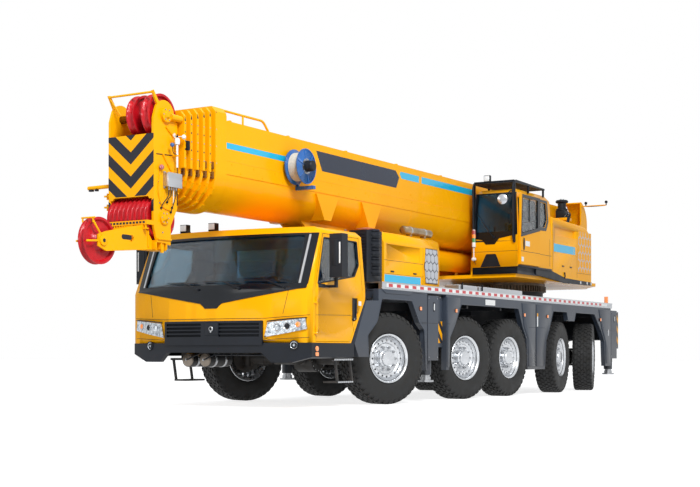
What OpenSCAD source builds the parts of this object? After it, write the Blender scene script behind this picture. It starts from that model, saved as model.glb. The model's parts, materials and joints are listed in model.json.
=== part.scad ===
// All-terrain crane on five steered axles, with a seven-part telescopic boom stowed over its cab.
// X points forward, Y to the vehicle's left, Z up. Every X size below is measured from the front
// axle, and place() then moves the whole machine so that its box is centred over the origin.

/* [Running gear] */
// Width over the fenders
body_w = 3000; // [2900:10:3100]
// First axle to second
gap_12 = 2440; // [2300:10:2600]
// Second axle to third
gap_23 = 1650; // [1600:10:1800]
// Third axle to fourth
gap_34 = 2300; // [2200:10:2500]
// Fourth axle to fifth
gap_45 = 1650; // [1600:10:1800]
// Outer radius of a tyre
tyre_r = 665; // [600:5:690]
// Width of a tyre
tyre_w = 385; // [350:5:420]
// Outer radius of the rim's flange
rim_r = 362; // [330:2:380]
// Kingpin to the middle plane of the tyre
king_offset = 178; // [165:1:200]
// Radius of a kingpin
king_r = 36; // [30:1:42]
// Radius of a wheel spindle
spindle_r = 60; // [50:1:70]
// Radius of an axle tube
axle_r = 95; // [80:1:110]
// How far the front wheels are turned to the right as parked
steer_rest = 21; // [0:1:25]

/* [Frame and deck] */
// Rear axle back to the rear bumper
tail_len = 1700; // [1620:10:1800]
// Half width of the main girder
frame_hw = 460; // [420:5:500]
// Underside of the girder
frame_z = 950; // [930:5:980]
// Top of the girder
frame_top = 1560; // [1530:5:1600]
// Top of the deck plates
deck_z = 1765; // [1750:5:1800]
// Depth of the deck's silver edge
deck_edge = 105; // [80:5:130]
// Height of the wheel arches
arch_z = 1525; // [1490:5:1560]
// Thickness of the fender skirts
skirt_t = 90; // [60:5:100]

/* [Outriggers] */
// Front outrigger box, middle, behind the front axle
rigger_front = 1305; // [1290:5:1320]
// Rear outrigger box, middle, ahead of the rear bumper
rigger_rear = 310; // [305:1:320]
// Width of a sliding beam
beam_w = 250; // [220:5:260]
// Height of a sliding beam
beam_h = 330; // [280:5:350]
// Wall of the outrigger boxes
box_wall = 20; // [12:1:24]
// Outer radius of a jack tube
jack_r = 88; // [80:1:95]
// Radius of a jack's rod
jack_rod_r = 68; // [55:1:72]
// Radius of a jack's foot
foot_r = 125; // [110:5:125]
// Clearance under a foot as parked
foot_z = 300; // [250:10:350]

/* [Driver's cab] */
// Rear wall of the cab, ahead of the front axle
cab_back = 880; // [860:5:900]
// Front of the cab on its centre line
cab_front = 2440; // [2420:5:2480]
// Height of the roof
cab_roof = 2430; // [2390:5:2450]
// Lower edge of the cab's panels
cab_low = 880; // [860:5:900]
// Height of the windscreen's foot
belt_z = 1610; // [1580:5:1640]
// Rake of the windscreen, in degrees
rake = 22; // [16:1:26]
// Thickness of the cab's walls and doors
cab_wall = 45; // [35:1:55]
// Thickness of every pane
pane_t = 8; // [5:1:10]
// Lowest edge of the bumper
bumper_z = 620; // [580:5:660]

/* [Power pack] */
// Height of the hood over the ground
hood_top = 2550; // [2500:5:2580]
// Length of the hood
hood_len = 1900; // [1800:10:2000]
// Half width over the hood
hood_hw = 1300; // [1250:5:1350]
// Half width of the trough between the hoods
trough_hw = 440; // [430:5:470]
// Length of the engine block
engine_len = 1300; // [1200:10:1340]
// Outer radius of the exhaust pipe
pipe_r = 62; // [50:1:75]

/* [Turntable] */
// Slewing axis, behind the front axle
slew_x = 6850; // [6800:5:6900]
// Outer radius of the slewing ring's teeth
ring_r = 930; // [900:5:960]
// Number of teeth on the slewing ring
ring_teeth = 90; // [60:2:110]
// Underside of the turntable
table_z = 2085; // [2080:1:2100]
// Half distance between the boom's side plates
cheek_hw = 505; // [500:1:520]
// Thickness of the side plates
cheek_t = 45; // [35:1:55]
// Boom foot pin, behind the front axle
foot_pin_x = 8900; // [8850:5:8950]
// Height of the boom foot pin
foot_pin_z = 3420; // [3400:5:3440]
// Radius of the boom foot pin
foot_pin_r = 70; // [60:1:80]
// Front of the operator's cab, behind the front axle
op_front = 4500; // [4480:5:4520]
// Length of the operator's cab
op_len = 1550; // [1500:10:1570]
// Height of the operator's cab over its floor
op_height = 1380; // [1330:5:1410]
// Radius of the winch drum's flanges
winch_r = 225; // [200:5:230]

/* [Boom] */
// Half width of the base section
boom_hw = 460; // [450:1:470]
// Top of the base section as stowed
boom_top = 3800; // [3780:5:3810]
// Height of the straight sides of the base section
boom_side = 700; // [680:5:710]
// Each section is smaller than the one round it by this much a side
boom_step = 30; // [26:1:31]
// Plate thickness of the sections
boom_t = 10; // [8:1:12]
// Front of the base section, ahead of the front axle
boom_nose = 3010; // [2980:5:3030]
// Distance from one collar to the next
collar_pitch = 112; // [108:1:116]
// Thickness of a collar
collar_t = 45; // [40:1:50]
// Height of a collar round its section
collar_h = 50; // [40:1:60]
// Height of a collar's top over its section
collar_top = 145; // [120:5:150]
// Length of the boom head
head_len = 460; // [440:5:480]
// Half width of the boom head
head_hw = 364; // [350:1:370]
// Radius of the head's sheaves
sheave_r = 270; // [250:2:280]
// Radius of the nose sheave
nose_r = 280; // [260:2:290]
// Nose sheave's pin, ahead of the boom head
nose_reach = 830; // [810:5:850]
// Number of sheaves in the lower row
lower_sheaves = 9; // [7:1:10]
// Outer radius of the hose reel's flanges
reel_r = 250; // [220:5:260]

/* [Lift cylinder] */
// Lower pin, behind the front axle
lift_low_x = 5600; // [5550:10:5650]
// Height of the lower pin
lift_low_z = 2420; // [2410:1:2430]
// Upper pin, behind the front axle
lift_up_x = 400; // [350:10:450]
// Height of the upper pin
lift_up_z = 2380; // [2370:1:2390]
// Outer radius of the barrel
barrel_r = 185; // [170:1:195]
// Radius of the rod
rod_r = 130; // [120:1:140]

/* [Hidden] */
$fn = 96;
side_names = ["left", "right"];
axle_count = 5;
axle_x = [0, -gap_12, -gap_12 - gap_23, -gap_12 - gap_23 - gap_34, -gap_12 - gap_23 - gap_34 - gap_45];
// Steering angle of each axle as a share of the front one's, about a centre between axles 3 and 4
steer_share = [1, 0.62, 0.21, -0.38, -0.83];
jack_names = ["front_left", "front_right", "rear_left", "rear_right"];
boom_sections = 6;

yellow = "#f2a900";
dark = "#3a3f4a";
black = "#1d1f22";
silver = "#b9bcc0";
red = "#b3202a";
glass = "#5f7f8a";

half_w = body_w / 2;
hub_z = tyre_r;
wheel_y = half_w - tyre_w / 2;
king_y = wheel_y - king_offset;
run = 0.05;
seat = 0.5;
clear = 5;
slide_gap = 0.5;
// Under an outrigger beam, which slides on the floor of its box
runner_gap = 0.3;
// Front end of the main girder, behind the bumper
horn_x = 2120;
tail_x = axle_x[axle_count - 1] - tail_len;
head_back = boom_nose + collar_pitch * (boom_sections - 1) + 40;
head_front = head_back + head_len;
nose_x = head_front + nose_reach;
nose_tip = nose_x + nose_r;
mid_x = (nose_tip + tail_x) / 2;
boom_axis_z = boom_top - boom_side;
ring_h = 165;
ring_z = table_z - ring_h;

// Moves the machine so that its box is centred over the origin
module place() { translate([-mid_x, 0, 0]) children(); }
// The same thing on both sides of the middle plane
module both() { children(); mirror([0, 1, 0]) children(); }
// A block given by its limits
module block(x, y, z) { translate([x[0], y[0], z[0]]) cube([x[1] - x[0], y[1] - y[0], z[1] - z[0]]); }
// A side-view outline (x, z) between two widths
module side_form(y) { translate([0, y[1], 0]) rotate([90, 0, 0]) linear_extrude(y[1] - y[0]) children(); }
// A front-view outline (y, z) between two lengths
module front_form(x) { translate([x[0], 0, 0]) rotate([90, 0, 90]) linear_extrude(x[1] - x[0]) children(); }
// A plan outline (x, y) between two heights
module plan_form(z) { translate([0, 0, z[0]]) linear_extrude(z[1] - z[0]) children(); }
module bar_x(x, y, z, r) { translate([x[0], y, z]) rotate([0, 90, 0]) cylinder(r = r, h = x[1] - x[0]); }
module bar_y(x, y, z, r) { translate([x, y[0], z]) rotate([-90, 0, 0]) cylinder(r = r, h = y[1] - y[0]); }
module bar_z(x, y, z, r) { translate([x, y, z[0]]) cylinder(r = r, h = z[1] - z[0]); }

// Running gear

ear_z = 128;
ear_t = 46;
ear_r = 66;
yoke_back = 92;
strut_y = 700;
strut_r = 58;
bracket_z = 1400;

// One rigid axle: banjo casing, tube, yokes for the kingpins and the struts that carry the frame
module axle_beam(x) {
    casing_r = 205;
    casing_w = 330;
    difference() {
        union() {
            bar_y(x, [-king_y + yoke_back, king_y - yoke_back], hub_z, axle_r);
            bar_y(x, [-casing_w / 2, casing_w / 2], hub_z, casing_r);
            bar_x([x - casing_r - 60, x + casing_r + 60], 0, hub_z, axle_r);
            both() {
                block([x - ear_r, x + ear_r], [king_y - yoke_back - 50, king_y - yoke_back],
                      [hub_z - ear_z - ear_t, hub_z + ear_z + ear_t]);
                for (z = [hub_z - ear_z - ear_t, hub_z + ear_z]) {
                    bar_z(x, king_y, [z, z + ear_t], ear_r);
                    block([x - ear_r, x + ear_r], [king_y - yoke_back - 50, king_y], [z, z + ear_t]);
                }
                bar_z(x, strut_y, [hub_z, bracket_z], strut_r);
                bar_z(x, strut_y, [hub_z + 200, bracket_z - 260], strut_r + 20);
                block([x - 90, x + 90], [strut_y - 85, strut_y + 85], [hub_z - axle_r, hub_z + axle_r]);
            }
        }
        both() bar_z(x, king_y, [hub_z - ear_z - ear_t - 1, hub_z + ear_z + ear_t + 1], king_r + run);
    }
}
module axle_beams() { color(dark) for (x = axle_x) axle_beam(x); }

// A steering knuckle on the left side, pointing straight ahead, about its kingpin at the origin
module knuckle_form() {
    block_h = ear_z - clear;
    plate_y = 72;
    plate_t = 24;
    arm_len = 300;
    cylinder(r = king_r, h = 2 * (ear_z + ear_t) - 8, center = true);
    cylinder(r = ear_r, h = 2 * block_h, center = true);
    block([-ear_r, ear_r], [0, plate_y + 1], [-block_h, block_h]);
    bar_y(0, [plate_y, plate_y + plate_t], 0, rim_r - 140);
    bar_y(0, [plate_y, king_offset + 60], 0, spindle_r);
    plan_form([-block_h, -block_h + 45]) polygon([[0, -20], [-120, -20], [-arm_len, -75], [-arm_len - 30, -60],
        [-arm_len - 30, -25], [-250, -22], [-110, 28], [0, 30]]);
}
module knuckle(i, s) {
    color(dark) translate([axle_x[i], s * king_y, hub_z]) rotate([0, 0, -steer_rest * steer_share[i]])
        scale_side(s) knuckle_form();
}
module scale_side(s) { if (s > 0) children(); else mirror([0, 1, 0]) children(); }

// Tyre outline (radius, half width): bead, sidewall and crown, mirrored about the middle plane
tyre_half = [[rim_r - 46, 0.385], [rim_r + 4, 0.39], [rim_r + 6, 0.44], [rim_r + 40, 0.482],
             [rim_r + 120, 0.5], [tyre_r - 85, 0.492], [tyre_r - 34, 0.455], [tyre_r - 10, 0.405],
             [tyre_r, 0.34]];
module tyre() {
    last = len(tyre_half) - 1;
    rotate([-90, 0, 0]) rotate_extrude() polygon(concat(
        [for (p = tyre_half) [p[0], p[1] * tyre_w]],
        [for (k = [0 : last]) [tyre_half[last - k][0], -tyre_half[last - k][1] * tyre_w]]));
}
// Rim with its disc, brake drum and hub cap, about the wheel's middle, outer face towards +Y
module rim() {
    barrel = rim_r - 46 - seat;
    half = 0.385 * tyre_w - seat;
    edge = 0.44 * tyre_w + 6;
    disc_y = 92;
    drum_r = 215;
    hub_r = 135;
    holes = 20;
    hole_ring = 268;
    nuts = 12;
    difference() {
        union() {
            rotate([-90, 0, 0]) rotate_extrude() polygon([
                [barrel - 22, -edge], [rim_r, -edge], [rim_r, -half - 14], [barrel, -half],
                [barrel, half], [rim_r, half + 14], [rim_r, edge], [barrel - 22, edge],
                [barrel - 34, disc_y + 26], [drum_r, disc_y + 14], [drum_r, disc_y - 8],
                [barrel - 34, disc_y + 4], [barrel - 22, -edge]]);
            bar_y(0, [-king_offset + 72 + 24 + clear, disc_y + 14], 0, drum_r);
            bar_y(0, [disc_y, disc_y + 62], 0, hub_r);
            bar_y(0, [disc_y + 60, disc_y + 92], 0, hub_r - 24);
            for (k = [0 : nuts - 1]) rotate([0, 360 / nuts * k, 0])
                bar_y(hub_r + 32, [disc_y, disc_y + 42], 0, 15);
        }
        bar_y(0, [-tyre_w, 60 + clear], 0, spindle_r + run);
        for (k = [0 : holes - 1]) rotate([0, 360 / holes * k, 0])
            bar_y(hole_ring - 12, [disc_y - 20, disc_y + 60], 0, 15);
    }
}
module wheel(i, s) {
    translate([axle_x[i], s * king_y, hub_z]) rotate([0, 0, -steer_rest * steer_share[i]])
        scale_side(s) translate([0, king_offset, 0]) {
            color(black) tyre();
            color(silver) rim();
        }
}

// Frame, deck and fenders

rigger_x = [-rigger_front, tail_x + rigger_rear];
beam_pitch = beam_w + 2 * clear + box_wall;
rigger_hl = beam_pitch + box_wall / 2;
rigger_z = 1200;
box_hh = beam_h / 2 + clear + box_wall;
box_end = half_w - 310;
// Middle of each beam: the left one lies ahead of the right one
function beam_x(k) = rigger_x[floor(k / 2)] + beam_side(k) * beam_pitch / 2;
function beam_side(k) = k % 2 == 0 ? 1 : -1;
engine_back = rigger_x[0] + rigger_hl + 30;
engine_z = 1010;
engine_hw = 385;

tow_r = 26;
tow_z = 830;
lamp_t = 40;
// Half width of the rear cross member, between the jacks
tail_hw = half_w - 250;
shelf_t = 12;
module chassis_frame() {
    gooseneck_x = 640;
    rail_t = 40;
    tank_r = 100;
    tank_y = 690;
    tank_z = 650;
    color(dark) difference() {
        union() {
            difference() {
                side_form([-frame_hw, frame_hw]) polygon([
                    [horn_x, 740], [horn_x, cab_low - seat], [cab_back + 60, cab_low - seat],
                    [gooseneck_x, frame_top], [tail_x + 60, frame_top], [tail_x + 60, 1010],
                    [tail_x + 700, frame_z], [-250, frame_z], [350, 800], [cab_back + 60, 740]]);
                block([engine_back, gooseneck_x - 60], [-frame_hw + rail_t, frame_hw - rail_t],
                      [frame_z - 300, frame_top + 1]);
            }
            for (x = rigger_x)
                block([x - rigger_hl, x + rigger_hl], [-box_end, box_end],
                      [rigger_z - box_hh, rigger_z + box_hh]);
            bar_z(-slew_x, 0, [frame_top, ring_z], ring_r - 60);
            bar_z(-slew_x, 0, [frame_top, deck_z - 60], ring_r + 60);
            for (x = axle_x) both()
                block([x - 110, x + 110], [frame_hw - 1, strut_y + 90], [bracket_z, bracket_z + 110]);
            for (x = [-2600, -3900, -7200, -8500]) both()
                block([x - 30, x + 30], [frame_hw - 1, half_w - skirt_t - 20], [frame_top - 90, deck_z - deck_edge - shelf_t]);
            block([tail_x + lamp_t, tail_x + 110], [-tail_hw, tail_hw], [rigger_z + box_hh - 1, frame_top + 90]);
            // Air tanks under the gooseneck, on their brackets
            for (y = [-tank_y, -tank_y + 305]) bar_x([1560, 2060], y, tank_z, tank_r);
            for (x = [1680, 1900]) block([x, x + 50], [-tank_y - 30, -frame_hw + 40], [tank_z + tank_r - 12, tank_z + tank_r + 30]);
            // Towing jaw under the rear outrigger box
            for (z = [tow_z, tow_z + 110]) difference() {
                block([tail_x + 15, tail_x + 110], [-tow_r * 2.4, tow_r * 2.4], [z, z + 35]);
                bar_z(tail_x + 15 + tow_r * 1.9, 0, [z - 1, z + 36], tow_r);
            }
            block([tail_x + 105, tail_x + 150], [-tow_r * 2.4, tow_r * 2.4], [tow_z, rigger_z - box_hh + 1]);
        }
        for (k = [0 : 3]) block([beam_x(k) - beam_w / 2 - clear, beam_x(k) + beam_w / 2 + clear],
            [-box_end - 1, box_end + 1], [rigger_z - beam_h / 2 - runner_gap, rigger_z + beam_h / 2 + clear]);
        bar_z(-slew_x, 0, [deck_z - 60, ring_z + 1], ring_r - 330);
    }
}

module deck() {
    front = 400;
    plate = 14;
    color(silver) difference() {
        union() {
            block([tail_x + 440, front], [-half_w + 30, half_w - 30], [deck_z - plate, deck_z]);
            both() block([tail_x + 560, front], [half_w - 60, half_w], [deck_z - deck_edge, deck_z]);
            both() block([tail_x + 440, front], [half_w - 300, half_w - 270], [deck_z - deck_edge, deck_z]);
            // Flat boxes behind the hoods
            for (x = [[-2910, -2220], [-4750, -2970]]) both()
                block(x, [half_w - 330, half_w - 80], [deck_z - 1, deck_z + 72]);
        }
        bar_z(-slew_x, 0, [deck_z - 200, deck_z + 1], ring_r + 20);
        block([engine_back - 60, engine_back + 40 + engine_len + clear], [-frame_hw, frame_hw], [deck_z - 200, deck_z + 1]);
    }
}

// Skirts over the wheels. Columns: front foot, front shoulder, rear shoulder, rear foot of an arch
module fenders() {
    foot = 480;
    step = 1200;
    top = deck_z - deck_edge;
    bay = beam_pitch + 40;
    drop = [axle_x[3] - 290, axle_x[3] - 760];
    drop_z = 1360;
    shelf_x = cab_back - 380;
    color(dark) both() {
        difference() {
            side_form([half_w - skirt_t, half_w - 2]) polygon([
                [cab_back - 40, 1480], [cab_back + 280, cab_low - 10], [cab_back + 170, 690],
                [axle_x[0] + 780, 690], [axle_x[0] + 800, 1000], [axle_x[0] + 530, step], [axle_x[0] + 400, arch_z],
                [axle_x[0] - 500, arch_z], [axle_x[0] - 740, step], [axle_x[0] - 900, 1090], [axle_x[0] - 950, foot],
                [axle_x[1] + 725, foot], [axle_x[1] + 690, 980], [axle_x[1] + 500, step], [axle_x[1] + 280, arch_z],
                [axle_x[2] - 320, arch_z], [axle_x[2] - 510, step], [axle_x[2] - 690, 980], [axle_x[2] - 725, foot - 30],
                [axle_x[3] + 790, foot - 30], [axle_x[3] + 720, 980], [axle_x[3] + 560, step], [axle_x[3] + 380, arch_z],
                [drop[0], arch_z], [drop[0] - 70, drop_z], [drop[1] + 70, drop_z], [drop[1], arch_z],
                [axle_x[4] - 120, arch_z], [axle_x[4] - 500, step], [axle_x[4] - 700, 980], [axle_x[4] - 750, foot],
                [rigger_x[1] + bay, foot], [rigger_x[1] + bay, top], [shelf_x, top], [shelf_x, 1490]]);
            // Bays where the jacks stand
            for (x = rigger_x) block([x - bay, x + bay], [half_w - skirt_t - 1, half_w], [0, rigger_z + 450]);
        }
        // Shelf over the wheels that carries the deck's edge
        block([rigger_x[1] + bay, shelf_x - 100], [half_w - 280, half_w - skirt_t + 1], [top - shelf_t, top]);
        for (x = [axle_x[0] + 380, axle_x[0] - 520, axle_x[1] + 300, axle_x[2] - 340, axle_x[3] + 400, axle_x[4] - 140])
            block([x - 12, x + 12], [half_w - 280, half_w - skirt_t + 1], [arch_z + 10, top]);
    }
}

// Driver's cab

module cab_outline(i, behind = 0) {
    nose_arc = 5700;
    intersection() {
        translate([cab_back + i - behind, -half_w + i])
            square([cab_front - cab_back - 2 * i + behind, body_w - 2 * i]);
        translate([cab_front - i - nose_arc, 0]) circle(r = nose_arc, $fn = 256);
    }
}
// The cab's outer form, taken in by i all round
module cab_form(i) {
    sill = cab_low + i;
    intersection() {
        plan_form([sill, cab_roof - i]) cab_outline(i);
        translate([cab_front * (1 - 1 / cos(rake)), 0, belt_z]) rotate([0, -rake, 0])
            translate([0, 0, -1600]) linear_extrude(3200) cab_outline(i, 900);
        side_form([-half_w, half_w]) polygon([
            [cab_back + 380 + i, sill], [cab_front, sill], [cab_front, cab_roof - i], [cab_back + i, cab_roof - i],
            [cab_back + i, 1490]]);
        front_form([cab_back, cab_front]) polygon([
            [-half_w + i, sill], [half_w - i, sill], [half_w - i, belt_z], [half_w - 70 - i, cab_roof - 70],
            [half_w - 160 - i, cab_roof - i], [-half_w + 160 + i, cab_roof - i], [-half_w + 70 + i, cab_roof - 70],
            [-half_w + i, belt_z]]);
    }
}
door_front = 2150;
door_back = 960;
door_top = cab_roof - 95;
door_gap = 6;
// Side-view outline of a door, grown by g
module door_outline(g) {
    polygon([[door_front + g, cab_low + 20 - g], [door_front + g, belt_z + 30],
             [door_front - 275 + g, door_top + g], [door_back - g, door_top + g], [door_back - g, 1490],
             [door_back + 335 - g, cab_low + 20 - g]]);
}
// Side window, with its low line rising to the rear
module side_window(g) {
    polygon([[door_front - 65 + g, belt_z + 60 - g], [door_front - 300 + g, door_top - 45 + g],
             [door_back + 50 - g, door_top - 45 + g], [door_back + 50 - g, 1960], [door_back + 190, 1800 - g]]);
}
screen_hw = half_w - 210;
module windscreen_outline(g) {
    polygon([[-screen_hw - g, belt_z + 45 - g], [screen_hw + g, belt_z + 45 - g],
             [screen_hw - 50 + g, cab_roof - 105 + g], [-screen_hw + 50 - g, cab_roof - 105 + g]]);
}
module rear_window_outline(g) {
    polygon([[-700 - g, 1850 - g], [700 + g, 1850 - g], [700 + g, 2250 + g], [-700 - g, 2250 + g]]);
}
hinge_x = door_front + door_gap / 2;
hinge_y = half_w + 12;
hinge_pin = 6;
hinge_h = 60;
hinge_foot = [1020, 1420];
// Half of a hinge between two heights: barrel and leaf, the leaf d long
module hinge_half(z, d) {
    bar_z(hinge_x, hinge_y, z, 2 * hinge_pin);
    block(d > 0 ? [hinge_x, hinge_x + d] : [hinge_x + d, hinge_x], [half_w - 1, half_w + 10], z);
}
module cab_shell() {
    color(yellow) both() for (z = hinge_foot) {
        hinge_half([z - 30, z - 1], 55);
        bar_z(hinge_x, hinge_y, [z - 30, z + hinge_h + 15], hinge_pin);
    }
    color(yellow) difference() {
        cab_form(0);
        cab_form(cab_wall);
        side_form([half_w - 160, half_w + 1]) door_outline(door_gap);
        side_form([-half_w - 1, -half_w + 160]) door_outline(door_gap);
        front_form([cab_front - 700, cab_front + 1]) windscreen_outline(0);
        front_form([cab_back - 1, cab_back + cab_wall + 1]) rear_window_outline(0);
    }
}
module cab_pane() { difference() { cab_form(cab_wall / 2 - pane_t / 2); cab_form(cab_wall / 2 + pane_t / 2); } }
module cab_glass() {
    color(glass) {
        intersection() {
            cab_pane();
            front_form([cab_front - 700, cab_front + 1]) windscreen_outline(-seat);
        }
        intersection() {
            cab_pane();
            front_form([cab_back - 1, cab_back + cab_wall + 1]) rear_window_outline(-seat);
        }
    }
}
module cab_door(s) {
    mirror_x = [1765, 1915];
    mirror_y = [half_w + 60, half_w + 255];
    mirror_z = [1745, 2325];
    arm_z = belt_z + 53;
    color(yellow) scale_side(s) difference() {
        intersection() {
            difference() { cab_form(0); cab_form(cab_wall); }
            side_form([half_w - 160, half_w + 1]) door_outline(0);
        }
        side_form([half_w - 200, half_w + 1]) side_window(0);
        // Grip recess
        block([door_back + 110, door_back + 270], [half_w - 16, half_w + 1], [1180, 1500]);
    }
    color(yellow) scale_side(s) for (z = hinge_foot) difference() {
        hinge_half([z, z + hinge_h], -60);
        bar_z(hinge_x, hinge_y, [z - 1, z + hinge_h + 1], hinge_pin + run);
    }
    // Mirror on its arm, bolted to the foot of the window
    color(black) scale_side(s) {
        block([door_front - 190, door_front - 60], [half_w - 30, half_w + 22], [arm_z - 55, arm_z - 5]);
        block([mirror_x[0] + 60, door_front - 100], [half_w + 2, half_w + 20], [arm_z - 50, arm_z - 15]);
        block([mirror_x[0] + 60, mirror_x[0] + 100], [half_w + 2, mirror_y[0] + 80], [arm_z - 50, arm_z - 15]);
        block([mirror_x[0] + 60, mirror_x[0] + 100], [mirror_y[0] + 45, mirror_y[0] + 80], [arm_z - 50, mirror_z[0] + 1]);
        block(mirror_x, mirror_y, mirror_z);
    }
    color(glass) scale_side(s) intersection() {
        cab_pane();
        side_form([half_w - 200, half_w + 1]) side_window(-seat);
    }
}
module seat_form(x, y, z) {
    block([x - 240, x + 240], [y - 240, y + 240], [z, z + 130]);
    block([x - 300, x - 180], [y - 230, y + 230], [z, z + 640]);
    block([x - 150, x + 160], [y - 160, y + 160], [z - 260, z + 1]);
}
module cab_interior() {
    floor_z = cab_low + cab_wall;
    seat_z = floor_z + 300;
    dash_x = cab_front - 240;
    color(black) {
        block([cab_back + 470, cab_front - 330], [-half_w + 130, half_w - 130], [floor_z, floor_z + 60]);
        for (y = [-760, 760]) seat_form(1440, y, seat_z);
        side_form([-half_w + 190, half_w - 190]) polygon([[dash_x - 260, floor_z + 50], [dash_x - 90, floor_z + 50],
            [dash_x - 40, belt_z - 60], [dash_x - 190, belt_z + 20], [dash_x - 320, belt_z - 160]]);
        translate([cab_front - 590, 760, belt_z + 30]) rotate([0, -38, 0]) {
            rotate_extrude() translate([215, 0]) circle(r = 16, $fn = 24);
            for (a = [0, 120, 240]) rotate([0, 0, a]) translate([0, -14, -8]) cube([212, 28, 16]);
            translate([0, 0, -270]) cylinder(r = 45, h = 280);
        }
    }
}
// Bumper outline as seen from the front
module bumper_face() {
    polygon([[-half_w, cab_low - seat], [-half_w, bumper_z + 110], [-half_w + 270, bumper_z], [-half_w + 560, bumper_z],
             [-half_w + 700, bumper_z + 130], [half_w - 700, bumper_z + 130], [half_w - 560, bumper_z],
             [half_w - 270, bumper_z], [half_w, bumper_z + 70], [half_w, cab_low - seat]]);
}
module front_bumper() {
    slats = 4;
    grille_z = [945, 1145];
    slat_t = 18;
    grille_y = 820;
    face_x = cab_front + 34;
    color(black) {
        difference() {
            intersection() {
                plan_form([bumper_z - 1, cab_low]) translate([14, 0]) cab_outline(0);
                front_form([cab_back + 300, cab_front + 60]) bumper_face();
            }
            plan_form([bumper_z - 2, cab_low - seat - 60]) cab_outline(70);
            block([cab_back, horn_x + seat], [-half_w + 120, half_w - 120], [bumper_z - 2, cab_low + 1]);
        }
        // Grille of level slats in front of the cab's nose
        difference() {
            intersection() {
                plan_form([cab_low - 30, grille_z[1] + 30]) translate([34, 0]) cab_outline(0);
                block([cab_front - 200, cab_front + 60], [-grille_y, grille_y], [cab_low - 61, grille_z[1] + 30]);
            }
            plan_form([0, cab_roof]) cab_outline(-seat);
            for (k = [0 : slats - 1]) let (p = (grille_z[1] - grille_z[0]) / slats)
                both() block([cab_front - 200, face_x + 30], [150, grille_y - 40],
                      [grille_z[0] + p * k + slat_t, grille_z[0] + p * (k + 1)]);
        }
    }
}
module lamps() {
    lamp_z = [955, 1200];
    marker_r = 42;
    rail_z = cab_roof + seat;
    color(silver) {
        both() intersection() {
            difference() {
                plan_form(lamp_z) translate([26, 0]) cab_outline(0);
                plan_form([0, cab_roof]) cab_outline(-seat);
            }
            front_form([cab_front - 400, cab_front + 60])
                polygon([[half_w - 650, lamp_z[0]], [half_w - 600, 1150], [half_w - 80, lamp_z[1]], [half_w - 60, 1060],
                         [half_w - 320, 1010]]);
        }
        // Roof lamps on their feet
        for (y = [-850, -350]) {
            block([1850, 1950], [y - 65, y + 65], [rail_z, cab_roof + 25]);
            block([1880, 1960], [y - 60, y + 60], [cab_roof + 24, cab_roof + 130]);
        }
        both() block([tail_x, tail_x + lamp_t - seat], [tail_hw - 350, tail_hw - 30], [1450, 1560]);
    }
    color("orange") both() bar_z(tail_x + 75, tail_hw - marker_r - 8, [frame_top + 90 + seat, 1930], marker_r);
}
module cab_steps() {
    tread_y = [half_w - 320, half_w - 90];
    color(black) both() {
        // Folding stirrup under the side tread
        for (x = [1050, 1430])
            side_form([half_w - 120, half_w - 90]) polygon([[x, 345], [x + 30, 345], [x + 90, 641], [x + 60, 641]]);
        block([1040, 1470], tread_y, [335, 360]);
        block([1040, 1560], tread_y, [640, 672]);
        block([1080, 1520], [tread_y[0], tread_y[0] + 60], [671, cab_low - seat]);
    }
}

// Power pack

module engine_hood() {
    wall = 30;
    back = -hood_len;
    inner = trough_hw;
    pipe_y = hood_hw - 220;
    module skin(i) {
        front_form([back + i, -i]) polygon([[inner + i, deck_z + seat], [hood_hw - i, deck_z + seat],
            [hood_hw - i, hood_top - 180], [hood_hw - 60 - i, hood_top - 60], [hood_hw - 200, hood_top - i],
            [inner + 60, hood_top - i], [inner + i, hood_top - 60]]);
    }
    color(yellow) both() {
        difference() {
            skin(0);
            difference() { skin(wall); block([back, 0], [0, half_w], [0, deck_z + seat + 1]); }
            // Corner at the rear, cut off
            plan_form([deck_z, hood_top + 1]) polygon([[back - 1, hood_hw - 110], [back + 130, hood_hw + 1], [back - 1, hood_hw + 1]]);
            // Recessed panel
            block([-1120, -90], [hood_hw - 14, hood_hw + 1], [hood_top - 420, hood_top - 200]);
        }
        block([-1700, -1250], [hood_hw - 1, hood_hw + 14], [deck_z + 60, hood_top - 190]);
    }
    // Exhaust pipe on the left hood, on its two feet
    color(silver) {
        difference() {
            bar_x([-1850, -980], pipe_y, hood_top + pipe_r + 25, pipe_r);
            bar_x([-1851, -1400], pipe_y, hood_top + pipe_r + 25, pipe_r - 6);
        }
        for (x = [-1640, -1180]) block([x - 25, x + 25], [pipe_y - 40, pipe_y + 40], [hood_top - 1, hood_top + 45]);
    }
}
module engine() {
    block_top = 2060;
    duct_ribs = 5;
    color(black) {
        block([engine_back + 40, engine_back + 40 + engine_len], [-engine_hw, engine_hw], [engine_z, block_top]);
        // Air intake column beside the cab's rear wall, with its ribbed duct
        block([60, 500], [1010, hood_hw], [deck_z + seat, hood_top - 40]);
        block([60, 340], [engine_hw - 1, 1011], [deck_z + 40, deck_z + 240]);
        for (x = [engine_back + 200, engine_back + engine_len - 200]) both()
            block([x - 50, x + 50], [engine_hw - 1, frame_hw - 40], [1300, 1380]);
        for (k = [0 : duct_ribs - 1]) let (z = deck_z + 90 + k * 135)
            bar_z(270, hood_hw - 20, [z, z + 90], 100);
    }
    color(silver) {
        bar_z(-560, -300, [block_top - 1, hood_top - 210], pipe_r);
    }
}
module slew_ring() {
    tooth = 26;
    color(silver) difference() {
        union() {
            bar_z(-slew_x, 0, [ring_z, table_z - seat], ring_r - tooth);
            for (k = [0 : ring_teeth - 1])
                translate([-slew_x, 0, ring_z + 10]) rotate([0, 0, 360 / ring_teeth * k])
                    translate([ring_r - tooth - 6, 0, 0]) linear_extrude(ring_h - 60)
                        polygon([[0, -17], [tooth + 6, -8], [tooth + 6, 8], [0, 17]]);
        }
        bar_z(-slew_x, 0, [ring_z - 1, table_z + 1], ring_r - 190);
    }
}

// Outriggers

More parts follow.
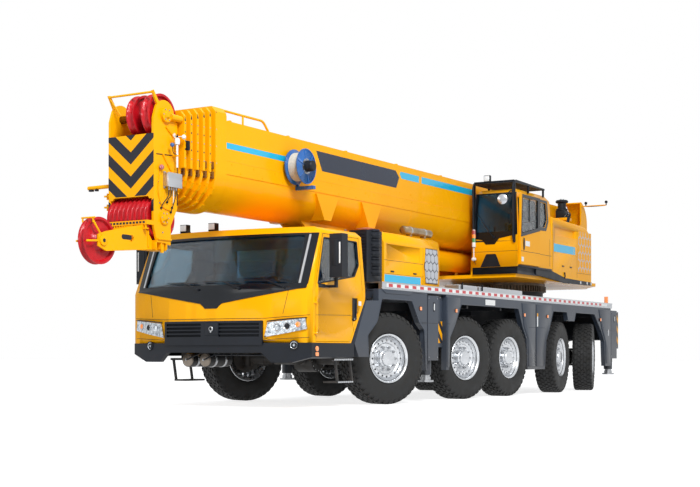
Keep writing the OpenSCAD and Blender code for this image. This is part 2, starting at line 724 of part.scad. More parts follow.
module outrigger_beam(k) {
    x = beam_x(k);
    d = beam_side(k);
    jack_y = half_w - jack_r - 40;
    wall = 18;
    low = rigger_z - beam_h / 2;
    high = rigger_z + beam_h / 2;
    face_t = 14;
    // Cover over both box ends: its plain face and its striped, set-back face, away from this beam
    module face(u, y, z) { block(d > 0 ? [x + u[0], x + u[1]] : [x - u[1], x - u[0]], y, z); }
    color(dark) scale_side(d) difference() {
        union() {
            block([x - beam_w / 2, x + beam_w / 2], [-box_end + 10, jack_y], [low, high]);
            bar_z(x, jack_y, [foot_z + 110, rigger_z + 400], jack_r);
            block([x - 105, x + 105], [jack_y - 60, half_w - face_t - 1], [low - 200, rigger_z + 260]);
            face([-180, 155], [half_w - face_t - 2, half_w - 2], [foot_z + 330, rigger_z + 420]);
            face([-186, -170], [half_w - 75, half_w - 2], [foot_z + 330, rigger_z + 420]);
            face([-440, -171], [half_w - 75, half_w - 61], [low - 200, rigger_z + 400]);
            block([x - beam_w / 2, x + beam_w / 2], [box_end + clear, jack_y], [low - 20, high + 20]);
        }
        bar_z(x, jack_y, [foot_z, rigger_z + 380], jack_rod_r + run);
        block([x - beam_w / 2 + wall, x + beam_w / 2 - wall], [-box_end, jack_y - 120], [low + wall, high - wall]);
    }
}
module jack_leg(k) {
    x = beam_x(k);
    jack_y = half_w - jack_r - 40;
    color(silver) scale_side(beam_side(k)) {
        bar_z(x, jack_y, [foot_z + 40, rigger_z + 370], jack_rod_r);
        bar_z(x, jack_y, [foot_z, foot_z + 30], foot_r);
        bar_z(x, jack_y, [foot_z + 29, foot_z + 80], jack_rod_r + 14);
    }
}

// Turntable

pivot_r = 200;
// Inner radius of the guard that the boom's rear end turns in
guard_r = 462;
guard_t = 24;
table_front = -op_front - 60;
module cheek_outline() {
    // Side plate from the ring to the boom foot pin
    polygon([[table_front, table_z + 60], [table_front, table_z + 330], [-5900, table_z + 480], [-7700, 3180],
             [-foot_pin_x + pivot_r * 0.5, foot_pin_z + pivot_r * 0.87], [-foot_pin_x - pivot_r * 0.5, foot_pin_z + pivot_r * 0.87],
             [-foot_pin_x - pivot_r, foot_pin_z], [-foot_pin_x - pivot_r - 60, 2600], [-foot_pin_x - pivot_r - 60, table_z + 60]]);
}
function reverse(a) = [for (k = [len(a) - 1 : -1 : 0]) a[k]];
// Arc about the boom foot pin, from an angle near the top to the rear
function guard_arc(r, from, steps = 8) = [for (k = [0 : steps]) let (a = from + (180 - from) / steps * k)
    [-foot_pin_x + r * cos(a), foot_pin_z + r * sin(a)]];
module guard_form(back, from) {
    polygon(concat(guard_arc(guard_r + guard_t, from), [[back, table_z + 61], [back + guard_t, table_z + 61]],
        reverse(guard_arc(guard_r, from))));
}
module turntable_frame() {
    back = -foot_pin_x - guard_r - guard_t;
    lug_y = barrel_r - 30 + clear;
    wing_y = 850;
    wing_t = 30;
    color(yellow) difference() {
        union() {
            plan_form([table_z, table_z + 62]) polygon([[table_front, -700], [table_front, half_w - 120],
                [op_back - 250, half_w - 100], [back + 900, half_w - 100],
                [back + 300, 1000], [back, wing_y + wing_t], [back, -wing_y - wing_t], [back + 300, -1000], [back + 900, -1400],
                [-5200, -1400]]);
            both() side_form([cheek_hw, cheek_hw + cheek_t]) cheek_outline();
            block([-7700, -7660], [-cheek_hw - 1, cheek_hw + 1], [table_z + 61, 2560]);
            // Lugs for the lift cylinder's lower pin
            both() side_form([lug_y, lug_y + 60]) polygon([
                [-lift_low_x - 260, table_z + 61], [-lift_low_x - 130, lift_low_z + 90], [-lift_low_x + 130, lift_low_z + 90],
                [-lift_low_x + 260, table_z + 61]]);
            both() bar_y(-foot_pin_x, [cheek_hw - 28, cheek_hw + cheek_t + 30], foot_pin_z, foot_pin_r + 60);
            // Round guard behind the boom foot, open in the middle for the raised boom, and the wings that hold it
            side_form([-wing_y - 1, wing_y + 1]) guard_form(back, 150);
            both() side_form([boom_hw + 60, wing_y + 1]) guard_form(back, 108);
            both() side_form([wing_y, wing_y + wing_t]) polygon(concat(guard_arc(guard_r + guard_t, 108),
                [[back, table_z + 61], [-8300, table_z + 61], [-8300, 3100], [-foot_pin_x - 150, foot_pin_z]]));
            for (x = [-8560, -9180]) both() block([x - 15, x + 15], [cheek_hw + cheek_t - 1, wing_y + 1], [table_z + 61, 2620]);
            // Camera arm on the left wing
            bar_y(back + 330, [wing_y + 10, half_w - 80], foot_pin_z + guard_r - 90, 12);
        }
        bar_y(-foot_pin_x, [-cheek_hw - 200, cheek_hw + 200], foot_pin_z, foot_pin_r + run);
        bar_y(-lift_low_x, [-cheek_hw, cheek_hw], lift_low_z, lift_pin_r + run);
    }
}

op_y = [cheek_hw + cheek_t + 10, half_w - 50];
op_back = -op_front - op_len;
op_floor = 2270;
op_roof = op_floor + op_height;
op_knee = op_roof - 800;
// Side view of the operator's cab, taken in by i
module op_side(i) {
    polygon([[-op_front + 20 - i, op_floor + i], [-op_front - i, op_knee], [-op_front - 60 - i, op_roof - 60 - i],
             [-op_front - 140, op_roof - i], [op_back + 120, op_roof - i], [op_back + i, op_roof - 110 - i],
             [op_back + i, op_floor + i]]);
}
module op_form(i) {
    intersection() {
        side_form([op_y[0] + i, op_y[1] - i]) op_side(i);
        front_form([op_back, -op_front + 100]) polygon([[op_y[0] + i, op_floor], [op_y[1] - i, op_floor], [op_y[1] - i, op_knee],
            [op_y[1] - 50 - i, op_roof - 90], [op_y[1] - 110 - i, op_roof], [op_y[0] + 110 + i, op_roof],
            [op_y[0] + 50 + i, op_roof - 90], [op_y[0] + i, op_knee]]);
    }
}
op_wall = 40;
module op_windscreen(g) {
    polygon([[op_y[0] + 75 - g, op_knee + 35 - g], [op_y[1] - 75 + g, op_knee + 35 - g], [op_y[1] - 100 + g, op_roof - 75 + g],
             [op_y[0] + 100 - g, op_roof - 75 + g]]);
}
module op_side_window(g) {
    polygon([[-op_front - 70 + g, op_knee - g], [-op_front - 120 + g, op_roof - 150 + g], [-op_front - 800 - g, op_roof - 150 + g],
             [-op_front - 800 - g, op_knee + 140 - g]]);
}
module op_quarter_window(g) {
    polygon([[-op_front - 1020 + g, op_knee + 180 - g], [-op_front - 1020 + g, op_roof - 150 + g],
             [-op_front - 1360 - g, op_roof - 150 + g], [-op_front - 1360 - g, op_knee + 350], [-op_front - 1250, op_knee + 210 - g]]);
}
op_door_x = [-op_front - 900, -op_front - 35];
op_door_z = [op_floor + 40, op_roof - 100];
module operator_cab() {
    pane_y = [op_y[0] - 1, op_y[0] + op_wall + 1];
    color(yellow) {
        difference() {
            op_form(0);
            op_form(op_wall);
            front_form([-op_front - 300, -op_front + 100]) op_windscreen(0);
            side_form([op_y[1] - op_wall - 60, op_y[1] + 1]) op_quarter_window(0);
            side_form(pane_y) op_quarter_window(0);
            side_form(pane_y) op_side_window(0);
            // Doorway behind the sliding door
            block([op_door_x[0] + 40, op_door_x[1] - 40], [op_y[1] - op_wall - 60, op_y[1] + 1],
                  [op_door_z[0] + 40, op_door_z[1] - 60]);
        }
    }
    color(black) {
        // Skirt, roof guard and seat
        block([op_back + 40, -op_front - 20], [op_y[0], op_y[1] - 20], [table_z + 62 + seat, op_floor]);
        seat_form(-op_front - 950, 985, op_knee - 150);
        block([-op_front - 1100, -op_front - 700], [860, 1110], [op_floor + op_wall - 1, op_knee - 400]);
        for (y = [op_y[0] + 60, op_y[1] - 60]) {
            block([-op_front - 1300, -op_front + 45], [y - 18, y + 18], [op_roof + 90, op_roof + 120]);
            block([-op_front + 10, -op_front + 45], [y - 18, y + 18], [op_knee - 150, op_roof + 119]);
            for (x = [-op_front - 1290, -op_front - 600]) block([x, x + 30], [y - 15, y + 15], [op_roof - 40, op_roof + 91]);
            block([-op_front - 25, -op_front + 11], [y - 15, y + 15], [op_knee - 130, op_knee - 100]);
        }
        for (k = [0 : 9]) let (x = -op_front - 1260 + k * 140)
            block([x, x + 60], [op_y[0] + 60, op_y[1] - 60], [op_roof + 96, op_roof + 110]);
    }
}
module operator_glass() {
    mid = op_wall / 2;
    color(glass) {
        intersection() {
            difference() { op_form(mid - pane_t / 2); op_form(mid + pane_t / 2); }
            union() {
                front_form([-op_front - 300, -op_front + 100]) op_windscreen(-seat);
                side_form([op_y[1] - op_wall - 60, op_y[1] + 1]) op_quarter_window(-seat);
                side_form([op_y[0] - 1, op_y[0] + op_wall + 1]) op_quarter_window(-seat);
                side_form([op_y[0] - 1, op_y[0] + op_wall + 1]) op_side_window(-seat);
            }
        }
    }
}
module operator_door() {
    out = [op_y[1] + clear, op_y[1] + clear + 34];
    color(yellow) difference() {
        union() {
            block([op_door_x[0], op_door_x[1]], out, op_door_z);
            block([op_door_x[0] + 120, op_door_x[0] + 200], [out[0] - clear + seat, out[0] + 1], [op_door_z[0] + 6, op_door_z[0] + 26]);
        }
        side_form([out[0] - 1, out[1] + 1]) op_side_window(0);
    }
    color(glass) side_form([out[0] + 12, out[0] + 12 + pane_t]) op_side_window(-seat);
}
// Side view of the machinery housing, with its rear corner rounded
module housing_side(front) {
    back = -8150;
    top = 3285;
    r = 420;
    steps = 6;
    polygon(concat([[front, table_z + 62 + seat], [front, top]],
        [for (k = [0 : steps]) [back + r - r * sin(90 * k / steps), top - 55 - r + r * cos(90 * k / steps)]],
        [[back, table_z + 62 + seat]]));
}
module machinery_housing() {
    color(yellow) {
        side_form([cheek_hw + cheek_t + clear, op_y[1]]) housing_side(op_back - clear);
        side_form([-op_y[1], -cheek_hw - cheek_t - clear]) housing_side(-op_front - 750);
    }
}
module hoist_winch() {
    x = -foot_pin_x + 150;
    z = table_z + 85 + winch_r;
    drum_hw = 330;
    foot = table_z + 62 + seat;
    color(red) {
        bar_y(x, [-drum_hw, drum_hw], z, winch_r - 60);
        both() bar_y(x, [drum_hw - 1, drum_hw + 24], z, winch_r);
    }
    color(dark) both() {
        bar_y(x, [drum_hw + 23, cheek_hw - seat], z, 120);
        block([x - 110, x + 110], [drum_hw + 60, drum_hw + 100], [foot, z]);
    }
}

// Lift cylinder, drawn along its own pins

lift_len = norm([lift_low_x - lift_up_x, lift_low_z - lift_up_z]);
lift_tilt = atan2(lift_low_z - lift_up_z, lift_low_x - lift_up_x);
lift_pin_r = 60;
lift_eye_hw = 142;
barrel_len = lift_len - 480;
module lift_axis() { translate([-lift_low_x, 0, lift_low_z]) rotate([0, lift_tilt, 0]) children(); }
module lift_barrel() {
    eye_r = barrel_r - 30;
    eye_hw = barrel_r - 30;
    color(yellow) lift_axis() difference() {
        union() {
            bar_x([eye_r - 30, 301], 0, 0, eye_r - 5);
            bar_x([300, barrel_len], 0, 0, barrel_r);
            bar_y(0, [-eye_hw, eye_hw], 0, eye_r);
            bar_x([barrel_len - 120, barrel_len + 40], 0, 0, barrel_r + 18);
            bar_y(0, [-eye_hw - 62, eye_hw + 62], 0, lift_pin_r);
        }
        bar_x([eye_r + 60, barrel_len + 41], 0, 0, rod_r + run);
    }
}
module lift_rod() {
    eye_r = 150;
    eye_hw = lift_eye_hw;
    color(silver) lift_axis() difference() {
        union() {
            bar_x([eye_r + 100, lift_len - eye_r + 30], 0, 0, rod_r);
            bar_y(lift_len, [-eye_hw, eye_hw], 0, eye_r);
        }
        bar_y(lift_len, [-eye_hw - 1, eye_hw + 1], 0, lift_pin_r);
    }
}

// Boom

// Section k's outline as (y, z): flat top, straight sides and a round belly, grown by g
module boom_outline(k, g) {
    hw = boom_hw - boom_step * k + g;
    top = boom_top - boom_step * k + g;
    union() {
        translate([-hw, boom_axis_z]) square([2 * hw, top - boom_axis_z]);
        translate([0, boom_axis_z]) circle(r = hw);
    }
}
function nose_at(k) = boom_nose + collar_pitch * k;
// Collar of section k as (y, z): its band round the belly and its side plates, which stand over the top
module collar_outline(k) {
    hw = boom_hw + collar_h - 5 - plate_step * k;
    top = boom_top - boom_step * k + collar_top;
    boom_outline(k, collar_h);
    polygon([[-hw, boom_axis_z - 20], [hw, boom_axis_z - 20], [hw, top - 70], [hw - 60, top], [60 - hw, top], [-hw, top - 70]]);
}
// A tube with its front collar, whose bore carries the next section
module boom_tube(k, back) {
    tab = 90;
    len = k == 0 ? base_collar : collar_t;
    difference() {
        union() {
            front_form([back, nose_at(k)]) boom_outline(k, 0);
            front_form([nose_at(k) - len, nose_at(k)]) collar_outline(k);
            front_form([nose_at(k) - collar_t, nose_at(k)]) for (a = [-60, -30, 30, 60])
                translate([0, boom_axis_z]) rotate(a) translate([-tab / 2, -(boom_hw - boom_step * k) - collar_h - 14])
                    square([tab, 60]);
        }
        front_form([back - 1, nose_at(k) - collar_t]) boom_outline(k, -boom_t);
        front_form([nose_at(k) - collar_t - 1, nose_at(k) + 1]) boom_outline(k + 1, slide_gap);
    }
}
rear_pitch = 130;
plate_step = 13;
base_collar = 240;
boom_back = -foot_pin_x - 220;
function back_at(k) = -foot_pin_x + 420 + rear_pitch * k;
module boom_base() {
    gussets = [[-60, 560], [-1350, -740]];
    lug_y = [lift_eye_hw + 12, lift_eye_hw + 12 + 45];
    web_z = boom_axis_z - 400;
    lug_back = -lift_low_x + barrel_len + 120;
    color(yellow) {
        difference() {
            union() {
                boom_tube(0, boom_back);
                // Thicker side plates above the belly
                both() block([boom_back, nose_at(0) - base_collar], [boom_hw - 1, boom_hw + 8], [boom_axis_z, boom_axis_z + 170]);
                // Lugs for the lift cylinder's rod eye
                both() side_form(lug_y) polygon([
                    [-1350, web_z + 150], [-1350, web_z], [lug_back, web_z], [-lift_up_x - 210, lift_up_z - 120],
                    [-lift_up_x + 210, lift_up_z - 120],
                    [560, web_z], [560, web_z + 150]]);
                for (g = gussets) both() side_form([lug_y[1] - 1, boom_hw + 30])
                    polygon([[g[0], boom_axis_z - 30], [g[1], boom_axis_z - 30], [(g[0] + g[1]) / 2 + 90, web_z],
                             [(g[0] + g[1]) / 2 - 90, web_z]]);
                both() bar_y(-lift_up_x, [lug_y[0], lug_y[1] + 40], lift_up_z, 110);
            }
            front_form([boom_back - 1, nose_at(0) - collar_t]) boom_outline(0, -boom_t);
            // Rear corner under the foot pin, cut away
            side_form([-boom_hw - 50, boom_hw + 50]) polygon([[boom_back - 1, foot_pin_z - 230], [boom_back + 260, boom_axis_z - 600],
                [boom_back - 1, boom_axis_z - 600]]);
            bar_y(-lift_up_x, [-lug_y[1] - 41, lug_y[1] + 41], lift_up_z, lift_pin_r);
        }
        both() bar_y(-foot_pin_x, [boom_hw - boom_t - 60, cheek_hw - 28 - clear], foot_pin_z, foot_pin_r + 60);
        bar_y(-foot_pin_x, [-cheek_hw - cheek_t - 24, cheek_hw + cheek_t + 24], foot_pin_z, foot_pin_r);
    }
}
module boom_section(k) { color(yellow) boom_tube(k, back_at(k)); }

upper_pin = [head_front - 215, 3700];
lower_pin = [head_front - 190, 2420];
nose_pin_z = 2070;
nose_y = 200;
jib_hole = 510;
jib_r = 40;
plate_t = 32;
module head_plate() {
    round_r = 185;
    polygon(concat([[head_back, 2560], [head_back, upper_pin[1] - 130]],
        [for (a = [150 : -15 : 15]) upper_pin + round_r * [cos(a), sin(a)]],
        [[head_front, upper_pin[1] - 60], [head_front, 2320], [head_front - 60, 2140], [head_front - 330, 2090],
         [head_front - 330, 2330]]));
}
module last_section() {
    k = boom_sections;
    arm_y = [nose_y - 92, nose_y + 92 - 22];
    guard_out = 87;
    color(yellow) {
        difference() {
            front_form([back_at(k), head_back - seat]) boom_outline(k, 0);
            front_form([back_at(k) - 1, head_back]) boom_outline(k, -boom_t);
            bar_y(upper_pin[0], [-head_hw, head_hw], upper_pin[1], sheave_r + 12);
        }
        difference() {
            union() {
                both() side_form([head_hw - plate_t, head_hw]) head_plate();
                front_form([head_back, head_back + 36]) polygon([[-head_hw, 2700], [head_hw, 2700], [head_hw, 3640], [-head_hw, 3640]]);
                block([head_front - 26, head_front], [-head_hw, head_hw], [2650, 3450]);
                block([head_front - 330, head_front - 60], [-head_hw, head_hw], [2112, 2136]);
                both() bar_y(upper_pin[0], [head_hw - 1, head_hw + 40], upper_pin[1], 90);
                both() bar_y(lower_pin[0], [head_hw - 1, head_hw + 26], lower_pin[1], 80);
                // Bar between the upper pin and the last collar
                bar_x([head_back - 25, upper_pin[0] - 70], head_hw + 30, upper_pin[1] - 15, 42);
                // Guard in front of the lower sheaves
                block([head_front + guard_out, head_front + guard_out + 38], [-head_hw, head_hw], [2318, 2372]);
                both() block([head_front - 26, head_front + guard_out + 1], [head_hw - 22, head_hw], [2318, 2372]);
                // Guard bar over the upper sheaves
                both() side_form([head_hw - 26, head_hw]) polygon([[head_front - 160, 3780], [head_front - 90, 3780],
                    [head_front + 22, 3968], [head_front - 8, 3975]]);
                bar_y(head_front, [-head_hw, head_hw], 3955, 14);
                // Swing-away nose: two arms from the foot of the head
                for (y = arm_y) side_form([y, y + 22]) polygon([[head_front - 330, 2104], [head_front - 60, 2136], [head_front, 2205],
                    [head_front + 95, 2320], [nose_x - 60, nose_pin_z + 115], [nose_x + 80, nose_pin_z + 70], [nose_x + 80, nose_pin_z - 70],
                    [nose_x - 60, nose_pin_z - 120], [head_front, 2020], [head_front - 330, 2020]]);
                block([head_front - 330, head_front - 60], [arm_y[0], arm_y[1] + 22], [2020, 2113]);
            }
            front_form([head_front - 27, head_front + 1]) polygon([[-head_hw + 60, 2640], [head_hw - 60, 2640], [head_hw - 90, 2680], [-head_hw + 90, 2680]]);
            bar_y(upper_pin[0], [-head_hw + plate_t + 1, head_hw - plate_t - 1], upper_pin[1], sheave_r + 12);
            bar_y(upper_pin[0], [-head_hw - 50, head_hw + 50], upper_pin[1], 50 + run);
            bar_y(lower_pin[0], [-head_hw - 50, head_hw + 50], lower_pin[1], 45 + run);
            bar_y(nose_x, [arm_y[0] - 1, arm_y[1] + 23], nose_pin_z, 35 + run);
            bar_y(nose_x - jib_hole, [arm_y[0] - 1, arm_y[1] + 23], nose_pin_z + 60, jib_r);
        }
    }
}
// One grooved sheave about the Y axis, centred on y
module sheave(pin, y, r, w, bore) {
    rim_h = 30;
    translate([pin[0], y, pin[1]]) rotate([-90, 0, 0]) rotate_extrude() polygon([
        [bore, -w / 2], [r * 0.35, -w / 2], [r * 0.35, -w * 0.2], [r - rim_h - 20, -w * 0.2], [r - rim_h, -w / 2], [r, -w / 2],
        [r, -w * 0.4], [r - rim_h, -w * 0.12], [r - rim_h, w * 0.12], [r, w * 0.4], [r, w / 2], [r - rim_h, w / 2],
        [r - rim_h - 20, w * 0.2], [r * 0.35, w * 0.2], [r * 0.35, w / 2], [bore, w / 2]]);
}
module head_sheaves() {
    upper_w = 116;
    lower_pitch = (2 * (head_hw - plate_t) - 20) / lower_sheaves;
    color(red) {
        for (y = [26, 262]) sheave(upper_pin, y, sheave_r, upper_w, 49.5);
        bar_y(upper_pin[0], [-head_hw - 46, head_hw + 46], upper_pin[1], 50);
        for (k = [0 : lower_sheaves - 1])
            sheave(lower_pin, (k - (lower_sheaves - 1) / 2) * lower_pitch, sheave_r, lower_pitch - 4, 44.5);
        bar_y(lower_pin[0], [-head_hw - 32, head_hw + 32], lower_pin[1], 45);
        sheave([nose_x, nose_pin_z], nose_y, nose_r, 90, 34.5);
        bar_y(nose_x, [nose_y - 110, nose_y + 110], nose_pin_z, 35);
    }
}
module hose_reel() {
    x = 1180;
    z = 3370;
    flange_t = 12;
    y = boom_hw + 60;
    width = 190;
    color("#1c4f9c") {
        for (k = [0, 1]) bar_y(x, [y + k * width, y + k * width + flange_t], z, reel_r);
        bar_y(x, [y + 1, y + width + 1], z, reel_r - 110);
        bar_y(x, [y + width + flange_t - 1, y + width + 130], z, 70);
        bar_y(x, [boom_hw + 0.5, y + 1], z, 60);
        block([x - 160, x - 100], [boom_hw + 8.5, y + width + 60], [z - reel_r - 60, z - reel_r - 10]);
        block([x - 160, x - 130], [boom_hw + 8.5, boom_hw + 40], [z - reel_r - 60, z]);
        block([x - 160, x + 1], [boom_hw + 20, boom_hw + 40], [z - 50, z]);
    }
}

place() chassis_frame();
place() axle_beams();
place() deck();
place() fenders();
place() cab_shell();
place() cab_glass();
place() cab_interior();
place() front_bumper();
place() lamps();
place() cab_steps();
place() engine_hood();
place() engine();
place() slew_ring();
place() cab_door(1);  // cab_door_left
place() cab_door(-1);  // cab_door_right
for (i = [0 : axle_count - 1]) for (s = [0, 1]) {
    place() knuckle(i, s == 0 ? 1 : -1);
    place() wheel(i, s == 0 ? 1 : -1);
}
for (k = [0 : 3]) {
    place() outrigger_beam(k);
    place() jack_leg(k);
}
place() turntable_frame();
place() operator_cab();
place() operator_glass();
place() operator_door();
place() machinery_housing();
place() hoist_winch();
place() lift_barrel();
place() lift_rod();
place() boom_base();
for (k = [1 : boom_sections - 1])
    place() boom_section(k);
place() last_section();
place() head_sheaves();
place() hose_reel();
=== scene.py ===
"""Looks of an all-terrain crane in road trim, with its boom stowed over the driver's cab.

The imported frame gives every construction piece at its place. This script dresses those pieces and
models what the paint shop and the fitter add: tyres with their tread, lamps, glazing rubbers,
rails, films and hoses. Lengths are in metres. X points forward along the boom, Y to the vehicle's
left and Z up. Sizes in the classes measure X from the front axle, and Shop moves them to the
frame's origin.
"""

from __future__ import annotations

import json
import logging
import math
from collections.abc import Callable, Sequence
from dataclasses import dataclass
from enum import Enum

import bmesh
import bpy
from mathutils import Matrix, Vector

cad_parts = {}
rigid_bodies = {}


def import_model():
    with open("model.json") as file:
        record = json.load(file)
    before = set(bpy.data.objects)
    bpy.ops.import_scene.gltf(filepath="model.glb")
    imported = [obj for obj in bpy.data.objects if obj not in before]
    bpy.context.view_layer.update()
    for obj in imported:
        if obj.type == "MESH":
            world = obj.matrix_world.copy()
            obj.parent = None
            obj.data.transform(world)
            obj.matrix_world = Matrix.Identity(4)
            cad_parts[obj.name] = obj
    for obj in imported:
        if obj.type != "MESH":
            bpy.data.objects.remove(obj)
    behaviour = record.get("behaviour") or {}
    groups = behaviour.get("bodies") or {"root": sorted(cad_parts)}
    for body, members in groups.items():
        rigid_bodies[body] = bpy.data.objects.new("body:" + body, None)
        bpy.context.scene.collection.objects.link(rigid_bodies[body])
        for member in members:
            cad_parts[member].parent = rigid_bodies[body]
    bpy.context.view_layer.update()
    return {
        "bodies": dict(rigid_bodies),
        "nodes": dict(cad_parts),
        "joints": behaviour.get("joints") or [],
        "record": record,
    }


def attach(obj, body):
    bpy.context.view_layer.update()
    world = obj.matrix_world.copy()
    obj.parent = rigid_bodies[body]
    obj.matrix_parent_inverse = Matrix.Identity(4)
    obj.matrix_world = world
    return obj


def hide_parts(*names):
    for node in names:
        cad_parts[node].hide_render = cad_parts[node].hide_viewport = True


LOG = logging.getLogger("crane")
Pair = tuple[float, float]
Triple = tuple[float, float, float]
FULL_TURN = 2 * math.pi


class Side(Enum):
    """The two sides of the machine, as the sign of Y."""

    LEFT = 1
    RIGHT = -1

    @property
    def word(self) -> str:
        """The side's name as the frame writes it."""
        return self.name.lower()


class Normal(Enum):
    """The axis that a flat outline looks along."""

    X = 0
    Y = 1
    Z = 2


def linear(code: str) -> tuple[float, float, float, float]:
    """Turns an sRGB hex colour to linear light.

    Args:
        code: six hex digits after a hash sign.

    Returns:
        Red, green, blue and an alpha of one.
    """
    parts = [int(code[k : k + 2], 16) / 255 for k in (1, 3, 5)]
    bright = [c / 12.92 if c <= 0.04045 else ((c + 0.055) / 1.055) ** 2.4 for c in parts]
    return (bright[0], bright[1], bright[2], 1.0)


def add_node(
    tree: bpy.types.NodeTree, kind: str, inputs: dict | None = None, **settings: object
) -> bpy.types.Node:
    """Adds one shader node with its settings, values and links.

    Args:
        tree: the node tree it goes into.
        kind: the node's type name.
        inputs: input name or index, to a value or to the output socket that feeds it.
        settings: properties set on the node itself.

    Returns:
        The new node.
    """
    made = tree.nodes.new(kind)
    for name, value in settings.items():
        setattr(made, name, value)
    for key, value in (inputs or {}).items():
        if isinstance(value, bpy.types.NodeSocket):
            tree.links.new(value, made.inputs[key])
        else:
            made.inputs[key].default_value = value
    return made


def per_metre(millimetres: float) -> float:
    """Scale of a pattern on Object coordinates whose cells are this many millimetres wide."""
    return 1000.0 / millimetres


def sorted_pair(a: float, b: float) -> Pair:
    """Two numbers, the lower one first."""
    return (a, b) if a < b else (b, a)


def clipped(outline: Sequence[Pair], window: Sequence[Pair]) -> list[Pair]:
    """Cuts an outline down to what lies inside a convex window.

    Args:
        outline: corners of the outline.
        window: corners of the window, anticlockwise.

    Returns:
        Corners of what is left, which may be none.
    """
    kept = list(outline)
    for start, end in zip(window, [*window[1:], window[0]]):
        edge = (end[0] - start[0], end[1] - start[1])
        sides = [edge[0] * (p[1] - start[1]) - edge[1] * (p[0] - start[0]) for p in kept]
        left = []
        for k, point in enumerate(kept):
            before, past = kept[k - 1], sides[k - 1]
            if (past >= 0) != (sides[k] >= 0):
                t = past / (past - sides[k])
                left.append(
                    (before[0] + (point[0] - before[0]) * t, before[1] + (point[1] - before[1]) * t)
                )
            if sides[k] >= 0:
                left.append(point)
        kept = left
    return [point for k, point in enumerate(kept) if math.dist(point, kept[k - 1]) > 0.0015]


def hexagons(window: Sequence[Pair], cell: Pair, gap: float) -> list[list[Pair]]:
    """Fills a convex window with upright hexagons in staggered rows.

    Args:
        window: corners of the window, anticlockwise.
        cell: width and height of a hexagon.
        gap: how much each is taken in all round.

    Returns:
        Outlines of the hexagons, cut off at the window.
    """
    wide, tall = cell
    left, right = min(x for x, _z in window), max(x for x, _z in window)
    foot, top = min(z for _x, z in window), max(z for _x, z in window)
    found = []
    for row in range(round((top - foot) / (0.75 * tall)) + 2):
        for column in range(round((right - left) / wide) + 2):
            x = left + wide * (column + 0.5 * (row % 2))
            z = foot + 0.75 * tall * row
            half, rise = wide / 2 - gap, tall / 2 - gap * 1.15
            corners = [
                (x, z - rise), (x + half, z - rise / 2), (x + half, z + rise / 2), (x, z + rise),
                (x - half, z + rise / 2), (x - half, z - rise / 2)
            ]
            outline = clipped(corners, window)
            if len(outline) > 2:
                found.append(outline)
    return found


@dataclass(frozen=True)
class Finish:
    """A surface as it left the shop: what it is made of and how it was worked.

    Patches of the second colour stand for dust and handling, on the lamp reflector for painted
    reflection and on the wire rope for painted shade; grain stands for the texture of the paint or
    casting, and the dust line for what the road throws up.
    """

    name: str
    colour: str
    second: str
    share: float = 0.25
    patch_mm: float = 420.0
    roughness: float = 0.4
    swing: float = 0.08
    metallic: float = 0.0
    coat: float = 0.0
    shine: float = 0.5
    grain_mm: float = 3.0
    grain: float = 0.05
    dust_top: float = 0.0
    dust: str = "#6e665c"
    stretch: Triple = (1.0, 1.0, 1.0)

    def build(self) -> bpy.types.Material:
        """Makes the procedural material.

        Returns:
            The material.
        """
        made = bpy.data.materials.new(self.name)
        made.use_nodes = True
        tree = made.node_tree
        shader = tree.nodes["Principled BSDF"]
        place = add_node(tree, "ShaderNodeTexCoord").outputs["Object"]
        drawn = add_node(
            tree, "ShaderNodeMapping", {"Vector": place, "Scale": self.stretch}
        ).outputs[0]
        patch = add_node(
            tree, "ShaderNodeTexNoise",
            {"Vector": drawn, "Scale": per_metre(self.patch_mm), "Detail": 5.0}
        )
        level = add_node(
            tree, "ShaderNodeMapRange",
            {0: patch.outputs[0], 1: 0.42, 2: 0.72, 3: 0.0, 4: self.share}
        )
        tone = add_node(
            tree, "ShaderNodeMix",
            {0: level.outputs[0], 6: linear(self.colour), 7: linear(self.second)},
            data_type="RGBA"
        )
        colour = tone.outputs[2]
        if self.dust_top > 0:
            height = add_node(tree, "ShaderNodeSeparateXYZ", {0: place}).outputs[2]
            low = add_node(
                tree, "ShaderNodeMapRange", {0: height, 1: 0.0, 2: self.dust_top, 3: 0.75, 4: 0.0}
            )
            fine = add_node(
                tree, "ShaderNodeTexNoise", {"Vector": place, "Scale": per_metre(90), "Detail": 6.0}
            )
            dusty = add_node(
                tree, "ShaderNodeMath", {0: low.outputs[0], 1: fine.outputs[0]},
                operation="MULTIPLY"
            )
            colour = add_node(
                tree, "ShaderNodeMix",
                {0: dusty.outputs[0], 6: colour, 7: linear(self.dust)},
                data_type="RGBA"
            ).outputs[2]
        tree.links.new(colour, shader.inputs["Base Color"])
        rough = add_node(tree, "ShaderNodeMapRange", {0: patch.outputs[0], 1: 0.3, 2: 0.7,
                         3: max(0.02, self.roughness - self.swing), 4: self.roughness + self.swing})
        tree.links.new(rough.outputs[0], shader.inputs["Roughness"])
        if self.grain > 0:
            grit = add_node(
                tree, "ShaderNodeTexNoise",
                {"Vector": drawn, "Scale": per_metre(self.grain_mm), "Detail": 3.0}
            )
            bump = add_node(
                tree, "ShaderNodeBump",
                {
                    "Strength": self.grain, "Distance": self.grain_mm / 3000,
                    "Height": grit.outputs[0]
                }
            )
            tree.links.new(bump.outputs[0], shader.inputs["Normal"])
        shader.inputs["Metallic"].default_value = self.metallic
        shader.inputs["Specular IOR Level"].default_value = self.shine
        shader.inputs["Coat Weight"].default_value = self.coat
        shader.inputs["Coat Roughness"].default_value = 0.06
        return made


# Two-pack polyurethane enamel on steel plate, sprayed: a glossy film with faint orange peel
CRANE_ENAMEL = Finish(
    "crane_enamel", "#fcb106", "#f3a200", 0.45, 900, 0.3, 0.06, coat=0.12, shine=0.06, grain_mm=14,
    grain=0.035
)
# The same enamel on chassis and fenders, blue-grey and dusted by the road
CHASSIS_ENAMEL = Finish(
    "chassis_enamel", "#373f4b", "#454d59", 0.5, 600, 0.36, 0.1, coat=0.08, shine=0.25, grain_mm=12,
    grain=0.04, dust_top=1.1
)
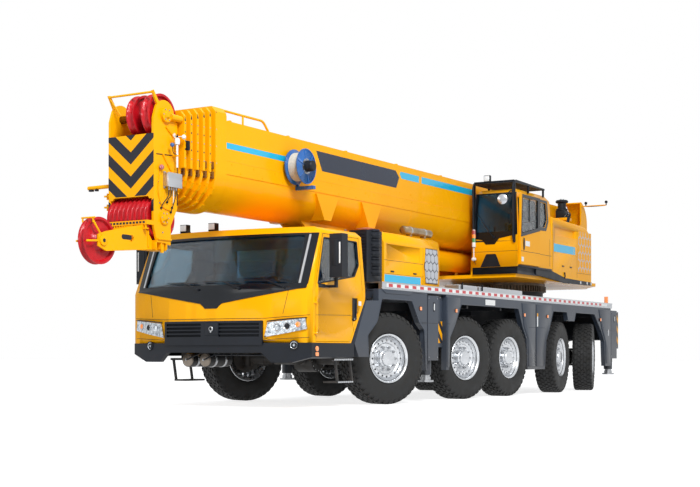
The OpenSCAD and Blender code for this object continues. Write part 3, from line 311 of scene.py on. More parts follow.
# Chassis black over hot-rolled plate: flat, rough, and dusty low down
FRAME_BLACK = Finish(
    "frame_black", "#1d2025", "#2c2f34", 0.5, 300, 0.55, 0.12, shine=0.3, grain_mm=6, grain=0.12,
    dust_top=0.9
)
# Cast and forged axle steel under black primer, the roughest surface on the machine
AXLE_CASTING = Finish(
    "axle_casting", "#1f2124", "#35312c", 0.6, 160, 0.62, 0.12, grain_mm=4, grain=0.3, dust_top=1.0
)
# Injection-moulded ABS and rubber trim with a leather-like grain
MOULDED_BLACK = Finish(
    "moulded_black", "#161a21", "#222730", 0.4, 250, 0.45, 0.08, shine=0.22, grain_mm=2.5, grain=0.1
)
# Gloss black glass surround and lacquered trim
GLOSS_BLACK = Finish(
    "gloss_black", "#0e1319", "#181e27", 0.3, 500, 0.16, 0.04, coat=0.12, shine=0.25, grain_mm=20,
    grain=0.01
)
# Mill-finish aluminium sheet and extrusion, with long soft scratches; also the bright strips beside
# the cab's windscreen pillars, which paint a reflection on the gloss black
ALUMINIUM_AND_PAINTED_REFLECTION = Finish(
    "mill_aluminium", "#c3c6ca", "#9a9da2", 0.5, 120, 0.36, 0.1, metallic=0.9, grain_mm=3,
    grain=0.08, stretch=(0.06, 1.0, 1.0)
)
# Silver stoving enamel on pressed-steel wheels
WHEEL_SILVER = Finish(
    "wheel_silver", "#cfd2d6", "#a9adb2", 0.4, 90, 0.28, 0.06, metallic=0.75, coat=0.3, grain_mm=5,
    grain=0.05, dust_top=0.35
)
# Ground and hard-chromed steel of rods
GROUND_STEEL = Finish(
    "ground_steel", "#b9bcc1", "#8f9298", 0.4, 80, 0.2, 0.05, metallic=1.0, grain_mm=2, grain=0.04
)
# Zinc-plated fasteners and brackets
ZINC_PLATE = Finish(
    "zinc_plate", "#aeb0b3", "#86898d", 0.5, 30, 0.38, 0.1, metallic=0.95, grain_mm=2, grain=0.1
)
# Red enamel on turned cast sheaves, with darker patches at random
SHEAVE_RED = Finish(
    "sheave_red", "#bd101d", "#8c0c16", 0.5, 110, 0.36, 0.08, coat=0.05, shine=0.3, grain_mm=5,
    grain=0.06
)
# Blue enamel on the spun flanges of the reel
REEL_BLUE = Finish(
    "reel_blue", "#0f5ca6", "#0b4580", 0.4, 100, 0.3, 0.06, coat=0.3, grain_mm=6, grain=0.04
)
# Cyan and charcoal vinyl films, smoother than the paint under them
CYAN_FILM = Finish(
    "cyan_film", "#14b4df", "#0fa6d0", 0.3, 300, 0.24, 0.03, coat=0.2, grain_mm=16, grain=0.01
)
CHARCOAL_FILM = Finish(
    "charcoal_film", "#272f3f", "#2e3748", 0.4, 300, 0.26, 0.03, coat=0.05, shine=0.25, grain_mm=16,
    grain=0.01
)
WHITE_FILM = Finish(
    "white_film", "#eceeee", "#dcdfe0", 0.3, 60, 0.3, 0.05, coat=0.3, grain_mm=3, grain=0.05
)
RED_FILM = Finish(
    "red_film", "#c81c28", "#a8141f", 0.3, 60, 0.3, 0.05, coat=0.3, grain_mm=3, grain=0.05
)
# Black film of the hazard stripes and chevrons, also the hexagon edge and nuts; on the boom it also
# makes dark plates that paint the shade in slots, perforations and holes
HAZARD_BLACK_AND_PAINTED_SHADE = Finish(
    "hazard_black", "#24242b", "#2d2d35", 0.3, 200, 0.32, 0.05, coat=0.04, shine=0.2, grain_mm=10,
    grain=0.02
)
# Galvanized wire rope and woven rope: light grey, with dark patches that paint the shade in the
# gaps between the strands
ROPE_GREY = Finish(
    "wire_rope", "#a8a59c", "#5e5c56", 0.9, 5, 0.5, 0.1, metallic=0.5, grain_mm=5, grain=0.5
)
# Stainless pipe browned by the exhaust's heat
HEATED_STEEL = Finish(
    "heated_steel", "#9c8a70", "#6f5a44", 0.8, 140, 0.34, 0.08, metallic=0.95, grain_mm=3,
    grain=0.08
)
# Light grey film of the hexagon pattern
HEX_GREY = Finish(
    "hexagon_grey", "#b6bac1", "#a2a7af", 0.4, 200, 0.3, 0.05, coat=0.2, grain_mm=8, grain=0.03
)
# Cast polyamide of the wear pads, brown with grease
WEAR_PAD = Finish("wear_pad", "#7d4f16", "#54340e", 0.6, 40, 0.5, 0.1, grain_mm=3, grain=0.12)
# Forged steel of the slewing ring under a brown film of grease
GREASED_STEEL = Finish(
    "greased_steel", "#57493a", "#352b21", 0.7, 90, 0.42, 0.1, metallic=0.6, grain_mm=5, grain=0.15
)
# Oiled bronze bush
BRONZE = Finish(
    "bronze", "#8f6d33", "#6c5126", 0.5, 60, 0.32, 0.08, metallic=0.95, grain_mm=3, grain=0.06
)
# Pale woven hose on the reel
HOSE_WHITE = Finish("hose_white", "#c9c7bf", "#9d9a90", 0.7, 9, 0.6, 0.08, grain_mm=3, grain=0.35)
# Grey primer on pressed tanks
TANK_GREY = Finish(
    "tank_grey", "#91867a", "#6f655a", 0.5, 120, 0.4, 0.08, metallic=0.4, grain_mm=4, grain=0.08
)
# Seat cloth: navy weave, matt
SEAT_CLOTH = Finish("seat_cloth", "#1c2440", "#2c3763", 0.7, 5, 0.85, 0.08, grain_mm=4, grain=0.5)
# Interior trim boards, moulded in dark grey
TRIM_BOARD = Finish("trim_board", "#33373c", "#3f4348", 0.5, 60, 0.6, 0.08, grain_mm=3, grain=0.15)
# Padded lining of walls and roof inside the cabs, blue-grey
CAB_LINING = Finish("cab_lining", "#46728e", "#386079", 0.5, 150, 0.7, 0.08, grain_mm=4, grain=0.2)
# Vacuum-metallised lamp reflector with its facets, under a clear cover; its dark patches are
# painted reflection and painted shade, darker surroundings mirrored in the chrome
REFLECTOR = Finish(
    "lamp_reflector", "#c3cad0", "#565f68", 0.9, 40, 0.16, 0.06, metallic=0.95, coat=0.3,
    grain_mm=30, grain=0.6
)


@dataclass(frozen=True)
class TyreRubber:
    """Carbon-black tyre rubber: matt, fine moulded rings on the sidewall and a dusty tread."""

    name: str = "tyre_rubber"
    ring_mm: float = 14.0

    def build(self) -> bpy.types.Material:
        """Makes the material, whose rings follow the radius kept in the tyre's UV map."""
        made = bpy.data.materials.new(self.name)
        made.use_nodes = True
        tree = made.node_tree
        shader = tree.nodes["Principled BSDF"]
        place = add_node(tree, "ShaderNodeTexCoord").outputs["Object"]
        radius = add_node(
            tree, "ShaderNodeSeparateXYZ",
            {0: add_node(tree, "ShaderNodeUVMap", uv_map="turning").outputs[0]}
        ).outputs[0]
        wave = add_node(
            tree, "ShaderNodeMath",
            {0: radius, 1: FULL_TURN * per_metre(self.ring_mm)},
            operation="MULTIPLY"
        )
        ring = add_node(tree, "ShaderNodeMath", {0: wave.outputs[0]}, operation="SINE")
        blotch = add_node(
            tree, "ShaderNodeTexNoise", {"Vector": place, "Scale": per_metre(120), "Detail": 6.0}
        )
        level = add_node(
            tree, "ShaderNodeMapRange", {0: blotch.outputs[0], 1: 0.4, 2: 0.7, 3: 0.0, 4: 0.5}
        )
        tone = add_node(
            tree, "ShaderNodeMix",
            {0: level.outputs[0], 6: linear("#151617"), 7: linear("#2c2a27")},
            data_type="RGBA"
        )
        tree.links.new(tone.outputs[2], shader.inputs["Base Color"])
        rough = add_node(
            tree, "ShaderNodeMapRange", {0: blotch.outputs[0], 1: 0.3, 2: 0.7, 3: 0.62, 4: 0.85}
        )
        tree.links.new(rough.outputs[0], shader.inputs["Roughness"])
        bump = add_node(
            tree, "ShaderNodeBump",
            {"Strength": 0.35, "Distance": 0.0015, "Height": ring.outputs[0]}
        )
        tree.links.new(bump.outputs[0], shader.inputs["Normal"])
        return made


@dataclass(frozen=True)
class Glazing:
    """Tinted float glass: some light passes straight through, some is mirrored or bent."""

    name: str
    tint: str
    clear: float

    def build(self) -> bpy.types.Material:
        """Makes the material."""
        made = bpy.data.materials.new(self.name)
        made.use_nodes = True
        tree = made.node_tree
        shader = tree.nodes["Principled BSDF"]
        place = add_node(tree, "ShaderNodeTexCoord").outputs["Object"]
        film = add_node(
            tree, "ShaderNodeTexNoise", {"Vector": place, "Scale": per_metre(350), "Detail": 3.0}
        )
        rough = add_node(
            tree, "ShaderNodeMapRange", {0: film.outputs[0], 1: 0.35, 2: 0.7, 3: 0.015, 4: 0.05}
        )
        tree.links.new(rough.outputs[0], shader.inputs["Roughness"])
        shader.inputs["Base Color"].default_value = linear(self.tint)
        shader.inputs["Transmission Weight"].default_value = 1.0
        shader.inputs["Alpha"].default_value = self.clear
        shader.inputs["IOR"].default_value = 1.45
        return made


@dataclass(frozen=True)
class LampGlass:
    """Moulded polycarbonate lens over its lit or unlit bulb, with fine optic ribs."""

    name: str
    colour: str
    glow: float = 0.0

    def build(self) -> bpy.types.Material:
        """Makes the material."""
        made = bpy.data.materials.new(self.name)
        made.use_nodes = True
        tree = made.node_tree
        shader = tree.nodes["Principled BSDF"]
        place = add_node(tree, "ShaderNodeTexCoord").outputs["Object"]
        ribs = add_node(
            tree, "ShaderNodeTexWave", {"Vector": place, "Scale": per_metre(60), "Distortion": 0.4}
        )
        tone = add_node(
            tree, "ShaderNodeMix",
            {0: ribs.outputs[1], 6: linear(self.colour), 7: linear("#ffffff")},
            data_type="RGBA"
        )
        weak = add_node(
            tree, "ShaderNodeMapRange", {0: ribs.outputs[1], 1: 0.0, 2: 1.0, 3: 0.0, 4: 0.22}
        )
        tree.links.new(weak.outputs[0], tone.inputs[0])
        tree.links.new(tone.outputs[2], shader.inputs["Base Color"])
        bump = add_node(
            tree, "ShaderNodeBump", {"Strength": 0.2, "Distance": 0.001, "Height": ribs.outputs[1]}
        )
        tree.links.new(bump.outputs[0], shader.inputs["Normal"])
        shader.inputs["Roughness"].default_value = 0.12
        shader.inputs["Coat Weight"].default_value = 0.6
        if self.glow > 0:
            shader.inputs["Emission Color"].default_value = linear(self.colour)
            shader.inputs["Emission Strength"].default_value = self.glow
        return made


CLEAR_LENS = LampGlass("clear_lens", "#e4e9ec")
AMBER_LENS = LampGlass("amber_lens", "#ff8a14", 0.15)
RED_LENS = LampGlass("red_lens", "#a01822", 0.05)
GREEN_LENS = LampGlass("green_lens", "#1f8f4a", 0.05)
CAB_GLASS = Glazing("cab_glass_tint", "#3f86a8", 0.72)
SIDE_GLASS = Glazing("side_glass_tint", "#7fa9b4", 0.55)
OPERATOR_GLASS = Glazing("operator_glass_tint", "#7fb3bd", 0.5)


class Paints:
    """Every finish, built once and asked for by the finish itself."""

    def __init__(self) -> None:
        """Starts with an empty shelf."""
        self.shelf: dict[str, bpy.types.Material] = {}

    def get(self, finish: Finish | TyreRubber | Glazing | LampGlass) -> bpy.types.Material:
        """Gives the material of a finish, building it the first time.

        Args:
            finish: the finish wanted.

        Returns:
            Its material.
        """
        if finish.name not in self.shelf:
            self.shelf[finish.name] = finish.build()
        return self.shelf[finish.name]


class Shop:
    """Hand tools: each starts from a primitive, shapes it in edit mode and gives the piece back."""

    def __init__(self, frame: dict) -> None:
        """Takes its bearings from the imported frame.

        Args:
            frame: what the frame loader returned.
        """
        self.frame = frame
        self.paints = Paints()
        self.joints = {joint["name"]: joint for joint in frame["joints"]}
        self.front = self.joints["steer_1_left"]["pos_m"][0]
        self.count = 0

    def at(self, x: float, y: float, z: float) -> Vector:
        """A place measured from the front axle, in the frame's own coordinates."""
        return Vector((x + self.front, y, z))

    def clear(self) -> None:
        """Deselects everything, so that an operator acts on one piece only."""
        for picked in list(bpy.context.selected_objects):
            picked.select_set(False)

    def pick(self, piece: bpy.types.Object) -> None:
        """Makes one piece the only one selected, and the active one."""
        self.clear()
        piece.select_set(True)
        bpy.context.view_layer.objects.active = piece

    def settle(self, piece: bpy.types.Object) -> bpy.types.Object:
        """Puts the object's place, turn and scale into its mesh."""
        self.pick(piece)
        bpy.ops.object.transform_apply(location=True, rotation=True, scale=True)
        return piece

    def round_edges(self, piece: bpy.types.Object, width: float, segments: int = 2) -> None:
        """Bevels every edge of a piece in edit mode.

        Args:
            piece: the piece.
            width: width of the bevel.
            segments: steps in its round.
        """
        self.pick(piece)
        bpy.ops.object.mode_set(mode="EDIT")
        bpy.ops.mesh.select_all(action="SELECT")
        bpy.ops.mesh.bevel(offset=width, segments=segments, affect="EDGES", clamp_overlap=True)
        bpy.ops.object.mode_set(mode="OBJECT")

    def soften(
        self, piece: bpy.types.Object, test: Callable[[Vector], bool], width: float, segments: int
    ) -> None:
        """Rounds the sharp edges whose middles pass a test.

        Args:
            piece: the piece.
            test: test of an edge's middle, X from the front axle.
            width: width of the rounding.
            segments: steps in the rounding.
        """
        shift = Vector((self.front, 0, 0))
        self.pick(piece)
        bpy.ops.object.mode_set(mode="EDIT")
        bpy.ops.mesh.select_all(action="SELECT")
        bpy.ops.mesh.dissolve_limited(angle_limit=math.radians(1))
        bpy.ops.mesh.select_all(action="DESELECT")
        form = bmesh.from_edit_mesh(piece.data)
        for edge in form.edges:
            middle = (edge.verts[0].co + edge.verts[1].co) / 2 - shift
            edge.select_set(
                len(edge.link_faces) == 2 and edge.calc_face_angle(0.0) > 0.5 and test(middle)
            )
        bmesh.update_edit_mesh(piece.data)
        bpy.ops.mesh.bevel(offset=width, segments=segments, affect="EDGES", clamp_overlap=True)
        bpy.ops.object.mode_set(mode="OBJECT")
        self.smooth(piece)

    def smooth(self, piece: bpy.types.Object, degrees: float = 35.0) -> bpy.types.Object:
        """Shades a piece smooth, apart from edges sharper than this angle."""
        self.pick(piece)
        bpy.ops.object.shade_smooth_by_angle(angle=math.radians(degrees))
        return piece

    def outward(self, piece: bpy.types.Object) -> bpy.types.Object:
        """Closes seams and turns all faces outwards."""
        self.pick(piece)
        bpy.ops.object.mode_set(mode="EDIT")
        bpy.ops.mesh.select_all(action="SELECT")
        bpy.ops.mesh.remove_doubles(threshold=0.00001)
        bpy.ops.mesh.normals_make_consistent(inside=False)
        bpy.ops.object.mode_set(mode="OBJECT")
        return piece

    def dress(
        self, piece: bpy.types.Object, finish: Finish | TyreRubber | Glazing | LampGlass
    ) -> bpy.types.Object:
        """Gives a whole piece one finish."""
        piece.data.materials.clear()
        piece.data.materials.append(self.paints.get(finish))
        return piece

    def box(
        self, x: Pair, y: Pair, z: Pair, finish: Finish, edge: float = 0.0, segments: int = 2
    ) -> bpy.types.Object:
        """Models a block from a cube, with rounded edges.

        Args:
            x: lowest and highest X, from the front axle.
            y: lowest and highest Y.
            z: lowest and highest Z.
            finish: its finish.
            edge: width of the rounding, or none.
            segments: steps in the rounding.

        Returns:
            The block.
        """
        self.clear()
        middle = self.at(sum(x) / 2, sum(y) / 2, sum(z) / 2)
        size = (x[1] - x[0], y[1] - y[0], z[1] - z[0])
        bpy.ops.mesh.primitive_cube_add(size=1, location=middle, scale=size)
        piece = self.settle(bpy.context.object)
        if edge > 0:
            self.round_edges(piece, min(edge, min(size) * 0.45), segments)
            self.smooth(piece)
        return self.dress(piece, finish)

    def rod(
        self, start: Triple, end: Triple, radius: float, finish: Finish, sides: int = 20,
        edge: float = 0.0, tip: float | None = None
    ) -> bpy.types.Object:
        """Models a round bar or a taper from a cylinder or cone.

        Args:
            start: middle of one end, X from the front axle.
            end: middle of the other end.
            radius: its radius.
            finish: its finish.
            sides: steps round it.
            edge: width of the rounding at its ends.
            tip: radius at the end, where it tapers.

        Returns:
            The bar.
        """
        self.clear()
        low, high = self.at(*start), self.at(*end)
        turn = (high - low).to_track_quat("Z", "Y").to_euler()
        bpy.ops.mesh.primitive_cone_add(
            vertices=sides, radius1=radius, radius2=radius if tip is None else tip,
            depth=(high - low).length, location=(low + high) / 2, rotation=turn
        )
        piece = self.settle(bpy.context.object)
        if edge > 0:
            self.round_ends(piece, edge)
        return self.dress(self.smooth(piece), finish)

    def round_ends(self, piece: bpy.types.Object, width: float) -> None:
        """Bevels the rims of a piece's end caps.

        Args:
            piece: the piece.
            width: width of the bevel.
        """
        self.pick(piece)
        bpy.ops.object.mode_set(mode="EDIT")
        form = bmesh.from_edit_mesh(piece.data)
        for edge in form.edges:
            edge.select_set(any(len(face.verts) > 4 for face in edge.link_faces))
        bmesh.update_edit_mesh(piece.data)
        bpy.ops.mesh.bevel(offset=width, segments=2, affect="EDGES", clamp_overlap=True)
        bpy.ops.object.mode_set(mode="OBJECT")

    def plate(
        self, outline: Sequence[Pair], normal: Normal, depth: Pair, finish: Finish,
        edge: float = 0.0, segments: int = 1
    ) -> bpy.types.Object:
        """Models a flat plate: a filled circle, its corners drawn out to an outline, then extruded.

        Args:
            outline: corners in the two axes across the normal, X from the front axle first.
            normal: the axis that the outline looks along.
            depth: lowest and highest place along the normal.
            finish: its finish.
            edge: width of the rounding.
            segments: steps in the rounding.

        Returns:
            The plate.
        """
        self.clear()
        bpy.ops.mesh.primitive_circle_add(vertices=len(outline), fill_type="NGON")
        piece = bpy.context.object
        across = [k for k in range(3) if k != normal.value]
        for corner, point in zip(piece.data.vertices, outline):
            place = [0.0, 0.0, 0.0]
            place[across[0]], place[across[1]] = point
            place[normal.value] = depth[0]
            corner.co = self.at(*place)
        lift = [0.0, 0.0, 0.0]
        lift[normal.value] = depth[1] - depth[0]
        self.pick(piece)
        bpy.ops.object.mode_set(mode="EDIT")
        bpy.ops.mesh.select_all(action="SELECT")
        bpy.ops.mesh.extrude_region_move(TRANSFORM_OT_translate={"value": lift})
        bpy.ops.mesh.select_all(action="SELECT")
        bpy.ops.mesh.normals_make_consistent(inside=False)
        bpy.ops.object.mode_set(mode="OBJECT")
        if edge > 0:
            self.round_edges(piece, edge, segments)
            self.smooth(piece)
        return self.dress(piece, finish)

    def lathe(
        self, profile: Sequence[Pair], centre: Triple, axis: Triple, finish: Finish, steps: int = 48
    ) -> bpy.types.Object:
        """Turns a closed profile about an axis by the spin operator.

        Args:
            profile: corners as radius and distance along the axis, going round the section.
            centre: a point on the axis where the distance is zero, X from the front axle.
            axis: direction of the axis.
            finish: its finish.
            steps: steps round the turn.

        Returns:
            The turned piece.
        """
        self.clear()
        bpy.ops.mesh.primitive_circle_add(vertices=len(profile), fill_type="NOTHING")
        piece = bpy.context.object
        for corner, (radius, along) in zip(piece.data.vertices, profile):
            corner.co = Vector((radius, 0.0, along))
        self.pick(piece)
        bpy.ops.object.mode_set(mode="EDIT")
        bpy.ops.mesh.select_all(action="SELECT")
        bpy.ops.mesh.spin(steps=steps, angle=FULL_TURN, center=(0, 0, 0), axis=(0, 0, 1))
        bpy.ops.object.mode_set(mode="OBJECT")
        self.outward(piece)
        turn = Vector(axis).to_track_quat("Z", "Y").to_matrix().to_4x4()
        piece.data.transform(Matrix.Translation(self.at(*centre)) @ turn)
        return self.dress(self.smooth(piece), finish)

    def pipe(
        self, points: Sequence[Triple], radius: float, finish: Finish, bend: float = 0.0,
        sides: int = 3
    ) -> bpy.types.Object:
        """Bends a pipe, rail or cable along points, with rounded corners.

        Args:
            points: its corners, X from the front axle.
            radius: outer radius.
            finish: its finish.
            bend: how far from a corner its round begins.
            sides: resolution of the section, where 3 gives ten sides.

        Returns:
            The pipe as a mesh.
        """
        route = [self.at(*point) for point in points]
        soft = [route[0]]
        for before, corner, after in zip(route, route[1:], route[2:]):
            if bend <= 0:
                soft.append(corner)
                continue
            start = corner + (before - corner).normalized() * min(
                bend, (before - corner).length / 2
            )
            end = corner + (after - corner).normalized() * min(bend, (after - corner).length / 2)
            for step in range(5):
                t = step / 4
                soft.append(start * (1 - t) ** 2 + corner * (2 * t * (1 - t)) + end * t**2)
        soft.append(route[-1])
        curve = bpy.data.curves.new("route", "CURVE")
        curve.dimensions = "3D"
        curve.bevel_depth = radius
        curve.bevel_resolution = sides
        curve.use_fill_caps = True
        spline = curve.splines.new("POLY")
        spline.points.add(len(soft) - 1)
        for knot, place in zip(spline.points, soft):
            knot.co = (*place, 1.0)
        piece = bpy.data.objects.new("route", curve)
        bpy.context.scene.collection.objects.link(piece)
        self.pick(piece)
        bpy.ops.object.convert(target="MESH")
        piece = bpy.context.object
        self.outward(piece)
        return self.dress(self.smooth(piece, 50), finish)

    def row(self, piece: bpy.types.Object, count: int, step: Triple) -> bpy.types.Object:
        """Repeats a piece in a straight row by an applied array.

        Args:
            piece: the piece.
            count: how many there are in all.
            step: distance from one to the next.

        Returns:
            The row.
        """
        self.pick(piece)
        array = piece.modifiers.new("row", "ARRAY")
        array.count = count
        array.use_relative_offset = False
        array.use_constant_offset = True
        array.constant_offset_displace = step
        bpy.ops.object.modifier_apply(modifier=array.name)
        return piece

    def ring(
        self, piece: bpy.types.Object, count: int, centre: Triple, axis: Triple
    ) -> bpy.types.Object:
        """Repeats a piece round an axis.

        Args:
            piece: the piece.
            count: how many there are in all.
            centre: a point on the axis, X from the front axle.
            axis: direction of the axis.

        Returns:
            The ring.
        """
        middle = Matrix.Translation(self.at(*centre))
        copies = [piece]
        for k in range(1, count):
            turn = Matrix.Rotation(FULL_TURN * k / count, 4, Vector(axis))
            copies.append(self.copy(piece, middle @ turn @ middle.inverted()))
        return self.join(copies)

    def copy(self, piece: bpy.types.Object, move: Matrix) -> bpy.types.Object:
        """Copies a piece with its own mesh, moved by a matrix, with its faces still outwards.

        Args:
            piece: the piece.
            move: where the copy goes, from where the piece is.

        Returns:
            The copy.
        """
        twin = bpy.data.objects.new(piece.name, piece.data.copy())
        bpy.context.scene.collection.objects.link(twin)
        twin.data.transform(move)
        if move.determinant() < 0:
            twin.data.flip_normals()
        return twin

    def reflect(self, piece: bpy.types.Object) -> bpy.types.Object:
        """Moves a piece to the other side of the machine's middle plane."""
        piece.data.transform(Matrix.Scale(-1, 4, Vector((0, 1, 0))))
        piece.data.flip_normals()
        return piece

    def cushion(self, name: str, body: str, x: Pair, y: Pair, z: Pair, fill: float) -> None:
        """Models one padded seat part: a crowned pad whose sides pull in.

        Args:
            name: the piece's name.
            body: the body it moves with.
            x: its limits along X, from the front axle.
            y: its limits along Y.
            z: its limits along Z.
            fill: how tight it is stuffed; not used.
        """
        pad = self.box(x, y, z, SEAT_CLOTH)
        self.pick(pad)
        bpy.ops.object.mode_set(mode="EDIT")
        bpy.ops.mesh.select_all(action="SELECT")
        bpy.ops.mesh.subdivide(number_cuts=7)
        bpy.ops.object.mode_set(mode="OBJECT")
        middle = self.at(sum(x) / 2, sum(y) / 2, sum(z) / 2)
        half = Vector((x[1] - x[0], y[1] - y[0], z[1] - z[0])) / 2
        for corner in pad.data.vertices:
            u, v, w = ((corner.co[k] - middle[k]) / half[k] for k in range(3))
            swell = 1.0 + 0.10 * (
                1 - u * u
            ) * (1 - v * v) * abs(w) + 0.06 * (1 - v * v) * (1 - w * w) * abs(u)
            pull = 1.0 - 0.07 * (u * u * v * v + v * v * w * w + u * u * w * w)
            corner.co = middle + Vector(
                (u * half.x * pull, v * half.y * pull * 0.98, w * half.z * swell * pull)
            )
        soft = pad.modifiers.new("soft", "SUBSURF")
        soft.levels = soft.render_levels = 1
        self.pick(pad)
        bpy.ops.object.modifier_apply(modifier=soft.name)
        self.smooth(pad, 80)
        self.mount(name, [pad], body, "black")

    def cut(self, piece: bpy.types.Object, cutter: bpy.types.Object) -> bpy.types.Object:
        """Cuts one piece out of another and throws the cutter away."""
        self.pick(piece)
        work = piece.modifiers.new("cut", "BOOLEAN")
        work.operation = "DIFFERENCE"
        work.solver = "EXACT"
        work.object = cutter
        bpy.ops.object.modifier_apply(modifier=work.name)
        bpy.data.objects.remove(cutter)
        return piece

    def join(self, parts: Sequence[bpy.types.Object]) -> bpy.types.Object:
        """Joins pieces to one, each with its own finish."""
        self.clear()
        for part in parts:
            part.select_set(True)
        bpy.context.view_layer.objects.active = parts[0]
        if len(parts) > 1:
            bpy.ops.object.join()
        return parts[0]

    def mount(
        self, name: str, parts: Sequence[bpy.types.Object], body: str, slot: str, *nodes: str
    ) -> bpy.types.Object:
        """Joins the parts of a finished piece, names it and makes it ride on its body.

        Args:
            name: the piece's name.
            parts: what it is joined from.
            body: the body it moves with.
            slot: the record's material slot for it; not used.
            nodes: construction pieces that it stands for.

        Returns:
            The piece.
        """
        piece = self.join(parts)
        piece.name = name
        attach(piece, body)
        if nodes:
            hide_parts(*nodes)
        self.count += 1
        LOG.info("%s: %d faces on %s", name, len(piece.data.polygons), body)
        return piece

    def body_of(self, node: str) -> str:
        """The body that a construction piece belongs to."""
        bodies = self.frame["record"]["behaviour"]["bodies"]
        return next(name for name, members in bodies.items() if node in members)

    def repaint(
        self, node: str,
        rules: Sequence[tuple[Callable[[Vector], bool], Finish]],
        rest: Finish, slot: str, degrees: float = 30.0
    ) -> bpy.types.Object:
        """Stands a copy of a construction piece in its place, each face finished by where it is.

        Args:
            node: the construction piece.
            rules: tests of a face's middle, each with the finish of what passes it.
            rest: the finish of what passes none.
            slot: the record's material slot.
            degrees: edges sharper than this stay sharp.

        Returns:
            The new piece.
        """
        piece = bpy.data.objects.new(node + "_dressed", self.frame["nodes"][node].data.copy())
        bpy.context.scene.collection.objects.link(piece)
        self.pick(piece)
        bpy.ops.object.mode_set(mode="EDIT")
        bpy.ops.mesh.select_all(action="SELECT")
        bpy.ops.mesh.remove_doubles(threshold=0.00001)
        bpy.ops.object.mode_set(mode="OBJECT")
        self.dress(piece, rest)
        for _test, finish in rules:
            piece.data.materials.append(self.paints.get(finish))
        shift = Vector((self.front, 0, 0))
        for face in piece.data.polygons:
            middle = Vector(face.center) - shift
            face.material_index = next(
                (k + 1 for k, rule in enumerate(rules) if rule[0](middle)), 0
            )
        self.smooth(piece, degrees)
        return self.mount(piece.name, [piece], self.body_of(node), slot, node)

    def paint_node(self, node: str, finish: Finish | Glazing) -> None:
        """Gives a construction piece that keeps its shape a better material."""
        piece = self.frame["nodes"][node]
        for place in piece.material_slots:
            place.material = self.paints.get(finish)
        if not piece.material_slots:
            piece.data.materials.append(self.paints.get(finish))


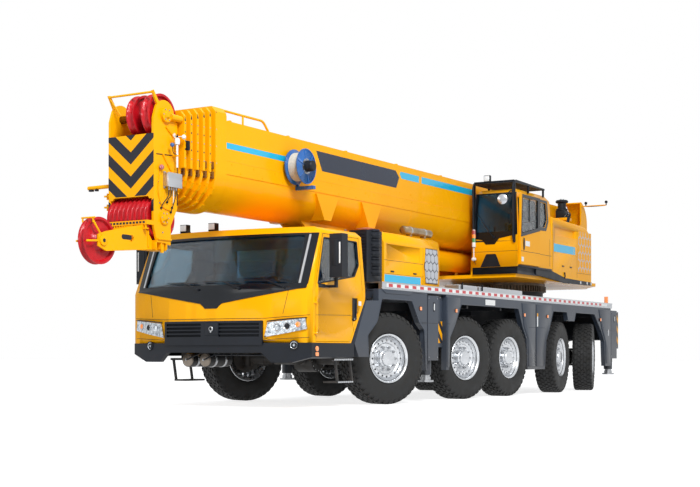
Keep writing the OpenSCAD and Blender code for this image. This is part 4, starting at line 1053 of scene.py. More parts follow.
@dataclass
class Wheels:
    """Ten single wheels: tyre with tread, pressed rim with a ring of holes, nuts and hub cap."""

    shop: Shop
    radius: float = 0.665
    width: float = 0.385
    flange: float = 0.362
    pitches: int = 40
    tread_depth: float = 0.016
    block_length: float = 0.078
    columns: tuple[float, ...] = (-0.118, -0.058, 0.0, 0.058, 0.118)
    hole_count: int = 20
    hole_circle: float = 0.262
    nut_count: int = 10
    nut_circle: float = 0.167

    def build(self) -> None:
        """Models one tyre and one rim about the origin and stands a copy on each roll joint."""
        tyre, rim = self.tyre(), self.rim()
        for number in range(1, 6):
            for side in Side:
                self.stand(tyre, rim, number, side)
        bpy.data.objects.remove(tyre)
        bpy.data.objects.remove(rim)

    def stand(self, tyre: bpy.types.Object, rim: bpy.types.Object, number: int, side: Side) -> None:
        """Stands a wheel on its joint.

        Args:
            tyre: the tyre about the origin, outer face towards +Y.
            rim: the rim about the origin.
            number: axle, from the front.
            side: side of the machine.
        """
        name = f"{number}_{side.word}"
        joint = self.shop.joints["roll_" + name]
        outer = Vector(joint["axis"]) * side.value
        turn = Matrix.Rotation(math.atan2(outer.y, outer.x) - math.pi / 2, 4, "Z")
        spot = Matrix.Translation(Vector(joint["pos_m"]))
        for form, kind in ((tyre, "tyre"), (rim, "rim")):
            nodes = ("wheel_" + name,) if kind == "rim" else ()
            self.shop.mount(f"{kind}_{name}", [self.shop.copy(form, spot @ turn)], "wheel_" + name,
                            "tyre" if kind == "tyre" else "bright", *nodes)

    def tyre(self) -> bpy.types.Object:
        """Models the carcass by a lathe and lays the tread blocks round it."""
        shop = self.shop
        half = self.width / 2
        floor = self.radius - self.tread_depth
        side = [
            (self.flange - 0.044, 0.385 * self.width), (self.flange + 0.002, 0.40 * self.width),
            (self.flange + 0.008, 0.44 * self.width), (self.flange + 0.04, half - 0.008),
            (self.flange + 0.085, half - 0.001), (self.flange + 0.135, half),
            (self.flange + 0.185, half - 0.002), (self.flange + 0.225, half - 0.007),
            (floor - 0.03, half - 0.014), (floor - 0.012, half - 0.026),
            (floor - 0.003, half - 0.052), (floor, half - 0.09)
        ]
        profile = side + [(floor + 0.001, 0.0)] + [(r, -y) for r, y in reversed(side)]
        carcass = shop.lathe(profile, (-shop.front, 0, 0), (0, 1, 0), TyreRubber(), 80)
        blocks = []
        for k, y in enumerate(self.columns):
            lean = 0.012 if k % 2 else -0.012
            blocks.append(self.block(y, 0.049, lean, 0.5 * (k % 2)))
        for sign in (-1, 1):
            blocks.append(self.shoulder(sign))
        tread = shop.ring(shop.join(blocks), self.pitches, (-shop.front, 0, 0), (0, 1, 0))
        tyre = shop.join([carcass, tread])
        chart = tyre.data.uv_layers.new(name="turning")
        for loop in tyre.data.loops:
            place = tyre.data.vertices[loop.vertex_index].co
            chart.data[loop.index].uv = (math.hypot(place.x, place.z), place.y)
        return tyre

    def block(self, y: float, wide: float, lean: float, phase: float) -> bpy.types.Object:
        """Models one leaning tread block at the top of the tyre.

        Args:
            y: its middle across the tyre.
            wide: its width.
            lean: how far its outer side runs ahead of its inner one.
            phase: share of a pitch that it is set round by.

        Returns:
            The block.
        """
        shop = self.shop
        low, high = self.radius - self.tread_depth - 0.004, self.radius - 0.0014
        length = self.block_length / 2
        piece = shop.plate(
            [
                (-length - lean, y - wide / 2), (length - lean, y - wide / 2), (length, y),
                (length + lean, y + wide / 2), (-length + lean, y + wide / 2), (-length, y)
            ],
            Normal.Z, (low, high), TyreRubber(), 0.0022
        )
        piece.data.transform(Matrix.Translation((-shop.front, 0, 0)))
        piece.data.transform(Matrix.Rotation(FULL_TURN / self.pitches * phase, 4, "Y"))
        return piece

    def shoulder(self, sign: int) -> bpy.types.Object:
        """Models one shoulder lug, which runs down the tyre's side.

        Args:
            sign: side of the tyre.

        Returns:
            The lug.
        """
        shop = self.shop
        half = self.width / 2
        top = self.radius - 0.003
        outline = [
            (half - 0.047, top - 0.02), (half - 0.047, top), (half - 0.03, top - 0.002),
            (half - 0.012, top - 0.02), (half - 0.003, top - 0.052), (half - 0.016, top - 0.056)
        ]
        piece = shop.plate(
            [(sign * y, z) for y, z in outline], Normal.X, (-0.027, 0.027), TyreRubber(), 0.0022
        )
        piece.data.transform(Matrix.Translation((-shop.front, 0, 0)))
        piece.data.transform(Matrix.Rotation(FULL_TURN / self.pitches * 0.25 * sign, 4, "Y"))
        return piece

    def rim(self) -> bpy.types.Object:
        """Models the rim: turned barrel and disc, cut round holes, nuts and cap."""
        shop = self.shop
        origin = (-shop.front, 0.0, 0.0)
        face = 0.112
        shell = shop.lathe(
            [
                (0.352, 0.168), (0.358, 0.174), (0.354, 0.178), (0.344, 0.176), (0.334, 0.166),
                (0.322, 0.148), (0.312, 0.128), (0.304, 0.104), (0.296, 0.098), (0.286, face),
                (0.268, face + 0.008), (0.246, face + 0.01), (0.232, face + 0.004),
                (0.218, face - 0.014), (0.204, face - 0.018), (0.13, face - 0.018),
                (0.1, face - 0.018), (0.1, face - 0.04), (0.21, face - 0.038), (0.24, face - 0.012),
                (0.27, face - 0.012), (0.284, 0.08), (0.29, 0.03), (0.29, -0.14), (0.318, -0.166),
                (0.352, -0.176), (0.358, -0.172), (0.35, -0.164), (0.322, -0.15), (0.315, -0.11),
                (0.315, 0.12), (0.33, 0.15)
            ],
            origin, (0, 1, 0), WHEEL_SILVER, 80
        )
        drill = shop.rod(
            (-shop.front + self.hole_circle, 0.04, 0), (-shop.front + self.hole_circle, 0.2, 0),
            0.0155, WHEEL_SILVER, 14
        )
        shop.cut(shell, shop.ring(drill, self.hole_count, origin, (0, 1, 0)))
        shop.smooth(shell)
        parts = [shell]
        nut = shop.join(
            [
                shop.rod(
                    (-shop.front + self.nut_circle, 0.09, 0),
                    (-shop.front + self.nut_circle, 0.122, 0), 0.021, ZINC_PLATE, 6, 0.002
                ),
                shop.rod(
                    (-shop.front + self.nut_circle, 0.12, 0),
                    (-shop.front + self.nut_circle, 0.146, 0), 0.011, ZINC_PLATE, 10, 0.002
                )
            ]
        )
        parts.append(shop.ring(nut, self.nut_count, origin, (0, 1, 0)))
        parts.append(
            shop.lathe(
                [
                    (0.0, 0.02), (0.132, 0.02), (0.136, 0.09), (0.136, 0.128), (0.13, 0.136),
                    (0.118, 0.14), (0.112, 0.164), (0.104, 0.172), (0.03, 0.176), (0.0, 0.176)
                ],
                origin, (0, 1, 0), WHEEL_SILVER, 48
            )
        )
        stud = shop.rod(
            (-shop.front + 0.122, 0.13, 0), (-shop.front + 0.122, 0.144, 0), 0.007, ZINC_PLATE, 6
        )
        parts.append(shop.ring(stud, 12, origin, (0, 1, 0)))
        drum = shop.lathe(
            [(0.0, -0.075), (0.2, -0.075), (0.214, -0.06), (0.214, 0.06), (0.2, 0.09), (0.0, 0.09)],
            origin, (0, 1, 0), AXLE_CASTING, 40
        )
        parts.append(drum)
        return shop.join(parts)


@dataclass
class Dressing:
    """Finishes of the construction pieces that keep their own shape."""

    shop: Shop

    def build(self) -> None:
        """Gives each construction piece its finish."""
        table = {
            CRANE_ENAMEL: [
                "turntable_frame", "lift_barrel", "boom_base"
            ] + [f"boom_section_{k}" for k in range(1, 7)],
            CHASSIS_ENAMEL: ["fenders"] + [
                f"outrigger_beam_{k}"
                for k in ("front_left", "front_right", "rear_left", "rear_right")
            ],
            FRAME_BLACK: ["chassis_frame", "cab_steps"],
            AXLE_CASTING: ["axle_beams"] + [
                f"knuckle_{k}_{side.word}" for k in range(1, 6) for side in Side
            ],
            ALUMINIUM_AND_PAINTED_REFLECTION: ["deck"], GREASED_STEEL: ["slew_ring"], GROUND_STEEL: ["lift_rod"],
            ZINC_PLATE: [
                f"jack_leg_{k}" for k in ("front_left", "front_right", "rear_left", "rear_right")
            ],
            SHEAVE_RED: ["hoist_winch"], MOULDED_BLACK: ["front_bumper"], CAB_GLASS: ["cab_glass"],
            OPERATOR_GLASS: ["operator_glass"],
        }
        for finish, nodes in table.items():
            for node in nodes:
                self.shop.paint_node(node, finish)



@dataclass
class DriverCab:
    """The low, full-width driver's cab: surround, lamps, wipers, mirrors, steps and seats."""

    shop: Shop
    front: float = 2.44
    nose_arc: float = 5.7
    belt: float = 1.61
    rake: float = 22.0
    half: float = 1.5
    screen_half: float = 1.29
    screen: Pair = (1.655, 2.325)
    wipers: tuple[float, ...] = (-0.21, 0.46, 1.13)
    back: float = 0.88
    low: float = 0.88
    roof: float = 2.43
    wall: float = 0.045
    seat_x: float = 1.44
    seat_z: float = 1.225

    def build(self) -> None:
        """Models and dresses the cab's pieces."""
        self.skins()
        self.surround()
        self.nose_details()
        self.headlamps()
        for base in self.wipers:
            self.wiper(base)
        self.seats()
        self.side_details()

    def nose(self, y: float, z: float) -> float:
        """X of the cab's front skin at a place, from the front axle."""
        bulge = self.nose_arc - math.sqrt(self.nose_arc**2 - y * y)
        if z <= self.belt:
            return self.front - bulge
        slope = math.radians(self.rake)
        return self.front - bulge / math.cos(slope) - (z - self.belt) * math.tan(slope)

    def sheet(
        self, y: Pair, low: Callable[[float], float], high: Callable[[float], float], proud: float,
        thick: float, finish: Finish, columns: int = 24, rows: int = 4
    ) -> bpy.types.Object:
        """Lays a thin sheet on the cab's curved front, from a grid drawn out to two edge lines.

        Args:
            y: its ends.
            low: height of its lower edge at a given Y.
            high: height of its upper edge.
            proud: how far its outer face stands off the skin.
            thick: its thickness.
            finish: its finish.
            columns: steps across.
            rows: steps upwards.

        Returns:
            The sheet.
        """
        shop = self.shop
        shop.clear()
        bpy.ops.mesh.primitive_grid_add(x_subdivisions=columns, y_subdivisions=rows, size=1)
        piece = bpy.context.object
        for corner in piece.data.vertices:
            across = y[0] + (corner.co.x + 0.5) * (y[1] - y[0])
            up = low(across) + (corner.co.y + 0.5) * (high(across) - low(across))
            corner.co = shop.at(self.nose(across, up) + proud, across, up)
        shop.pick(piece)
        wall = piece.modifiers.new("wall", "SOLIDIFY")
        wall.thickness = thick
        wall.offset = -1.0
        bpy.ops.object.modifier_apply(modifier=wall.name)
        return shop.dress(shop.smooth(shop.outward(piece)), finish)

    def skins(self) -> None:
        """Dresses shell, doors and inside."""
        shop = self.shop
        lined = (lambda m: self.depth(m) > self.wall - 0.01, CAB_LINING)
        jamb = (lambda m: m.z > self.belt and self.depth(m) > 0.009, MOULDED_BLACK)
        shop.repaint("cab_shell", [lined, jamb], CRANE_ENAMEL, "yellow")
        for side in Side:
            s = side.value
            shop.repaint(
                "cab_door_" + side.word,
                [
                    (lambda m, s=s: s * m.y > self.half + 0.002 and m.z > 1.5, MOULDED_BLACK),
                    (lambda m, s=s: self.glass_side(s * m.y, m.z), SIDE_GLASS),
                    (
                        lambda m, s=s: 0.013 < self.half - s * m.y < 0.017 and m.z < 1.51,
                        MOULDED_BLACK
                    ),
                    lined, jamb
                ],
                CRANE_ENAMEL, "yellow"
            )
        shop.repaint(
            "cab_interior",
            [
                (
                    lambda m: abs(
                        m.x - self.seat_x
                    ) < 0.32 and m.z > self.seat_z - 0.01 and abs(abs(m.y) - 0.76) < 0.25,
                    SEAT_CLOTH
                ),
                (lambda m: m.x > 1.9 and m.z > 1.0, TRIM_BOARD)
            ],
            MOULDED_BLACK, "black"
        )

    def depth(self, m: Vector) -> float:
        """How far a place lies under the nearest skin of the cab, measured square to it."""
        out = abs(m.y)
        lean = 0.07 / (self.roof - 0.07 - self.belt)
        return min(self.nose(m.y, m.z) - m.x, m.x - self.back, self.roof - m.z, m.z - self.low,
                   self.half - out - max(0.0, m.z - self.belt) * lean,
                   0.614 * (self.half - 0.07 - out) + 0.789 * (self.roof - 0.07 - m.z),
                   0.849 * (m.x - self.back - 0.38) + 0.529 * (m.z - self.low))

    def glass_side(self, out: float, z: float) -> bool:
        """Tells whether a door's face belongs to its pane, at half the door's thickness."""
        lean = max(0.0, z - self.belt) * 0.07 / 0.75
        return z > 1.66 and 0.016 < self.half - lean - out < 0.029

    def surround(self) -> None:
        """Models the gloss black band round the windscreen, its rubber, and bright aluminium strips
        beside the pillars that paint a reflection on the gloss black.
        """
        shop = self.shop

        def valley(y: float) -> float:
            """Height of the band's lower edge."""
            side = abs(y)
            if side < 0.10:
                return 1.345
            if side < 0.17:
                return 1.345 + (side - 0.10) / 0.07 * 0.065
            return 1.41 + (side - 0.17) / 1.25 * 0.195

        foot, head = self.screen
        parts = [
            self.sheet(
                (-1.42, 1.42), valley, lambda y: foot + 0.004, 0.006, 0.008, GLOSS_BLACK, 71, 5
            )
        ]
        for sign in (-1, 1):
            edge = sorted_pair(sign * (self.screen_half - 0.01), sign * 1.43)
            parts.append(
                self.sheet(
                    edge, lambda y: foot, lambda y: head + 0.02, 0.006, 0.008, GLOSS_BLACK, 6, 8
                )
            )
            parts.append(
                self.sheet(
                    sorted_pair(sign * (self.screen_half - 0.052), sign * self.screen_half),
                    lambda y: foot + (self.screen_half - abs(y)) / 0.052 * (head - foot),
                    lambda y: head + 0.02, 0.006, 0.008, GLOSS_BLACK, 3, 6
                )
            )
            # Bright aluminium strip beside the glass: painted reflection, standing for the light
            # mirrored on the gloss black pillar
            rail = sorted_pair(sign * (self.screen_half + 0.012), sign * (self.screen_half + 0.04))
            parts.append(
                self.sheet(
                    rail, lambda y: foot + 0.01, lambda y: head, 0.011, 0.006, ALUMINIUM_AND_PAINTED_REFLECTION, 3, 8
                )
            )
        parts.append(
            self.sheet(
                (-1.29, 1.29), lambda y: head - 0.012, lambda y: head + 0.022, 0.006, 0.01,
                GLOSS_BLACK, 40, 2
            )
        )
        inset = [
            (-1.285, foot + 0.002), (1.285, foot + 0.002), (1.285, head - 0.008),
            (-1.285, head - 0.008)
        ]
        for (y0, z0), (y1, z1) in zip(inset, inset[1:] + inset[:1]):
            steps = 14 if z0 == z1 else 2
            line = [
                (
                    self.nose(y0 + (y1 - y0) * k / steps, z0 + (z1 - z0) * k / steps) - 0.012,
                    y0 + (y1 - y0) * k / steps, z0 + (z1 - z0) * k / steps
                )
                for k in range(steps + 1)
            ]
            parts.append(shop.pipe(line, 0.008, MOULDED_BLACK, sides=1))
        shop.mount("windscreen_surround", parts, "carrier", "black")

    def seam(self, points: Sequence[Pair], proud: float = 0.0015) -> bpy.types.Object:
        """Runs a dark panel gap over the nose along points given as Y and Z."""
        line = []
        for (y0, z0), (y1, z1) in zip(points, points[1:]):
            steps = max(1, round(math.hypot(y1 - y0, z1 - z0) / 0.12))
            line += [(y0 + (y1 - y0) * k / steps, z0 + (z1 - z0) * k / steps) for k in range(steps)]
        line.append(points[-1])
        return self.shop.pipe(
            [(self.nose(y, z) - 0.002 + proud, y, z) for y, z in line],
            0.0035, MOULDED_BLACK, sides=1
        )

    def nose_details(self) -> None:
        """Models panel gaps, the centre hook, fog lamps and grille mesh."""
        shop = self.shop
        parts = [
            self.seam([(-1.1, 1.245), (-1.14, 1.56)]), self.seam([(1.1, 1.26), (1.18, 1.575)]),
            self.seam([(-1.47, 1.232), (-0.85, 1.205), (0.85, 1.205), (1.47, 1.245)]),
            self.seam([(1.46, 0.95), (0.9, 0.925), (0.84, 0.945)]),
            self.seam([(-1.46, 0.95), (-0.9, 0.925), (-0.84, 0.945)])
        ]
        shop.mount("nose_panel_gaps", parts, "carrier", "black")
        hook_x = self.front + 0.034
        hook = [
            shop.box(
                (hook_x - 0.02, hook_x + 0.012), (-0.075, 0.155), (0.985, 1.16), MOULDED_BLACK,
                0.012
            ),
            shop.lathe(
                [(0.022, 0.0), (0.034, 0.0), (0.036, 0.012), (0.03, 0.02), (0.022, 0.02)],
                (hook_x + 0.01, 0.04, 1.07), (1, 0, 0), ZINC_PLATE, 24
            ),
            shop.rod(
                (hook_x, 0.04, 1.03), (hook_x + 0.03, 0.04, 1.03), 0.012, ZINC_PLATE, 12, 0.002
            )
        ]
        shop.mount("nose_hook", hook, "carrier", "steel")
        bars = [
            self.sheet(
                (-0.8, 0.8), lambda y: 0.93, lambda y: 1.16, 0.006, 0.004, FRAME_BLACK, 30, 1
            )
        ]
        for k in range(90):
            y = math.copysign(0.16 + 0.0138 * (k // 2), k % 2 - 0.5)
            x = self.nose(y, 1.0) + 0.006
            bars.append(
                shop.box((x, x + 0.006), (y - 0.0015, y + 0.0015), (0.95, 1.15), MOULDED_BLACK)
            )
        shop.mount("grille_wires", bars, "carrier", "black")
        fog = []
        for y, z in ((-1.141, 0.843), (1.261, 0.849)):
            x = self.nose(y, z) + 0.012
            lean = (1.0, -0.22 * (-1 if y < 0 else 1) * -1, 0.0)
            fog.append(
                shop.lathe(
                    [(0.05, -0.02), (0.062, -0.02), (0.064, 0.012), (0.058, 0.018), (0.05, 0.01)],
                    (x, y, z), lean, MOULDED_BLACK, 32
                )
            )
            fog.append(
                shop.lathe(
                    [
                        (0.0, -0.02), (0.051, -0.02), (0.05, 0.006), (0.03, -0.006),
                        (0.017, -0.008), (0.016, 0.004), (0.0, 0.008)
                    ],
                    (x, y, z), lean, REFLECTOR, 32
                )
            )
        shop.mount("fog_lamps", fog, "carrier", "bright")

    def headlamps(self) -> None:
        """Dresses the lamp blocks and sets bowls, projector and indicator in their faces."""
        shop = self.shop
        shop.repaint(
            "lamps",
            [
                (lambda m: m.x < -9.0 and m.z > 1.6, AMBER_LENS),
                (lambda m: m.x < -9.0, RED_LENS), (lambda m: m.z > 2.4, MOULDED_BLACK)
            ],
            REFLECTOR, "bright"
        )
        parts = []
        for sign in (-1, 1):
            for out, z, radius, lens in (
                (1.03, 1.085, 0.052, REFLECTOR), (1.17, 1.1, 0.046, GLOSS_BLACK),
                (1.32, 1.12, 0.042, AMBER_LENS)
            ):
                y = sign * out
                x = self.nose(y, z) + 0.022
                lean = (1.0, sign * out / self.nose_arc, 0.0)
                parts.append(
                    shop.lathe(
                        [
                            (radius - 0.006, 0.0), (radius, 0.0), (radius + 0.004, 0.008),
                            (radius, 0.012), (radius - 0.01, 0.004)
                        ],
                        (x, y, z), lean, GROUND_STEEL, 32
                    )
                )
                parts.append(
                    shop.lathe(
                        [(0.0, 0.0), (radius - 0.004, 0.0), (radius * 0.7, 0.009), (0.0, 0.012)],
                        (x, y, z), lean, lens, 28
                    )
                )
            brow = [(sign * y, z) for y, z in ((0.885, 1.165), (1.15, 1.19), (1.44, 1.208))]
            parts.append(
                shop.pipe(
                    [(self.nose(y, z) + 0.02, y, z) for y, z in brow], 0.008, GLOSS_BLACK, sides=2
                )
            )
        shop.mount("headlamp_bowls", parts, "carrier", "bright")
        roof = []
        for y in (-0.85, -0.35):
            roof.append(
                shop.box((1.962, 1.972), (y - 0.052, y + 0.052), (2.468, 2.552), CLEAR_LENS, 0.006)
            )
            roof.append(
                shop.box(
                    (1.874, 1.966), (y - 0.064, y + 0.064), (2.456, 2.462), MOULDED_BLACK, 0.002
                )
            )
        shop.mount("roof_lamp_lenses", roof, "carrier", "bright")

    def wiper(self, base: float) -> None:
        """Models one wiper: boss, arm and blade lying on the foot of the windscreen.

        Args:
            base: Y of its spindle.
        """
        shop = self.shop

        def on_glass(y: float, z: float, proud: float) -> Triple:
            """A place that stands off the windscreen."""
            return (self.nose(y, z) + proud, y, z)

        parts = [
            shop.rod(
                on_glass(base, 1.6, 0.0), on_glass(base, 1.612, 0.035), 0.018, MOULDED_BLACK, 16,
                0.004
            ),
            shop.pipe(
                [
                    on_glass(base, 1.607, 0.026), on_glass(base - 0.12, 1.655, 0.034),
                    on_glass(base - 0.27, 1.705, 0.022)
                ],
                0.0085, MOULDED_BLACK, 0.03, 2
            )
        ]
        blade = [on_glass(base - 0.02 - 0.1 * k, 1.692 + 0.004 * k, 0.012) for k in range(7)]
        parts.append(shop.pipe(blade, 0.0065, MOULDED_BLACK, sides=1))
        parts.append(
            shop.pipe([(x - 0.012, y, z) for x, y, z in blade], 0.005, MOULDED_BLACK, sides=1)
        )
        shop.mount(f"wiper_{self.wipers.index(base) + 1}", parts, "carrier", "black")

    def seats(self) -> None:
        """Lays cushions over both seats."""
        x, z = self.seat_x, self.seat_z
        for side in Side:
            y = side.value * 0.76
            for part, along, across, up, fill in (
                ("cushion", (-0.2, 0.26), 0.25, (0.07, 0.17), 0.7),
                ("back", (-0.315, -0.165), 0.245, (0.12, 0.66), 0.75),
                ("headrest", (-0.3, -0.2), 0.14, (0.665, 0.84), 0.8)
            ):
                self.shop.cushion(
                    f"seat_{part}_{side.word}", "carrier", (x + along[0], x + along[1]),
                    (y - across, y + across), (z + up[0], z + up[1]), fill
                )

    def side_details(self) -> None:
        """Models handles, side markers, mirror faces and bright step edges on both sides."""
        shop = self.shop
        for side in Side:
            grip = shop.plate(
                [(1.10, 1.205), (1.215, 1.205), (1.225, 1.47), (1.165, 1.47)],
                Normal.Y, (1.488, 1.5015), MOULDED_BLACK, 0.004
            )
            pull = shop.box((1.125, 1.15), (1.497, 1.512), (1.24, 1.43), MOULDED_BLACK, 0.006)
            lock = shop.rod((1.17, 1.49, 1.21), (1.17, 1.503, 1.21), 0.012, ZINC_PLATE, 16)
            glass = shop.box((1.7645, 1.7655), (1.58, 1.735), (1.78, 2.29), GROUND_STEEL, 0.0)
            strip = shop.box((1.912, 1.918), (1.71, 1.73), (1.93, 2.21), WHITE_FILM, 0.002)
            inset = shop.box((1.91, 1.922), (1.60, 1.70), (1.90, 2.24), MOULDED_BLACK, 0.01)
            crease = shop.pipe(
                [(2.146, 1.4995, 1.245), (1.25, 1.4995, 1.262), (1.18, 1.4995, 1.02)],
                0.003, MOULDED_BLACK, 0.03, 1
            )
            frame = shop.pipe(
                [
                    (2.1, 1.494, 1.66), (1.14, 1.482, 1.80), (1.005, 1.465, 1.96),
                    (1.008, 1.435, 2.285), (1.86, 1.435, 2.285), (2.1, 1.494, 1.66)
                ],
                0.009, MOULDED_BLACK, 0.02, 2
            )
            blank = shop.box((0.985, 1.06), (1.4995, 1.5012), (1.4, 1.46), WHITE_FILM)
            door = [grip, pull, lock, glass, strip, inset, crease, frame, blank]
            fixed = [
                shop.lathe(
                    [(0.0, 0.0), (0.036, 0.0), (0.034, 0.008), (0.02, 0.014), (0.0, 0.015)],
                    (2.125, 1.499, 0.802), (0, 1, 0), AMBER_LENS, 28
                ),
                shop.box((2.09, 2.16), (1.498, 1.509), (0.705, 0.755), AMBER_LENS, 0.006),
                shop.row(
                    shop.box((1.06, 1.1), (1.404, 1.414), (0.644, 0.67), ALUMINIUM_AND_PAINTED_REFLECTION, 0.002),
                    10, (0.05, 0, 0)
                ),
                shop.row(
                    shop.box((1.06, 1.1), (1.404, 1.414), (0.338, 0.358), ALUMINIUM_AND_PAINTED_REFLECTION, 0.002),
                    8, (0.05, 0, 0)
                )
            ]
            if side is Side.RIGHT:
                door = [shop.reflect(part) for part in door]
                fixed = [shop.reflect(part) for part in fixed]
            shop.mount("door_trim_" + side.word, door, "cab_door_" + side.word, "black")
            shop.mount("side_markers_" + side.word, fixed, "carrier", "bright")


@dataclass
class PowerPack:
    """Hoods over the engine: hexagon panel, blank label, intake column and exhaust."""

    shop: Shop
    skin: float = 1.3
    deck: float = 1.765
    top: float = 2.55

    def build(self) -> None:
        """Models and dresses the pieces."""
        shop = self.shop
        shop.repaint(
            "engine_hood",
            [(lambda m: m.z > self.top + 0.006, HEATED_STEEL)],
            CRANE_ENAMEL, "yellow"
        )
        shop.repaint(
            "engine",
            [(lambda m: m.z > 2.0602 and abs(m.y + 0.3) < 0.1, HEATED_STEEL)],
            MOULDED_BLACK, "black"
        )
        for side in Side:
            self.panels(side)
        self.intake()
        self.roof_fittings()

    def panels(self, side: Side) -> None:
        """Models panel gaps, latches, the hexagon panel and the blank cyan label of one hood.

        Args:
            side: side of the machine.
        """
        shop = self.shop
        y = self.skin
        film = (y - 0.001, y + 0.0012)
        gap = (y - 0.002, y + 0.0008)
        parts = [
            shop.box((-1.223, -1.217), gap, (1.79, 2.37), MOULDED_BLACK),
            shop.box((-1.217, -0.012), gap, (2.107, 2.113), MOULDED_BLACK),
            shop.box((-1.217, -0.012), gap, (1.912, 1.917), MOULDED_BLACK),
            shop.box(
                (-1.8, -0.01), (y - 0.02, y + 0.004), (self.deck + 0.001, self.deck + 0.018),
                MOULDED_BLACK, 0.003
            )
        ]
        for x in (-0.25, -0.95):
            parts.append(
                shop.box(
                    (x - 0.05, x + 0.05), (y - 0.001, y + 0.01), (1.94, 1.962), MOULDED_BLACK, 0.004
                )
            )
        label = shop.box((-1.14, -0.02), film, (1.79, 1.9), CYAN_FILM)
        window = [
            (-1.67, 1.832), (-1.29, 1.832), (-1.252, 2.08), (-1.285, 2.352), (-1.66, 2.352),
            (-1.705, 2.08)
        ]
        middle = (
            sum(px for px, _z in window) / len(window), sum(pz for _x, pz in window) / len(window)
        )
        wider = [
            (middle[0] + (px - middle[0]) * 1.05, middle[1] + (pz - middle[1]) * 1.05)
            for px, pz in window
        ]
        edge = shop.plate(wider, Normal.Y, (y + 0.009, y + 0.0155), HAZARD_BLACK_AND_PAINTED_SHADE, 0.003)
        cells = [
            shop.plate(cell, Normal.Y, (y + 0.014, y + 0.0215), HEX_GREY, 0.0025)
            for cell in hexagons(window, (0.13, 0.168), 0.007)
        ]
        pieces = {
            "hood_gaps": (parts, "black"), "hood_label": ([label], "blue"),
            "hood_hexagons": ([edge, *cells], "bright")
        }
        for name, (made, slot) in pieces.items():
            if side is Side.RIGHT:
                made = [shop.reflect(part) for part in made]
            shop.mount(f"{name}_{side.word}", made, shop.body_of("engine_hood"), slot)

    def intake(self) -> None:
        """Models rings, clamps and the slotted cowl of the air intake beside the cab."""
        shop = self.shop
        parts = []
        for k in range(5):
            z = self.deck + 0.09 + 0.135 * k
            parts.append(
                shop.lathe(
                    [(0.098, 0.0), (0.106, 0.01), (0.106, 0.025), (0.098, 0.035)],
                    (0.27, 1.28, z + 0.028), (0, 0, 1), MOULDED_BLACK, 28
                )
            )
            parts.append(
                shop.lathe(
                    [(0.08, 0.0), (0.094, 0.008), (0.094, 0.03), (0.08, 0.038)],
                    (0.27, 1.28, z + 0.093), (0, 0, 1), MOULDED_BLACK, 28
                )
            )
        slat = shop.box((0.1, 0.46), (1.03, 1.28), (2.509, 2.515), MOULDED_BLACK, 0.002)
        parts.append(slat)
        rib = shop.box((0.498, 0.508), (1.04, 1.27), (1.86, 1.88), MOULDED_BLACK, 0.003)
        parts.append(shop.row(rib, 14, (0, 0, 0.045)))
        shop.mount("intake_rings", parts, shop.body_of("engine"), "black")

    def roof_fittings(self) -> None:
        """Models lifting eyes and the hand rails on the hoods' inner edges."""
        shop = self.shop
        parts = []
        for y in (-1.12, -0.52, 0.52):
            for x in (-0.2, -1.7):
                eye = shop.lathe(
                    [(0.018, -0.006), (0.03, -0.006), (0.03, 0.006), (0.018, 0.006)],
                    (x, y, self.top + 0.028), (0, 1, 0), ZINC_PLATE, 20
                )
                parts += [
                    eye,
                    shop.rod(
                        (x, y, self.top - 0.002), (x, y, self.top + 0.006), 0.022, ZINC_PLATE, 6
                    )
                ]
        for x in (-1.64, -1.18):
            parts.append(
                shop.lathe(
                    [(0.0625, -0.02), (0.067, -0.018), (0.067, 0.018), (0.0625, 0.02)],
                    (x, 1.08, self.top + 0.087), (1, 0, 0), ZINC_PLATE, 32
                )
            )
        shop.mount("hood_fittings", parts, shop.body_of("engine_hood"), "steel")


